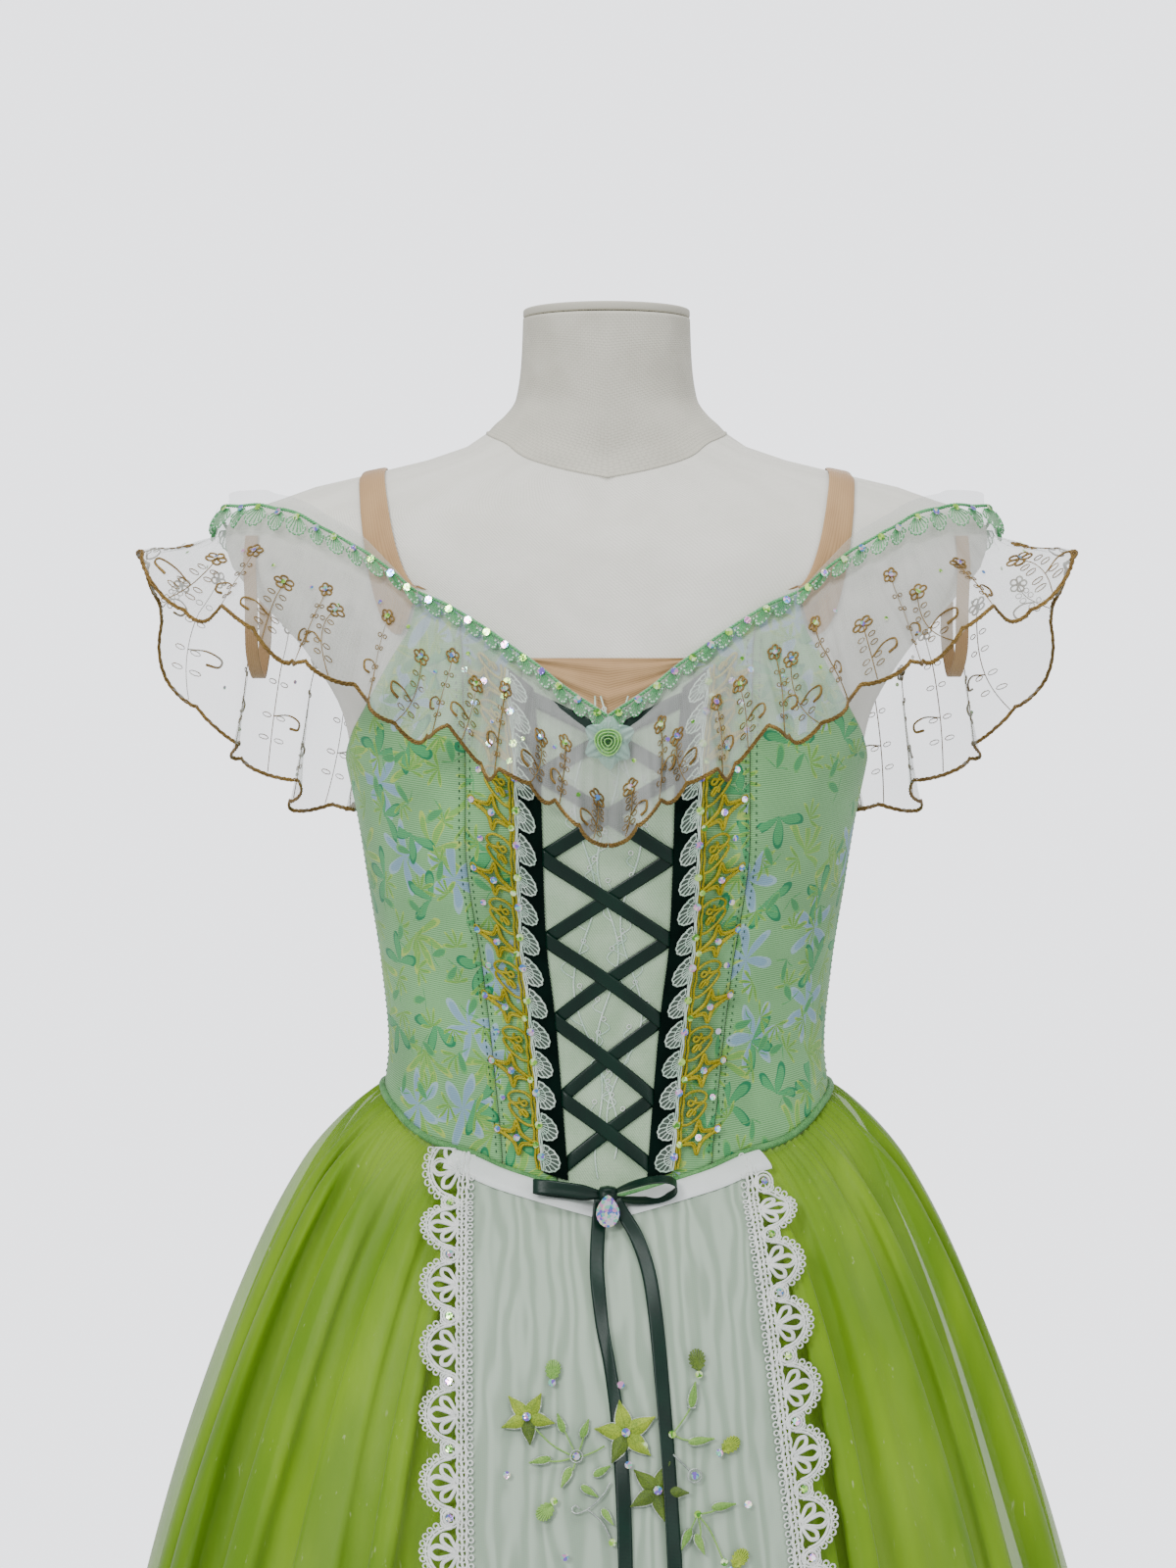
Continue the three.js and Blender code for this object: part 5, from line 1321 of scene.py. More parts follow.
@dataclass
class Bodice:
    """Brocade panels, the net panel under the lacing, binding, placket and stitches."""

    panels: list[Panel] = field(default_factory=lambda: [
        Panel("front_panel", under_velvet, PRINCESS_SEAM, (32, 84), 3, 0.31),
        Panel("side_front_panel", PRINCESS_SEAM, SIDE_SEAM, (54, 84), -4, 0.87),
        Panel("side_back_panel", SIDE_SEAM, BACK_SEAM, (44, 68), 4, 1.41),
        Panel("back_panel", BACK_SEAM, BACK_MIDDLE, (38, 68), -2, 2.07),
    ])

    def centre(self, share: Array, rise: Array) -> Array:
        """Args: share: left to right. rise: point to neckline. Returns: points."""
        angle, z = np.zeros_like(share), np.full_like(share, 1150.0)
        for _ in range(12):
            reach = under_velvet(z) - 0.09
            angle = (2 * share - 1) * reach
            z = blend(WAIST_EDGE(np.abs(angle)), bodice_top(angle), rise)
        return BODY.point(angle, z, BODICE - 0.4 * np.abs(2 * share - 1) ** 8)

    def build(self) -> list[bpy.types.Object]:
        """Adds the bodice. Returns: its brocade panels."""
        made = []
        for sign, side in SIDES:
            for panel in self.panels:
                name = f"{panel.node}_{side}"
                mesh = cloth_mesh(name + "_cloth", panel.cells, panel.place(sign))
                wrap_cloth_place(mesh, panel.tilt * sign, panel.shift + sign)
                thicken(mesh, BROCADE_CLOTH)
                made.append(finish_piece(name + "_cloth", mesh, BROCADE, (name,)))
        net = cloth_mesh("stomacher_net", (48, 120), self.centre)
        wrap_cloth_place(net)
        made.append(finish_piece("stomacher_net", net, MINT_NET, ("front_centre_panel",)))
        self.placket()
        self.binding()
        self.stitches()
        self.vines()
        return made

    def placket(self) -> None:
        """Adds the lapped strip that closes the back."""

        def at(u: Array, v: Array) -> Array:
            """Args: u: across. v: up. Returns: points."""
            x = (2 * u - 1) * 5.5
            z = blend(WAIST_EDGE(180) + 4.6, NECK_PATH(180) - 16.2, v)
            angle = 180 - np.degrees(np.arcsin(x / BODY.width(z)))
            return BODY.point(angle, z, FIRST + 0.8 - 0.8 * np.abs(2 * u - 1) ** 6)

        mesh = cloth_mesh("closing_strip", (14, 90), at, (0.011, 0.2))
        finish_piece("closing_strip", mesh, BROCADE, ("back_placket",))
        hooks = Threads()
        for z in np.arange(WAIST_EDGE(180) + 14, NECK_PATH(180) - 22, 15):
            dash = np.array([[-3, z], [3, z]])
            angle = 180 - np.degrees(np.arcsin(dash[:, 0] / BODY.width(dash[:, 1])))
            hooks.add(BODY.point(angle, dash[:, 1], FIRST + 1.1), 0.45)
        finish_piece("closing_stitches", hooks.sweep("closing_stitches"), DARK_THREAD)

    def binding(self) -> None:
        """Adds the piping at the waist seam."""
        threads = Threads()
        angle = np.arange(-180, 180, 1.5)
        threads.add(BODY.point(angle, WAIST_EDGE(np.abs(angle)) - 0.1, FIRST + 0.2), 1.9, closed=True)
        finish_piece("waist_piping", threads.sweep("waist_piping", 2), LEAF_THREAD, ("waist_binding",))

    def stitches(self) -> None:
        """Adds rows of stitches beside the seams."""
        threads = Threads()
        for seam in (PRINCESS_SEAM, SIDE_SEAM, BACK_SEAM):
            z = np.arange(1004.0, 1330.0, 1.2)
            angle = seam(z)
            inside = (z > WAIST_EDGE(angle) + 6) & (z < bodice_top(angle) - 15)
            z, angle = z[inside], angle[inside]
            for sign in (-1, 1):
                for offset in (-1.3, 1.3):
                    for i in range(0, len(z) - 2, 3):
                        part = slice(i, i + 2)
                        threads.add(BODY.point(sign * (angle[part] + offset), z[part], BODICE - 0.1), 0.3)
        finish_piece("seam_stitches", threads.sweep("seam_stitches"), DARK_THREAD)

    def vines(self) -> None:
        """Adds raised vines and small clear rings on the net under the lacing."""
        threads, rings = Threads(), Threads()
        dice = np.random.default_rng(41)
        for stem in range(3):
            z = np.linspace(1006 + 10 * stem, 1252, 60)
            x = (stem - 1) * 12 * ease(1000, 1090, z) + 5.5 * np.sin(z / 15 + stem * 2.1)
            threads.add(on_front(x, z, 4.25), 0.55)
            for i in range(4, 58, 3):
                lean = (-1) ** i * dice.uniform(0.5, 1.1)
                steps = np.linspace(0, 1, 8)
                leaf = dice.uniform(6, 10)
                bx = x[i] + leaf * np.sin(steps * 2.6) * lean * 0.75
                bz = z[i] + leaf * steps * 0.9
                keep = np.abs(bx) < LACED_EDGE(bz) + 3
                if keep.all():
                    threads.add(on_front(bx, bz, 4.25), 0.38)
                if abs(bx[-1]) < LACED_EDGE(bz[-1]):
                    ring = ring_line(1.15, 8) + np.array([bx[-1], bz[-1] + 1.6])
                    rings.add(on_front(ring[:, 0], ring[:, 1], 4.4), 0.3, closed=True)
        finish_piece("stomacher_vines", threads.sweep("stomacher_vines"), PICOT_THREAD)
        finish_piece("stomacher_rings", rings.sweep("stomacher_rings"), WHITE_THREAD)


@dataclass
class NudePieces:
    """Skin tone stretch pieces: the band in the neckline, the straps and the armlets."""

    strap_width: float = 13.4
    shoulder_x: float = 125
    front_x: float = 99
    back_x: float = 76
    arm_x: float = 189
    loop_front: float = 64.5
    loop_back: float = 110.5
    loop_route: tuple[tuple[float, float], ...] = (
        (-26, 1322), (-25, 1300), (-19, 1278), (-6, 1265), (10, 1261), (26, 1266), (37, 1279), (42, 1300),
    )

    def band(self, u: Array, v: Array) -> Array:
        """Args: u: across. v: up. Returns: points of the folded band."""
        angle = (2 * u - 1) * 20
        low = np.minimum(NECK_PATH(np.abs(angle)) - 8, 1268)
        z = blend(low, 1272 + 0 * u, v)
        folds = 0.45 * np.sin(v * 17 + 1.5 * np.sin(angle / 6)) + 0.2 * np.sin(v * 31 + angle / 9)
        return BODY.point(angle, z, 1.2 + folds * ease(0, 0.1, v) * ease(1, 0.9, v))

    def strap(self, sign: float) -> Place:
        """Args: sign: side. Returns: the strap's shape."""

        def at(u: Array, v: Array) -> Array:
            """Args: u: front to back over the shoulder. v: across. Returns: points."""
            forward = u < 0.5
            climb = np.where(forward, u * 2, (1 - u) * 2)
            offset = (2 * v - 1) * self.strap_width / 2
            ridge = self.shoulder_x + offset
            foot = np.where(forward, self.front_x, self.back_x) + offset
            low, high = np.full_like(u, 1349.0), np.full_like(u, 1400.0)
            for _ in range(20):
                middle = (low + high) / 2
                wide = BODY.width(middle) > ridge
                low, high = np.where(wide, middle, low), np.where(wide, high, middle)
            x = blend(foot, ridge, climb)
            foot_z = np.where(forward, 1300.0, 1250.0)
            for _ in range(12):
                share = np.clip(foot / BODY.width(foot_z), -1, 1)
                angle = np.degrees(np.arcsin(share))
                foot_z = bodice_top(np.where(forward, angle, 180 - angle)) + 3
            z = blend(foot_z, low, climb**2.5)
            angle = np.degrees(np.arcsin(np.clip(x / BODY.width(z), -1, 1)))
            angle = np.where(forward, angle, 180 - angle)
            return BODY.point(sign * angle, z, 2.4 - 0.8 * np.abs(2 * v - 1) ** 6)

        return at

    def loop(self, sign: float) -> bpy.types.Mesh:
        """Args: sign: side. Returns: the elastic armlet's mesh."""
        ends = (self.loop_front, self.loop_back)
        starts = [BODY.point(np.array(a), NECK_PATH(a) - HEADING - 0.6, 2.9) for a in ends]
        line = smooth_line(self.loop_route, 8)
        middle = stack(self.arm_x + 0 * line[:, 0], line[:, 0], line[:, 1])
        whole = np.concatenate([starts[0][None], middle, starts[1][None]])
        length = lengths_along(whole)

        def at(u: Array, v: Array) -> Array:
            """Args: u: along. v: across. Returns: points."""
            spot = u * length[-1]
            points = np.stack([np.interp(spot, length, whole[:, k]) for k in range(3)], -1)
            points[..., 0] += (v - 0.5) * 6.8 + 0.3 * np.sin(u * 21)
            points[..., 0] *= sign
            return points

        mesh = cloth_mesh("armlet", (90, 8), at, (length[-1] * MM, 0.007), outward=False)
        return thicken(mesh, ELASTIC)

    def build(self) -> None:
        """Adds the skin tone pieces."""
        band = cloth_mesh("neckline_band", (70, 40), self.band, (0.09, 0.03))
        piece = finish_piece("neckline_band", band, NUDE, ("neck_band",))
        cut_of(band, 0.03)
        for sign, side in SIDES:
            mesh = cloth_mesh(f"shoulder_strap_{side}", (90, 12), self.strap(sign), (0.2, 0.0134))
            strap = finish_piece(f"shoulder_strap_{side}", mesh, NUDE, (f"strap_{side}",))
            cut = cut_of(mesh, self.strap_width * MM)[::-1]
            mesh = self.loop(sign)
            armlet = finish_piece(f"armlet_{side}", mesh, NUDE, (f"elastic_loop_{side}",))
            cut_of(mesh, 0.01, 2)[::-1]


# Trims down the front


def trim_line(sign: float, out: Array, share: Array, lift: Array | float) -> Array:
    """A place beside the lacing.

    Args:
        sign: side.
        out: distance from the laced edge.
        share: 0 at the point of the basque to 1 under the neckline.
        lift: height off the form's skin.

    Returns:
        Points in millimetres.
    """
    out, share = np.broadcast_arrays(np.asarray(out, float), np.asarray(share, float))
    angle = np.full_like(out, 20.0)
    for _ in range(12):
        low, high = WAIST_EDGE(angle) + 4.3, NECK_PATH(angle) - HEADING - 2.6
        z = blend(low, high, share)
        angle = BODY.angle_at(LACED_EDGE(z) + out, z)
    return BODY.point(sign * angle, z, lift)


def lay(place: Surface, points: Array, lift: float) -> Array:
    """Args: place: a surface. points: flat points. lift: height. Returns: points on it."""
    return place(points[:, 0], points[:, 1], lift)


@dataclass
class Stones:
    """Round stones, gathered by kind and stamped in one go."""

    clear: list[tuple[Array, Array, float]] = field(default_factory=list)
    green: list[tuple[Array, Array, float]] = field(default_factory=list)

    def add(self, at: Array, out: Array, size: float, green: bool = False) -> None:
        """Args: at: point. out: its direction. size: radius. green: a peridot one."""
        (self.green if green else self.clear).append((at, out, size))

    def build(self, name: str) -> None:
        """Args: name: what the stones belong to."""
        for kind, chosen, finish in (("clear", self.clear, CLEAR), ("green", self.green, PERIDOT)):
            if not chosen:
                continue
            at, out = np.array([c[0] for c in chosen]), np.array([c[1] for c in chosen])
            along = np.cross(out, np.array([0.2, 0.3, 1.0]))
            places = frames(at, out, along, np.array([c[2] for c in chosen]))
            mesh = stamp(f"{name}_{kind}", stone_pattern(1.0, 0.62), places)
            finish_piece(f"{name}_{kind}", mesh, finish, smooth=False)


def knotted(name: str, spots: list[tuple[Array, Array]], radius: float, slant: float) -> bpy.types.Mesh:
    """Args: name, spots, radius: of the knots. slant: x of their rough axis. Returns: them all."""
    at, out = np.array([spot[0] for spot in spots]), np.array([spot[1] for spot in spots])
    return stamp(name, bead_pattern(radius), frames(at, out, np.cross(out, (slant, 0, 1.0))))


def surface_frame(place: Surface, a: float, b: float, lift: float) -> tuple[Array, Array]:
    """Args: place: a surface. a, b: a spot on it. lift: height. Returns: point and outward direction."""
    at = place(np.array([a]), np.array([b]), lift)[0]
    above = place(np.array([a]), np.array([b]), lift + 1.0)[0]
    return at, unit(above - at)


@dataclass
class FrontTrims:
    """Velvet, picot lace and gold star lace on both sides of the lacing."""

    length: float = 236
    picot_pitch: float = 14.7
    star_pitch: float = 29.5
    star_out: float = 24.6
    picot_foot: float = 12.4
    picot_lift: float = 7.1
    gold_lift: float = 6.0
    star_reach: tuple[float, ...] = (9.4, 3.5, 7.4, 3.5, 9.2, 3.5, 7.4, 3.5)
    scroll: tuple[tuple[float, float], ...] = (
        (16, 8.4), (19.6, 7.6), (24.5, 9.2), (27.6, 12.4), (26.2, 14.6), (22.2, 13.4),
        (19.4, 11.2), (18.4, 12.4), (20.2, 13.9), (22.4, 12.2), (21.6, 10.8),
    )

    def flat(self, sign: float) -> Surface:
        """Args: sign: side. Returns: turns distance out and along into points."""

        def at(out: Array, along: Array, lift: Array | float) -> Array:
            """Args: out: from the laced edge. along: up it. lift: height. Returns: points."""
            return trim_line(sign, out, along / self.length, lift)

        return at

    def build(self) -> None:
        """Adds the trims of both sides."""
        stones = Stones()
        for sign, side in SIDES:
            self.velvet(sign, side)
            self.picot(sign, side, stones)
            self.gold(sign, side, stones)
        stones.build("front_stones")

    def velvet(self, sign: float, side: str) -> None:
        """Args: sign, side: which one. Adds the velvet strip."""

        def at(u: Array, v: Array) -> Array:
            """Args: u: across. v: along. Returns: points."""
            crown = 1 - np.abs(2 * u - 1) ** 6
            return trim_line(sign, 0.3 + 12.8 * u, v, 4.9 + 1.2 * crown + 0.1 * np.sin(v * 60))

        mesh = cloth_mesh(f"velvet_{side}", (14, 130), at, (0.0128, 0.236))
        piece = finish_piece(f"velvet_{side}", mesh, VELVET, (f"velvet_strip_{side}",))
        cut_of(mesh, 0.0135)[::-1]

    def picot(self, sign: float, side: str, stones: Stones) -> None:
        """Args: sign, side: which one. stones: where its stones go. Adds the picot fans."""
        place, threads, veils = self.flat(sign), Threads(), []
        beads: list[tuple[Array, Array]] = []
        count = int(self.length // self.picot_pitch)
        line = np.linspace(1, self.length - 1, 160)
        for offset in (12.2, 13.1):
            threads.add(place(offset + 0.2 * np.sin(line / 1.7 + offset * 9), line, 6.9), 0.45)
        for i in range(count):
            middle = (i + 0.5) * self.picot_pitch
            tips = np.radians(np.linspace(-78, 78, 8))
            reach = 8.3 - 1.1 * np.abs(np.sin(tips)) ** 3
            along = middle + reach * 0.82 * np.sin(tips)
            tip = np.column_stack([self.picot_foot - reach * np.cos(tips), along])
            for j in range(8):
                foot = np.array([12.2, middle])
                start = foot + [0, 1.6 * np.sin(tips[j])]
                stitch = np.array([start, blend(foot, tip[j], 0.55), tip[j]])
                threads.add(lay(place, stitch, self.picot_lift), 0.27)
                beads.append(surface_frame(place, tip[j, 0], tip[j, 1], 7.2))
            for j in range(7):
                push = [-0.7 * np.cos(tips[j]), 0.5 * np.sin((tips[j] + tips[j + 1]) / 2)]
                bulge = (tip[j] + tip[j + 1]) / 2 + push
                threads.add(lay(place, smooth_line([tip[j], bulge, tip[j + 1]], 3), self.picot_lift), 0.42)
            inner = np.column_stack([self.picot_foot - 4.4 * np.cos(tips), middle + 3.8 * np.sin(tips)])
            threads.add(lay(place, inner, 7.15), 0.27)
            veils.append(self.fan(place, middle))
            stones.add(*surface_frame(place, 12.7, middle, 6.9), 2.1, green=i % 2 == 1)
        mesh = threads.sweep(f"picot_threads_{side}")
        finish_piece(f"picot_threads_{side}", mesh, PICOT_THREAD, (f"picot_lace_{side}",))
        finish_piece(f"picot_knots_{side}", knotted(f"picot_knots_{side}", beads, 0.72, 0.0), PICOT_THREAD)
        finish_piece(f"picot_veil_{side}", merge(f"picot_veil_{side}", veils), PICOT_VEIL)

    @staticmethod
    def fan(place: Surface, middle: float) -> bpy.types.Mesh:
        """Args: place: the surface. middle: the fan's place. Returns: its net."""

        def at(u: Array, v: Array) -> Array:
            """Args: u: round the fan. v: outward. Returns: points."""
            turn = np.radians(u * 160 - 80)
            reach = v * (8.2 - 1.1 * np.abs(np.sin(turn)) ** 3)
            return place(12.4 - reach * np.cos(turn), middle + reach * 0.82 * np.sin(turn), 6.8)

        return cloth_mesh("fan", (12, 5), at, (0.012, 0.008))

    def gold(self, sign: float, side: str, stones: Stones) -> None:
        """Args: sign, side: which one. stones: where its stones go. Adds the star lace."""
        place, threads = self.flat(sign), Threads()
        line = np.linspace(1.0, self.length - 1, 230)
        for offset, radius in ((14.1, 0.8), (15.9, 0.7)):
            threads.add(place(offset + 0.25 * np.sin(line / 1.3 + offset), line, 5.9), radius)
        count = int((self.length - 6) // self.star_pitch)
        for i in range(count + 1):
            along = 12 + i * self.star_pitch
            if along + 9 > self.length:
                break
            centre = np.array([self.star_out, along])
            turn, reach = np.radians(np.arange(0, 360, 45)), np.array(self.star_reach)
            star = centre + np.column_stack([reach * np.cos(turn), reach * np.sin(turn)])
            for grow, radius in ((1.0, 0.85), (0.72, 0.55)):
                shape = centre + (smooth_line(star, 6, closed=True) - centre) * grow
                threads.add(lay(place, shape, self.gold_lift), radius, closed=True)
            for tip in (0, 4):
                ring = ring_line(1.7, 10) + centre + np.array([(reach[tip] + 0.4) * np.cos(turn[tip]), 0])
                threads.add(lay(place, ring, 6.2), 0.4, closed=True)
            stones.add(*surface_frame(place, self.star_out, along, 6.3), 1.9)
            stones.add(*surface_frame(place, 34.4, along, 5.9), 1.7)
            stones.add(*surface_frame(place, 15.2, along, 6.2), 1.7, green=True)
            for turned in (-1, 1):
                spiral = smooth_line([(a, along + turned * b) for a, b in self.scroll], 4)
                if spiral[:, 1].min() > 1 and spiral[:, 1].max() < self.length - 1:
                    threads.add(lay(place, spiral, self.gold_lift), 0.75)
            between = along + self.star_pitch / 2
            if between < self.length - 4:
                stones.add(*surface_frame(place, 31.0, between, 4.6), 1.7)
        mesh = threads.sweep(f"gold_star_lace_{side}", 1)
        finish_piece(f"gold_star_lace_{side}", mesh, GOLD, (f"gold_lace_{side}",))


@dataclass
class Lacing:
    """Two satin ribbons that cross down the front."""

    width: float = 7.0
    corners: tuple[float, ...] = (1250, 1213, 1173.5, 1130.5, 1088, 1047, 1013)

    def run(self, side: float, high: float, low: float, level: float) -> Place:
        """Args: side: where it starts. high, low: its ends. level: its lift. Returns: its shape."""

        def at(u: Array, v: Array) -> Array:
            """Args: u: along. v: across. Returns: points."""
            z = blend(high, low, u)
            x = side * (LACED_EDGE(z) + 0.6) * (1 - 2 * u)
            slope = math.atan2(high - low, 2 * float(LACED_EDGE((high + low) / 2)))
            z = z + (v - 0.5) * self.width / math.cos(slope)
            tuck = ease(0.06, 0.0, u) + ease(0.94, 1.0, u)
            edge = 0.25 * np.abs(2 * v - 1) ** 4
            return on_front(x, z, level + 0.5 - edge - 0.9 * tuck + 0.35 * np.sin(np.pi * u))

        return at

    def build(self) -> None:
        """Adds the two ribbons."""
        for name, first in (("lacing_from_left", -1), ("lacing_from_right", 1)):
            runs, side = [], first
            for high, low in zip(self.corners, self.corners[1:]):
                level = SECOND if side < 0 else FIRST
                runs.append(cloth_mesh("run", (40, 6), self.run(side, high, low, level), (0.075, 0.007)))
                side = -side
            mesh = thicken(merge(name + "_ribbon", runs), RIBBON)
            ribbon = finish_piece(name + "_ribbon", mesh, DARK_SATIN, (name,))
            cut_of(mesh, 0.01, 2)[::-1]


# Neckline


@dataclass
class Ruffle:
    """Sheer net with a braided gold edge, gold stems and flowers, in five pieces."""

    edge_scallop: float = 3.8
    edge_pitch: float = 15.5
    crimp_pitch: float = 7.5
    braid_pitch: float = 4.5
    stem_pitch: float = 19

    def depth(self, along: Array) -> Array:
        """Args: along: length along the neckline. Returns: the net's depth there."""
        angle = RUFFLE.angle(along)
        scallop = np.abs(np.sin(np.pi * along / self.edge_pitch)) ** 0.7
        sway = 3.5 * np.sin(along / 9.3 + 0.8) + 2.0 * np.sin(along / 5.1)
        return RUFFLE.depth(angle) + self.edge_scallop * scallop + sway * ease(4, 20, along)

    def build(self) -> None:
        """Adds net, edging, stems and flowers."""
        corners = [RUFFLE.along(a) for a in RUFFLE_SEAMS]
        stones, fronts = Stones(), []
        for sign, side in SIDES:
            shape = self.net(sign, corners[0], corners[1])
            fronts.append(cloth_mesh("front", (60, 36), shape, (0.12, 0.08)))
            if len(fronts) == len(SIDES):
                whole = merge("ruffle_front_net", fronts)
                piece = finish_piece("ruffle_front_net", whole, TULLE, ("ruffle_front",))
                cut = cut_of(whole, 0.08)
            for name, start, end in (("sleeve", 1, 2), ("back", 2, 3)):
                width = (corners[end] - corners[start]) * MM
                cells = (150 if name == "sleeve" else 70, 36)
                title = f"ruffle_{name}_net_{side}"
                shape = self.net(sign, corners[start], corners[end])
                mesh = cloth_mesh(title, cells, shape, (width, 0.08))
                piece = finish_piece(title, mesh, TULLE, (f"ruffle_{name}_{side}",))
                cut_of(mesh, 0.078)
            self.edging(sign, side, corners)
            self.stems(sign, side, corners, stones)
        stones.build("ruffle_stones")

    def net(self, sign: float, start: float, end: float) -> Place:
        """Args: sign: side. start, end: lengths along the neckline. Returns: the net's shape."""

        def at(u: Array, v: Array) -> Array:
            """Args: u: along. v: frill to hem. Returns: points."""
            along = blend(start, end, u)
            angle = RUFFLE.angle(along)
            frill = RUFFLE.frill * ease(RUFFLE_SEAMS[1], 40, angle) * ease(RUFFLE_SEAMS[2], 128, angle)
            down = blend(-frill, self.depth(along), v)
            crimp = 0.9 * np.sin(along * 2 * np.pi / self.crimp_pitch + np.sin(along / 23))
            crimp = crimp * ease(HEADING, HEADING + 8, down)
            return RUFFLE.point(sign, along, down, crimp + 0.4)

        return at

    def edging(self, sign: float, side: str, corners: list[float]) -> None:
        """Args: sign, side: which one. corners: piece ends. Adds the braided scallops."""
        threads = Threads()
        along = np.arange(0.5, corners[3] - 0.5, 1.0)
        for strand in range(3):
            turn = along * 2 * np.pi / self.braid_pitch + strand * 2.094
            down = self.depth(along) - 0.8 + 0.8 * np.sin(turn)
            threads.add(RUFFLE.point(sign, along, down, 0.9 + 0.5 * np.cos(turn)), 0.62)
        finish_piece(f"ruffle_gold_edge_{side}", threads.sweep(f"ruffle_gold_edge_{side}"), OLD_GOLD)

    def stems(self, sign: float, side: str, corners: list[float], stones: Stones) -> None:
        """Args: sign, side, corners: as above. stones: where stones go. Adds stems and flowers."""
        threads, flowers = Threads(), Threads()
        dice = np.random.default_rng(7 if sign > 0 else 8)

        def place(a: Array, b: Array, lift: Array | float) -> Array:
            """Args: a: along. b: down. lift: height. Returns: points."""
            return RUFFLE.point(sign, a, b, 0.7 + lift)

        for i in range(int(corners[3] // self.stem_pitch)):
            base = 9 + i * self.stem_pitch + dice.uniform(-2, 2)
            low = float(self.depth(np.array(base))) - 2.5
            top = dice.uniform(24, 36) if i % 2 else dice.uniform(34, 46)
            steps = np.linspace(0, 1, 14)
            bend = dice.uniform(-7, 7)
            stem = np.column_stack([base + bend * np.sin(steps * 2.2), blend(low, top, steps)])
            threads.add(lay(place, stem, 0.2), 0.3)
            for j in (3, 5, 8, 10):
                for lean in (-1, 1):
                    ring = ring_line(1.25, 8) + stem[j] + np.array([lean * 2.0, 0.4])
                    threads.add(lay(place, ring, 0.2), 0.27, closed=True)
            bow = np.array([(0, 0), (4.5, -3), (8.5, -1.5), (8, 3), (5, 4)])
            hook = smooth_line(stem[5] + bow, 4)
            threads.add(lay(place, hook, 0.3), np.linspace(0.35, 0.8, len(hook)))
            for petal in range(5):
                turn = petal * 1.2566 + i
                far = np.array([np.cos(turn), np.sin(turn)]) * 4.1
                wide = np.array([-np.sin(turn), np.cos(turn)]) * 1.5
                outline = stem[-1] + np.array([0 * far, far * 0.7 + wide, far, far * 0.7 - wide])
                loop = smooth_line(outline, 3, closed=True)
                flowers.add(lay(place, loop, 0.3), 0.55, closed=True)
            tip = (float(stem[-1, 0]), float(stem[-1, 1]))
            stones.add(*surface_frame(place, *tip, 0.6), 1.5, green=i % 3 == 1)
            spot = (base + dice.uniform(5, 9), dice.uniform(22, low - 12))
            stones.add(*surface_frame(place, *spot, 0.2), 1.2, green=i % 2 == 0)
        finish_piece(f"ruffle_stems_{side}", threads.sweep(f"ruffle_stems_{side}"), OLD_GOLD)
        finish_piece(f"ruffle_flowers_{side}", flowers.sweep(f"ruffle_flowers_{side}"), OLD_GOLD)


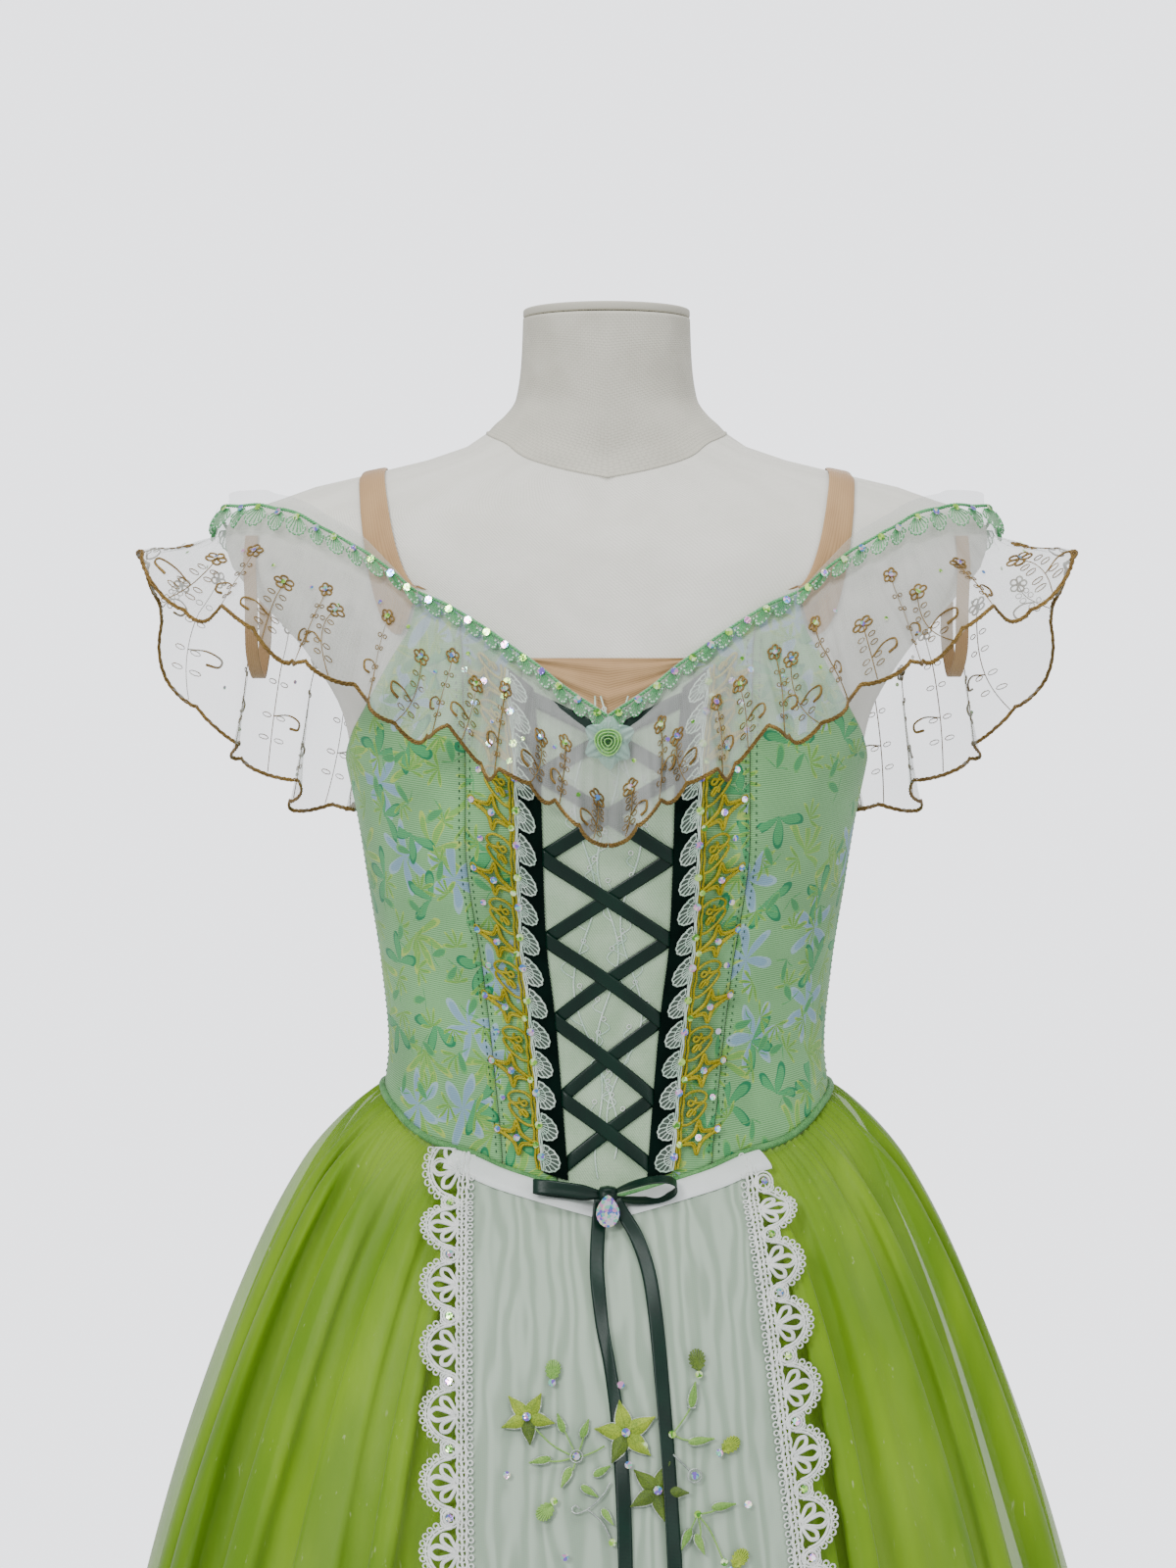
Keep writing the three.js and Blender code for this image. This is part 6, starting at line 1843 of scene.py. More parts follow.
@dataclass
class NeckTrim:
    """Mint lace fans with a satin edge and round stones along the neckline."""

    pitch: float = 12.5
    top: float = 1.2
    depth: float = 9.2

    def place(self, sign: float, wavy: bool) -> Surface:
        """Args: sign: side. wavy: the sleeve's trim, sewn in waves. Returns: its surface."""

        def at(along: Array, out: Array, lift: Array | float) -> Array:
            """Args: along: the neckline. out: down from its edge. lift: height. Returns: points."""
            angle = RUFFLE.angle(along)
            z = NECK_PATH(angle) - self.top - out
            wave = (1 + np.sin(2 * np.pi * along / 25)) if wavy else 0
            return BODY.point(sign * angle, z, 6.6 + lift + wave * (0.5 + 0.14 * out))

        return at

    def build(self) -> None:
        """Adds the trim of both sides, in front, sleeve and back pieces."""
        stones = Stones()
        for sign, side in SIDES:
            for name, start, end in zip(("front", "sleeve", "back"), RUFFLE_SEAMS, RUFFLE_SEAMS[1:]):
                ends = float(RUFFLE.along(start) + 0.6), float(RUFFLE.along(end) - 0.6)
                self.piece(sign, f"neck_trim_{name}_{side}", *ends, name == "sleeve", stones)
        stones.build("neckline_stones")

    def piece(self, sign: float, node: str, first: float, last: float, wavy: bool, stones: Stones) -> None:
        """Args: sign, node: which. first, last: its ends. wavy: as above. stones: where they go."""
        place, threads, veils = self.place(sign, wavy), Threads(), []
        beads: list[tuple[Array, Array]] = []
        along = np.arange(first, last, 0.9)
        for strand in range(2):
            twist = along * 2 * np.pi / 3.4 + strand * np.pi
            threads.add(place(along, 0.6 + 0.5 * np.sin(twist), 0.6 + 0.4 * np.cos(twist)), 0.62)
        count = max(1, round((last - first) / self.pitch))
        pitch = (last - first) / count
        for i in range(count):
            middle = first + (i + 0.5) * pitch
            tips = np.radians(np.linspace(-72, 72, 8))
            reach = self.depth - 1.5 - 1.0 * np.abs(np.sin(tips)) ** 3
            tip = np.column_stack([middle + reach * 0.76 * np.sin(tips), 1.8 + reach * np.cos(tips)])
            for j in range(8):
                spoke = np.array([[middle + 1.5 * np.sin(tips[j]), 1.8], tip[j]])
                threads.add(lay(place, spoke, 0.35), 0.34)
                beads.append(surface_frame(place, tip[j, 0], tip[j, 1], 0.4))
            arcs = [tip[0]]
            for j in range(7):
                push = np.array([np.sin((tips[j] + tips[j + 1]) / 2), np.cos((tips[j] + tips[j + 1]) / 2)])
                arcs += [(tip[j] + tip[j + 1]) / 2 + push * 0.8, tip[j + 1]]
            threads.add(lay(place, smooth_line(arcs, 2), 0.4), 0.42)
            veils.append(self.fan(place, middle))
            stones.add(*surface_frame(place, middle, 2.4, 0.7), 2.05, green=i % 2 == 0)
        finish_piece(node + "_lace", threads.sweep(node + "_lace"), MINT_THREAD, (node,))
        finish_piece(node + "_knots", knotted(node + "_knots", beads, 0.66, 0.1), PICOT_THREAD)
        finish_piece(node + "_veil", merge(node + "_veil", veils), MINT_VEIL)

    def fan(self, place: Surface, middle: float) -> bpy.types.Mesh:
        """Args: place: the surface. middle: the fan's place. Returns: its net."""

        def at(u: Array, v: Array) -> Array:
            """Args: u: round the fan. v: outward. Returns: points."""
            turn = np.radians(u * 150 - 75)
            reach = v * (self.depth - 1.6 - 1.0 * np.abs(np.sin(turn)) ** 3)
            return place(middle + reach * 0.78 * np.sin(turn), 1.6 + reach * np.cos(turn), 0.2)

        return cloth_mesh("fan", (12, 5), at, (0.012, 0.009))


@dataclass
class Rosette:
    """Sheer organza loops with a rolled satin rose on the neckline's point."""

    height: float = 1231
    lift: float = 12.7
    petal_width: float = 5.6
    turns: tuple[float, ...] = (6.4, 5.0, 3.5, 1.9)

    def centre(self) -> Array:
        """Returns: the middle of the rosette, in millimetres."""
        skin = BODY.skin(np.array(0.0), np.array(self.height))
        return np.array([0.0, skin[1] - self.lift, self.height])

    def build(self) -> None:
        """Adds the petals and the rose."""
        middle = self.centre()
        dice = np.random.default_rng(12)
        petals = []
        for i in range(6):
            turn = i * math.pi / 3 + dice.uniform(-0.12, 0.12) + 0.5
            size = dice.uniform(12.6, 14.2)
            shape = self.petal(middle, turn, size, i)
            petals.append(cloth_mesh("petal", (20, 16), shape, (0.02, 0.014), outward=False))
        mesh = merge("rosette_petals", petals)
        petal = finish_piece("rosette_petals", mesh, PETAL, ("organza_petals",))
        cut_of(mesh, 0.015)
        threads = Threads()
        for i in range(6):
            turn = i * math.pi / 3 + 0.5
            steps = np.linspace(0, 1, 5)
            out, reach = 1.6 + 2.2 * np.sin(steps * 3), 12 * steps
            threads.add(middle + stack(np.cos(turn) * reach, -out, np.sin(turn) * reach), 0.25)
        finish_piece("rosette_veins", threads.sweep("rosette_veins"), PICOT_THREAD)
        rose = merge("rolled_rose", [self.layer(middle, r) for r in range(len(self.turns))])
        finish_piece("rolled_rose", thicken(rose, RIBBON), ROSE, ("satin_rose",))

    def petal(self, middle: Array, turn: float, size: float, i: int) -> Place:
        """Args: middle: the rosette's. turn, size, i: of this petal. Returns: its shape."""

        def at(u: Array, v: Array) -> Array:
            """Args: u: across. v: middle to tip. Returns: points."""
            spread = (u - 0.5) * 2
            wide = self.petal_width * np.sin(np.pi * np.clip(v * 0.8 + 0.08, 0, 1)) ** 0.7
            reach = size * v - 1.8 * spread**2 * v
            cup = 2.6 * np.sin(np.pi * v * 0.8) - 1.6 * spread**2 * v
            out = 1.4 + 0.5 * (i % 2) + cup + 0.4 * np.sin(9 * spread + i)
            x = np.cos(turn) * reach - np.sin(turn) * wide * spread
            z = np.sin(turn) * reach + np.cos(turn) * wide * spread
            return middle + stack(x, -out, z)

        return at

    def layer(self, middle: Array, ring: int) -> bpy.types.Mesh:
        """Args: middle: the rosette's. ring: which turn of the roll. Returns: that turn."""
        radius = self.turns[ring]

        def at(u: Array, v: Array) -> Array:
            """Args: u: round. v: up. Returns: points."""
            turn = u * 6.6 + ring * 1.7
            grown = radius * (0.82 + 0.25 * v) * (1 + 0.06 * np.sin(3 * turn))
            out = 2.2 + v * (3.6 + 0.8 * ring) - 0.5 * u
            return middle + stack(grown * np.cos(turn), -out, grown * np.sin(turn))

        return cloth_mesh("turn", (36, 7), at, (0.03, 0.006), outward=False)


# Skirt


@dataclass
class Skirt:
    """Two layers gathered at the basque: sheer chiffon over a deeper net."""

    folds: int = 32
    net_folds: int = 16
    overlap: float = 0.86
    drifts: tuple[tuple[float, int, float], ...] = (
        (0.9, 3, 0.4), (0.6, 7, 2.1), (1.1, 11, 0.9), (0.8, 17, 2.5),
    )
    low_gather: float = 3.6
    net_below: float = 4.6

    def phase(self, angle: Array, folds: int) -> Array:
        """Args: angle: degrees. folds: how many. Returns: the folds' place in radians."""
        turn = np.radians(angle)
        drift = sum(size * np.sin(count * turn + start) for size, count, start in self.drifts)
        return folds * turn + drift

    def overlay(self, u: Array, w: Array) -> Array:
        """Args: u: round. w: waist to hem. Returns: points of the chiffon."""
        angle, v = u * 360 - 180, w**1.5
        p, turn = self.phase(angle, self.folds), np.radians(angle)
        uneven = 1 + 0.25 * np.sin(5 * turn + 1) + 0.2 * np.sin(11 * turn)
        calm = 1 - 0.6 * ease(24, 12, np.abs(angle)) * ease(0.75, 0.5, v)
        depth = SKIRT.fold_depth(v) + self.low_gather * ease(0.0, 0.06, v) * ease(0.5, 0.25, v)
        lift = depth * uneven * calm * np.sin(p)
        second = np.sin(61 * turn + 2.2 * np.sin(5 * turn) + 5 * v)
        lift = lift + 1.2 * calm * second * ease(0.01, 0.12, v) * ease(1.3, 0.3, v)
        gathers = np.sin(149 * turn + 1.7 * np.sin(9 * turn)) + 0.5 * np.sin(97 * turn + 1)
        lift = lift + 0.7 * gathers * np.exp(-v / 0.05) * calm
        reach = self.overlap * calm * ease(0.0, 0.08, v) * (0.75 + 0.3 * np.sin(4 * turn + 0.6))
        sideways = -reach * np.sin(2 * p) / self.folds
        sideways = sideways + 0.012 * ease(0.02, 0.3, v) * np.sin(13 * turn + 9 * v)
        return SKIRT.point(angle + np.degrees(sideways), v, lift + 0.6 * np.exp(-v / 0.02))

    def under(self, u: Array, w: Array) -> Array:
        """Args: u: round. w: waist to hem. Returns: points of the net below."""
        angle, v = u * 360 - 180, 0.0005 + 0.9695 * w**1.4
        fold = np.sin(self.phase(angle, self.net_folds) + 0.8)
        deep = 0.3 + 7 * v**0.7
        lift = deep * fold - (1.4 * (SKIRT.fold_depth(v) + deep) + 2.5 + 6 * v)
        lift = lift - self.net_below * ease(0.02, 0.08, v) * ease(0.55, 0.3, v)
        lift = lift + 0.8 * np.sin(np.radians(angle) * 71) * ease(0.02, 0.1, v)
        return SKIRT.point(angle, v, lift)

    def build(self) -> None:
        """Adds both layers."""
        mesh = cloth_mesh("chiffon_overlay", (840, 92), self.overlay, (2.1, 0.76), ring=True)
        piece = finish_piece("chiffon_overlay", mesh, OVERLAY, ("skirt_overlay",))
        cut_of(mesh, 0.765)
        mesh = cloth_mesh("net_underskirt", (320, 48), self.under, (2.0, 0.74), ring=True)
        piece = finish_piece("net_underskirt", mesh, UNDER, ("underskirt",))
        cut_of(mesh, 0.74)


# Apron


@dataclass
class Apron:
    """Moire organza with a satin band, cut-out lace round it and stitched flowers."""

    length: float = 380
    half_top: float = 70.5
    half_bottom: float = 80
    corner: float = 62
    sway: float = 18
    lace_pitch: float = 32.3
    sway_end: float = 318
    cloth_lift: float = 2.2
    band_angle: float = 37.2
    band_width: float = 13.4

    def middle(self, down: Array) -> Array:
        """Args: down: length down the front. Returns: the middle line's x."""
        return self.sway * np.clip(down / self.sway_end, 0, 1)

    def half(self, down: Array) -> Array:
        """Args: down: length down the front. Returns: half the apron's width."""
        side = blend(self.half_top, self.half_bottom, np.clip(down / self.sway_end, 0, 1))
        into = np.clip(down - (self.length - self.corner), 0, self.corner)
        return side - self.corner + np.sqrt(self.corner**2 - into**2)

    @staticmethod
    def top(x: Array) -> Array:
        """Args: x: across. Returns: how far down the band's lower edge is."""
        edge = SKIRT.band(np.linspace(0, 42, 60), np.full(60, 13.0), 2.2)
        down = np.linspace(0, 30, 60)
        level = SKIRT.skin(np.zeros(60), SKIRT.share_down(down))[:, 2]
        below = np.interp(-edge[:, 2], -level, down)
        below = np.where(edge[:, 2] > level[0], level[0] - edge[:, 2], below)
        return np.interp(np.abs(x), edge[:, 0], below)

    def on(self, x: Array, down: Array, lift: Array | float) -> Array:
        """Args: x: across. down: down the front. lift: over the organza. Returns: points."""
        return SKIRT.over(x, down, self.cloth_lift + lift)

    def cloth(self, u: Array, v: Array) -> Array:
        """Args: u: across. v: down. Returns: points of the organza."""
        down = 4 + (self.length - 4.2) * v
        for _ in range(4):
            x = self.middle(down) + (2 * u - 1) * self.half(down)
            down = blend(self.top(x) - 1.0, self.length - 0.05, v)
        crease = 0.9 * np.sin(x / 11 + 1.3 * np.sin(down / 60)) + 0.6 * np.sin(x / 6.3 + down / 45 + 1)
        pleats = 0.35 * np.exp(-np.maximum(down - self.top(x), 0) / 9) * np.sin(x * 2 * np.pi / 6.2)
        calm = ease(0, 0.1, v) * ease(1, 0.8, np.abs(2 * u - 1))
        return self.on(x, down, 0.4 * crease * calm + pleats - 0.5)

    def outline(self) -> tuple[Array, Array, Array]:
        """Returns: points round the cut edge, its lengths and its outward directions."""
        straight = self.length - self.corner
        side = np.linspace(float(self.top(70.0)) - 6, straight, 60)[:-1]
        rounded = straight + self.corner * np.sin(np.linspace(0, np.pi / 2, 40))
        down = np.concatenate([side, rounded])
        left = np.column_stack([self.middle(down) - self.half(down), down])
        right = np.column_stack([self.middle(down) + self.half(down), down])[::-1]
        line = np.concatenate([left, right])
        line = line[np.concatenate([[True], np.linalg.norm(np.diff(line, axis=0), axis=1) > 0.01])]
        length = lengths_along(line)
        even = np.linspace(0, length[-1], 700)
        line = np.column_stack([np.interp(even, length, line[:, k]) for k in (0, 1)])
        way = unit(np.gradient(line, axis=0))
        return line, even, np.column_stack([-way[:, 1], way[:, 0]])

    def build(self) -> None:
        """Adds the apron."""
        mesh = cloth_mesh("apron_organza", (110, 160), self.cloth, (0.16, 0.38))
        panel = finish_piece("apron_organza", mesh, ORGANZA, ("apron_panel",))
        cut_of(mesh, 0.385)
        band = cloth_mesh("apron_waistband", (140, 14), self.band, (0.18, 0.0135))
        belt = finish_piece("apron_waistband", band, WHITE_SATIN, ("apron_band",))
        cut_of(band, 0.0135)
        self.lace()
        Embroidery(self).build()

    def band(self, u: Array, v: Array) -> Array:
        """Args: u: across. v: down. Returns: points of the satin band."""
        angle = (2 * u - 1) * self.band_angle
        crown = 1 - np.abs(2 * v - 1) ** 6
        ripple = 0.25 * np.sin(angle / 2.1 + 2 * np.sin(angle / 7)) * crown
        return SKIRT.band(angle, 1.0 + self.band_width * v, self.cloth_lift + 1.3 * crown + ripple)

    def lace(self) -> None:
        """Adds the cut-out lace along the apron's edge."""
        line, lengths, outward = self.outline()
        whole, fine, beads, stones = Threads(), Threads(), Threads(), Stones()

        def place(s: Array, out: Array, lift: Array | float) -> Array:
            """Args: s: along the edge. out: from it. lift: height. Returns: points."""
            x = np.interp(s, lengths, line[:, 0]) + out * np.interp(s, lengths, outward[:, 0])
            down = np.interp(s, lengths, line[:, 1]) + out * np.interp(s, lengths, outward[:, 1])
            return self.on(x, down, 0.8 + lift)

        side = 1.0 if outward[10, 0] < 0 else -1.0
        outward *= side
        spine = np.arange(1, lengths[-1] - 1, 1.3)
        for offset, radius in ((0.4, 0.85), (2.6, 0.75), (4.6, 0.7)):
            wave = 0.35 * np.sin(spine * 2 * np.pi / 5.2 + offset * 2)
            whole.add(place(spine, offset + wave, 0.1), radius)
        for s in np.arange(3, lengths[-1] - 2, 4.0):
            ring = ring_line(1.25, 7) + np.array([s, -1.6])
            beads.add(lay(place, ring, 0.0), 0.5, closed=True)
        for s in np.arange(2, lengths[-1] - 2, 2.6):
            whole.add(lay(place, np.array([[s, 0.6], [s + 0.9, 2.6], [s, 4.6]]), 0.0), 0.4)
        first = 7.6
        for i in range(int((lengths[-1] - first) // self.lace_pitch) + 1):
            middle = first + i * self.lace_pitch
            if middle > lengths[-1] - 10:
                break
            self.fan(place, fine, beads, middle)
            eye = middle + self.lace_pitch / 2
            if eye < lengths[-1] - 4:
                for radius, size in ((3.0, 0.75), (4.4, 0.55)):
                    ring = ring_line(radius, 14) + np.array([eye, 8.0])
                    whole.add(lay(place, ring, 0.1), size, closed=True)
                stones.add(*surface_frame(place, eye, 8.0, 0.5), 1.9, green=i % 2 == 0)
        mesh = whole.sweep("apron_edge_lace", 1)
        finish_piece("apron_edge_lace", mesh, WHITE_THREAD, ("apron_lace",))
        finish_piece("apron_edge_fans", fine.sweep("apron_edge_fans", 1), WHITE_THREAD)
        finish_piece("apron_edge_rings", beads.sweep("apron_edge_rings"), WHITE_THREAD)
        stones.build("apron_edge_stones")

    @staticmethod
    def fan(place: Surface, fine: Threads, beads: Threads, middle: float) -> None:
        """Args: place: the edge. fine, beads: its cords and rings. middle: the fan's place."""
        foot = np.array([middle, 5.4])
        tear = [(0.0, 0), (0.45, 0.42), (0.78, 0.5), (1.0, 0.0), (0.78, -0.5), (0.45, -0.42)]
        for turn, length, width in ((0, 10.6, 4.6), (-46, 8.6, 3.4), (46, 8.6, 3.4)):
            way = np.array([math.sin(math.radians(turn)), math.cos(math.radians(turn))])
            across = np.array([way[1], -way[0]])
            start = foot + way * 1.2 + across * turn / 46 * 0.9
            for grow, radius in ((1.0, 0.72), (1.42, 0.62)):
                stretch = 1 + (grow - 1) * 0.45
                shape = [
                    start + way * length * ((a - 0.5) * stretch + 0.5) + across * width * grow * b
                    for a, b in tear
                ]
                fine.add(lay(place, smooth_line(shape, 3, closed=True), 0.15), radius, closed=True)
        turns = np.radians(np.linspace(-84, 84, 13))

        def arch(a: float, b: float) -> Array:
            """Args: a, b: half its width, and its height. Returns: flat points along it."""
            return np.column_stack([middle + a * np.sin(turns), 6.0 + b * np.cos(turns)])

        for a, b, radius in ((11.6, 12.4, 0.7), (12.9, 13.8, 0.55)):
            fine.add(lay(place, smooth_line(arch(a, b), 2), 0.1), radius)
        for centre in arch(14.5, 15.6):
            beads.add(lay(place, ring_line(1.35, 8) + centre, 0.05), 0.5, closed=True)
        for low, high in zip(arch(11.6, 12.4), arch(14.0, 15.0)):
            fine.add(lay(place, np.array([low, high]), 0.1), 0.5)


@dataclass
class Embroidery:
    """Raised flowers, leaves, tufts and couched stems on the apron."""

    apron: Apron
    lime: Threads = field(default_factory=Threads)
    olive: Threads = field(default_factory=Threads)
    pale: Threads = field(default_factory=Threads)
    silver: Threads = field(default_factory=Threads)
    stones: Stones = field(default_factory=Stones)
    # Flowers: x, length down, size, turn and thread. The rest is in pixels of an enlarged crop.
    flowers: tuple[tuple[float, float, float, float, str], ...] = (
        (-38.6, 115.4, 12.5, 0.2, "lime"), (8.5, 122.5, 15.0, 0.75, "lime"),
        (23.0, 149.5, 14.0, 0.1, "olive"),
    )
    stems: tuple[Route, ...] = (
        ((455, 290), (520, 350), (601, 387), (660, 372), (700, 350)),
        ((475, 403), (540, 405), (601, 387)), ((565, 460), (590, 430), (601, 387)),
        ((945, 310), (990, 250), (1015, 205), (1022, 170)), ((945, 310), (990, 330), (1045, 335)),
        ((1030, 597), (1080, 590), (1120, 572)), ((1030, 597), (1010, 640), (990, 680)),
        ((1030, 597), (1040, 650), (1037, 700)), ((1030, 597), (1075, 660), (1120, 770)),
        ((545, 270), (575, 330), (601, 387)), ((630, 290), (620, 340), (601, 387)),
    )
    couched: tuple[Route, ...] = (
        ((725, 480), (690, 530), (640, 575), (600, 590), (585, 575), (598, 562), (612, 572)),
        ((640, 575), (690, 620), (732, 692)), ((1000, 210), (1015, 216), (1030, 213)),
        ((945, 380), (985, 420), (1022, 460)),
    )
    leaves: tuple[tuple[float, float, float, float, float], ...] = (
        (545, 270, -1.9, 9, 2.0), (630, 290, -1.2, 9, 2.0), (475, 403, 2.9, 10, 2.0),
        (565, 460, 2.0, 10, 2.2), (645, 510, 0.6, 9, 1.9), (690, 440, -0.5, 9, 2.0),
        (712, 600, 0.9, 9, 1.9), (1022, 170, -1.4, 12, 2.2), (1045, 335, -0.1, 12, 2.2),
        (1120, 572, -0.1, 11, 2.2), (990, 680, 2.0, 10, 2.1), (1037, 700, 1.2, 10, 2.1),
    )
    tufts: tuple[tuple[float, float, float, float, str], ...] = (
        (513, 112, -1.5, 10, "pale"), (1043, 82, -1.7, 11, "olive"), (1118, 378, -0.6, 10, "lime"),
        (518, 556, 2.3, 10, "pale"), (1150, 790, -0.9, 10, "lime"),
    )
    clear_stones: Route = (
        (513, 122), (601, 387), (358, 460), (1207, 572), (563, 743), (790, 418), (765, 130),
        (1110, 383), (1140, 800), (1022, 460),
    )
    green_stones: Route = (
        (1043, 95), (945, 310), (1030, 597), (732, 692), (845, 350), (523, 548), (1120, 770),
    )
    crop_left: float = -95.1
    crop_top: float = 82.7
    crop_across: float = 0.13258
    crop_down: float = 0.1311

    def spot(self, cx: float, cy: float) -> Array:
        """Args: cx, cy: pixels of the crop. Returns: x and length down, in millimetres."""
        return np.array([self.crop_across * cx + self.crop_left, self.crop_top + self.crop_down * cy])

    def on(self, points: Array, lift: Array | float) -> Array:
        """Args: points: flat ones. lift: height. Returns: points on the apron."""
        return self.apron.on(points[:, 0], points[:, 1], 1.2 + lift)

    def petal(
        self, root: Array, turn: float, length: float, width: float, threads: Threads, rise: float
    ) -> None:
        """Args: root, turn, length, width: its shape. threads: its stitches. rise: its padding."""
        way = np.array([math.cos(turn), math.sin(turn)])
        across = np.array([-way[1], way[0]])
        rows = max(6, round(length / 0.62))
        for t in (np.arange(rows) + 0.5) / rows:
            wide = width * math.sin(math.pi * t**0.8) ** 0.8 * (1 - 0.35 * t)
            for side in (-1, 1):
                steps = np.linspace(0, 1, 4)[:, None]
                line = root + way * (t * length - 0.99 * steps + 0.9) + across * side * wide * steps
                height = rise * np.sin(np.pi * (0.5 + 0.5 * steps[:, 0])) + 0.1
                threads.add(self.on(line, height), 0.42)
        t = np.linspace(0, 1, 12)
        wide = width * np.sin(np.pi * t**0.8) ** 0.8 * (1 - 0.35 * t) + 0.25
        one = root + way * t[:, None] * length + across * wide[:, None]
        two = root + way * t[:, None] * length - across * wide[:, None]
        self.silver.add(self.on(np.concatenate([one, two[::-1]]), 0.1), 0.45)

    def flower(self, centre: Array, size: float, turn: float, threads: Threads, dark: int = 1) -> None:
        """Args: centre, size, turn: which flower. threads: its stitches. dark: its darker petal."""
        for i in range(5):
            chosen = self.olive if i == dark else threads
            self.petal(centre, turn + i * 2 * math.pi / 5, size, size * 0.3, chosen, 1.4)
        self.ring(centre, 2.6, self.silver)
        self.stone(centre, 2.2, 1.6)

    def ring(self, centre: Array, radius: float, threads: Threads) -> None:
        """Args: centre, radius: of a couched ring. threads: its cord."""
        threads.add(self.on(ring_line(radius, 14) + centre, 0.5), 0.5, closed=True)

    def stone(self, centre: Array, size: float, lift: float = 0.4, green: bool = False) -> None:
        """Args: centre, size, lift, green: of a stone."""
        spot = surface_frame(self.apron.on, float(centre[0]), float(centre[1]), 1.0 + lift)
        self.stones.add(*spot, size, green)

    def tuft(self, root: Array, turn: float, size: float, threads: Threads) -> None:
        """Args: root, turn, size: of a tuft. threads: its strands."""
        for i in range(13):
            lean = turn + (i - 6) * 0.11
            steps = np.linspace(0, 1, 5)[:, None]
            reach = size * (1 - 0.018 * (i - 6) ** 2)
            way = np.array([math.cos(lean), math.sin(lean)])
            bend = np.array([-way[1], way[0]]) * (i - 6) * 0.12
            line = root + way * reach * steps + bend * steps**2
            height = 0.2 + 1.2 * np.sin(np.pi * steps[:, 0] * 0.8)
            threads.add(self.on(line, height), np.linspace(0.3, 0.62, 5))

    def stem(self, spots: Route, threads: Threads, radius: float) -> None:
        """Args: spots: pixels of the crop. threads, radius: its cord."""
        line = smooth_line([self.spot(*s) for s in spots], 5)
        threads.add(self.on(line, 0.3), radius)

    def build(self) -> None:
        """Adds all the stitching."""
        threads = {"lime": self.lime, "olive": self.olive, "pale": self.pale}
        for x, down, size, turn, kind in self.flowers:
            self.flower(np.array([x, down]), size, turn, threads[kind])
        for route in self.stems:
            self.stem(route, self.pale, 0.48)
        for route in self.couched:
            self.stem(route, self.silver, 0.55)
        for cx, cy, turn, length, width in self.leaves:
            root = self.spot(cx, cy) - 0.5 * length * np.array([math.cos(turn), math.sin(turn)])
            self.petal(root, turn, length, width, self.pale, 0.7)
        for cx, cy, turn, size, kind in self.tufts:
            self.tuft(self.spot(cx, cy), turn, size, threads[kind])
        for spots, green in ((self.clear_stones, False), (self.green_stones, True)):
            for spot in spots:
                self.stone(self.spot(*spot), 1.9, 0.5, green)
        self.ring(self.spot(1022, 460), 3.2, self.silver)
        self.ring(self.spot(601, 387), 2.9, self.silver)
        nodes = ("applique_flower_1", "applique_flower_2", "applique_flower_3")
        finish_piece("lime_stitching", self.lime.sweep("lime_stitching"), STITCH, nodes)
        finish_piece("olive_stitching", self.olive.sweep("olive_stitching"), OLIVE_STITCH)
        finish_piece("pale_stitching", self.pale.sweep("pale_stitching"), PALE_STITCH)
        finish_piece("silver_couching", self.silver.sweep("silver_couching"), SILVER)
        self.stones.build("apron_stones")


# Bow


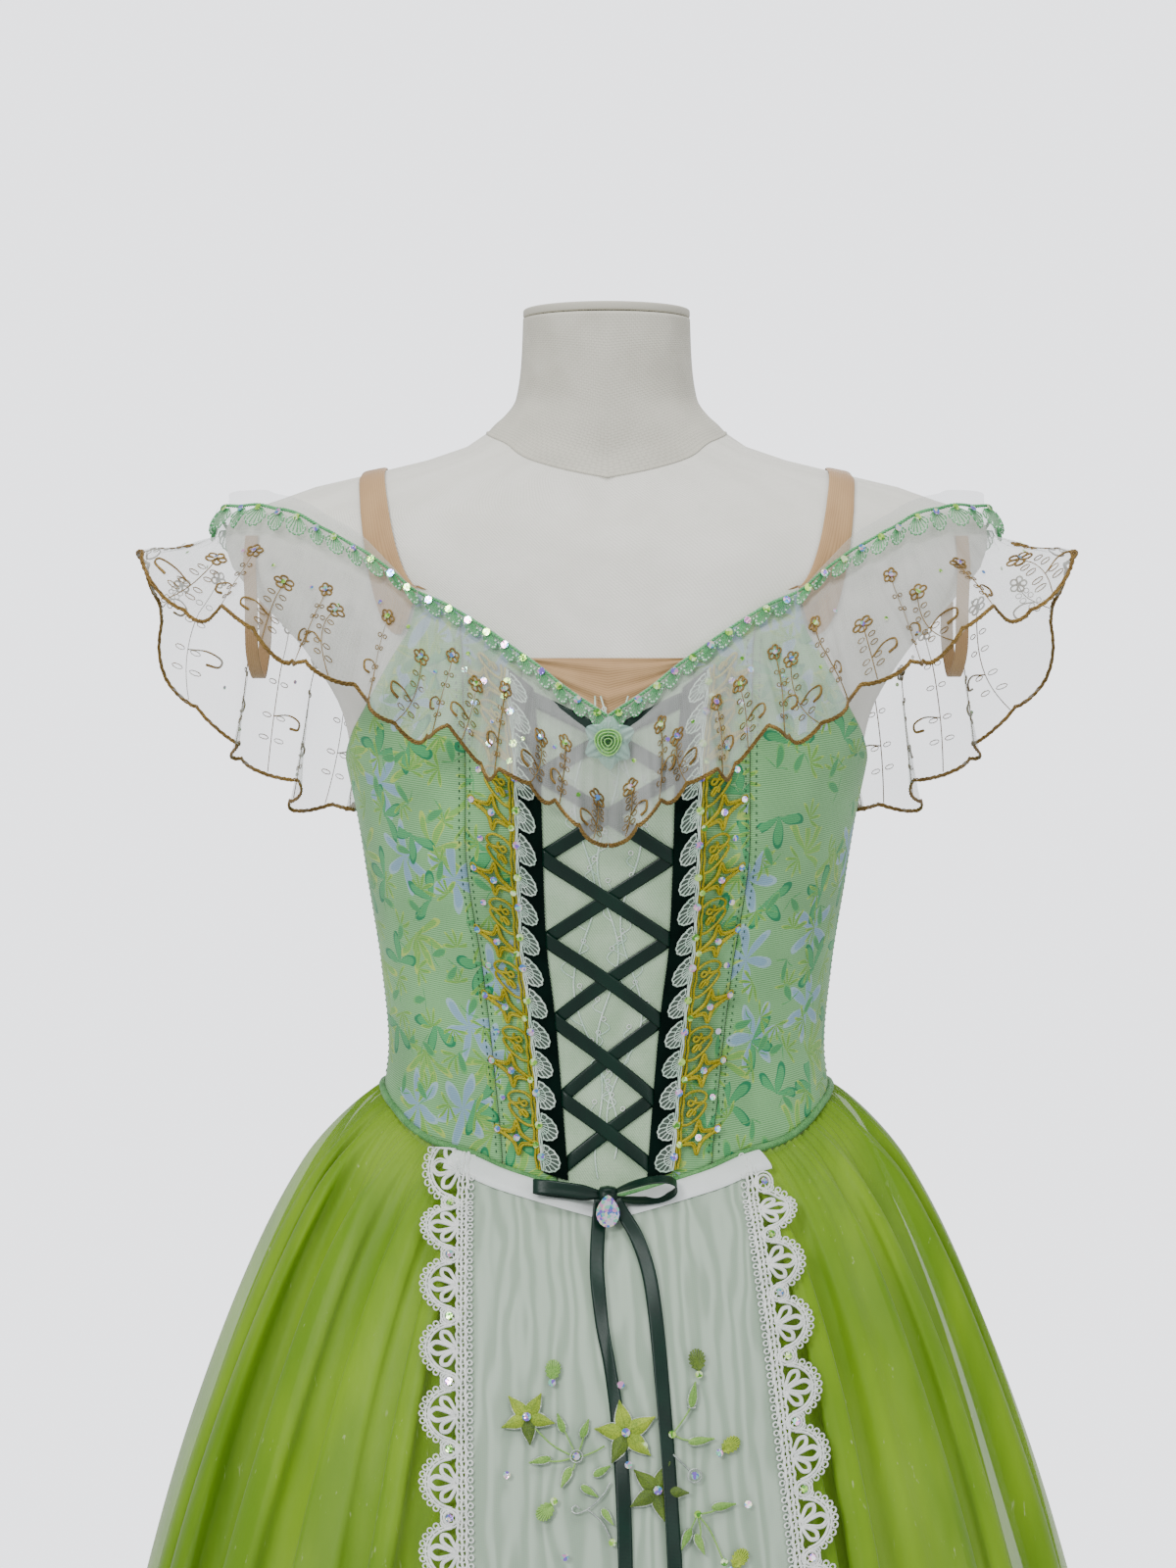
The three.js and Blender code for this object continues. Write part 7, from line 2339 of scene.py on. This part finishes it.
@dataclass
class Bow:
    """Satin bow on the basque's point: two loops, knot, two tails and a pear crystal."""

    height: float = 1001
    width: float = 7.0
    tail_length: float = 320.0
    tail_start: float = 8.0
    loop_out: float = 17.5
    knot_out: float = 18.6
    crystal_out: float = 24.6

    def at(self, x: Array, up: Array, out: Array) -> Array:
        """Args: x: across. up: over the bow's middle. out: off the form. Returns: points."""
        skin = BODY.skin(np.zeros_like(np.asarray(up, float)), self.height + up)
        return stack(x, skin[..., 1] - out, self.height + up)

    def tails(self) -> None:
        """Adds the two ribbon tails."""
        routes = {
            "left": SmoothTable({8: -5.2, 40: -6.2, 68: -3.6, 89: 0.4, 123: 5.2, 162: 7.4, 320: 10}),
            "right": SmoothTable({8: 5.4, 24.5: 14.5, 47: 20.8, 68: 23.4, 109: 26.5, 149: 29, 320: 36}),
        }
        for side, route in routes.items():
            sign = -1 if side == "left" else 1

            def at(u: Array, v: Array, route: SmoothTable = route, sign: int = sign) -> Array:
                """Args: u: across. v: down. Returns: points of the tail."""
                down = blend(self.tail_start, self.tail_length, v) - 7 * v**20 * (u - 0.5) * sign
                lean = (route(down + 1) - route(down - 1)) / 2
                turn = 0.35 * np.sin(down / 37 + sign) * ease(0, 0.1, v)
                offset = (u - 0.5) * self.width
                lift = 4.2 + 7 * np.exp(-(down - self.tail_start) / 7)
                lift = lift + 0.9 * np.sin(down / 21 + sign) * ease(0, 0.15, v)
                x = route(down) + offset * np.cos(turn) / np.sqrt(1 + lean**2)
                down = down - offset * lean / np.sqrt(1 + lean**2)
                return SKIRT.over(x, down, lift + offset * np.sin(turn))

            mesh = cloth_mesh(f"ribbon_tail_{side}", (6, 170), at, (0.007, 0.31))
            thicken(mesh, RIBBON)
            tail = finish_piece(f"ribbon_tail_{side}", mesh, DARK_SATIN, (f"bow_tail_{side}",))
            middle = at(np.full(170, 0.5), np.linspace(0, 1, 170)) * MM
            length = float(lengths_along(middle)[-1])
            log.info("tail %s is %.3f m long", side, length)

    def loop(self, sign: float, tilt: float, reach: float, open_by: float) -> Place:
        """Args: sign: side. tilt: its turn. reach: length. open_by: half its opening. Returns: shape."""

        def at(u: Array, v: Array) -> Array:
            """Args: u: round the loop. v: across the ribbon. Returns: points."""
            turn = 2 * np.pi * u
            x = reach * (0.5 - 0.5 * np.cos(turn))
            opening = open_by * np.sin(turn) * (0.45 + 0.55 * x / reach)
            pinch = 0.55 + 0.45 * ease(0, 12, x)
            across = (v - 0.5) * self.width * pinch
            lean = math.radians(tilt)
            out = self.loop_out + opening * math.cos(lean) + across * math.sin(lean)
            out = out + 0.4 * np.sin(9 * v) * (1 - x / reach)
            up = opening * math.sin(lean) - across * math.cos(lean) + 0.12 * x
            return self.at(sign * (x + 2), up, out)

        return at

    def knot(self, u: Array, v: Array) -> Array:
        """Args: u: round. v: up. Returns: points of the knot."""
        turn = 2 * np.pi * u
        wide = 1 - 0.35 * np.abs(2 * v - 1) ** 3
        x = 4.9 * np.sign(np.sin(turn)) * np.abs(np.sin(turn)) ** 0.7 * wide
        out = 4.6 * np.cos(turn) * wide + 0.35 * np.sin(v * 16 + 2 * turn)
        close = np.clip(np.minimum(v, 1 - v) / 0.1, 0, 1)
        return self.at(x * close, (v - 0.5) * 10, self.knot_out + out * close)

    def crystal(self) -> bpy.types.Mesh:
        """Returns: the faceted pear crystal."""
        cut = bmesh.new()
        bmesh.ops.create_circle(cut, cap_ends=True, segments=18, radius=1.0)
        for vert in cut.verts:
            high = vert.co.y
            stretch = 9.0 if high < 0 else 10.5
            vert.co.x *= 6.0 * (1 - 0.42 * max(0.0, high) ** 1.4)
            vert.co.y *= stretch * 0.82
        face = cut.faces[:]
        bmesh.ops.inset_region(cut, faces=face, thickness=0.05, depth=1.3)
        bmesh.ops.inset_region(cut, faces=face, thickness=1.5, depth=1.5)
        bmesh.ops.inset_region(cut, faces=face, thickness=1.1, depth=0.5)
        mesh = kept("pear_crystal", cut)
        points = read_points(mesh)
        placed = self.at(points[:, 0], points[:, 1] - 6.5, self.crystal_out + points[:, 2])
        write_points(mesh, placed * MM)
        face_outward(mesh)
        return mesh

    def build(self) -> None:
        """Adds loops, knot and crystal."""
        shapes = (("left", -1, 20.0, 36.0, 5.4), ("right", 1, 68.0, 33.0, 7.4))
        for side, sign, tilt, reach, open_by in shapes:
            shape = self.loop(sign, tilt, reach, open_by)
            mesh = thicken(cloth_mesh("loop", (70, 8), shape, (0.08, 0.007), outward=False), RIBBON)
            piece = finish_piece(f"ribbon_loop_{side}", mesh, DARK_SATIN, (f"bow_loop_{side}",))
            cut_of(mesh, 0.01, 2)
        knot = cloth_mesh("ribbon_knot", (36, 20), self.knot, (0.03, 0.01), ring=True)
        finish_piece("ribbon_knot", knot, DARK_SATIN, ("bow_knot",))
        finish_piece("pear_crystal", self.crystal(), CLEAR, ("bow_crystal",), smooth=False)


def main() -> None:
    """Builds the scene in order, and reports each piece."""
    logging.basicConfig(level=logging.INFO, format="%(relativeCreated)6d ms %(message)s")
    studio = Studio()
    studio.camera()
    bow = Bow()
    bow.tails()
    dress = (Bodice(), NudePieces(), FrontTrims(), Lacing(), Ruffle(), NeckTrim(), Rosette())
    for part in (DressForm(), *dress, Skirt(), Apron(), bow):
        part.build()
        log.info("%s built", type(part).__name__)
    studio.build()


if __name__ == "__main__":
    main()
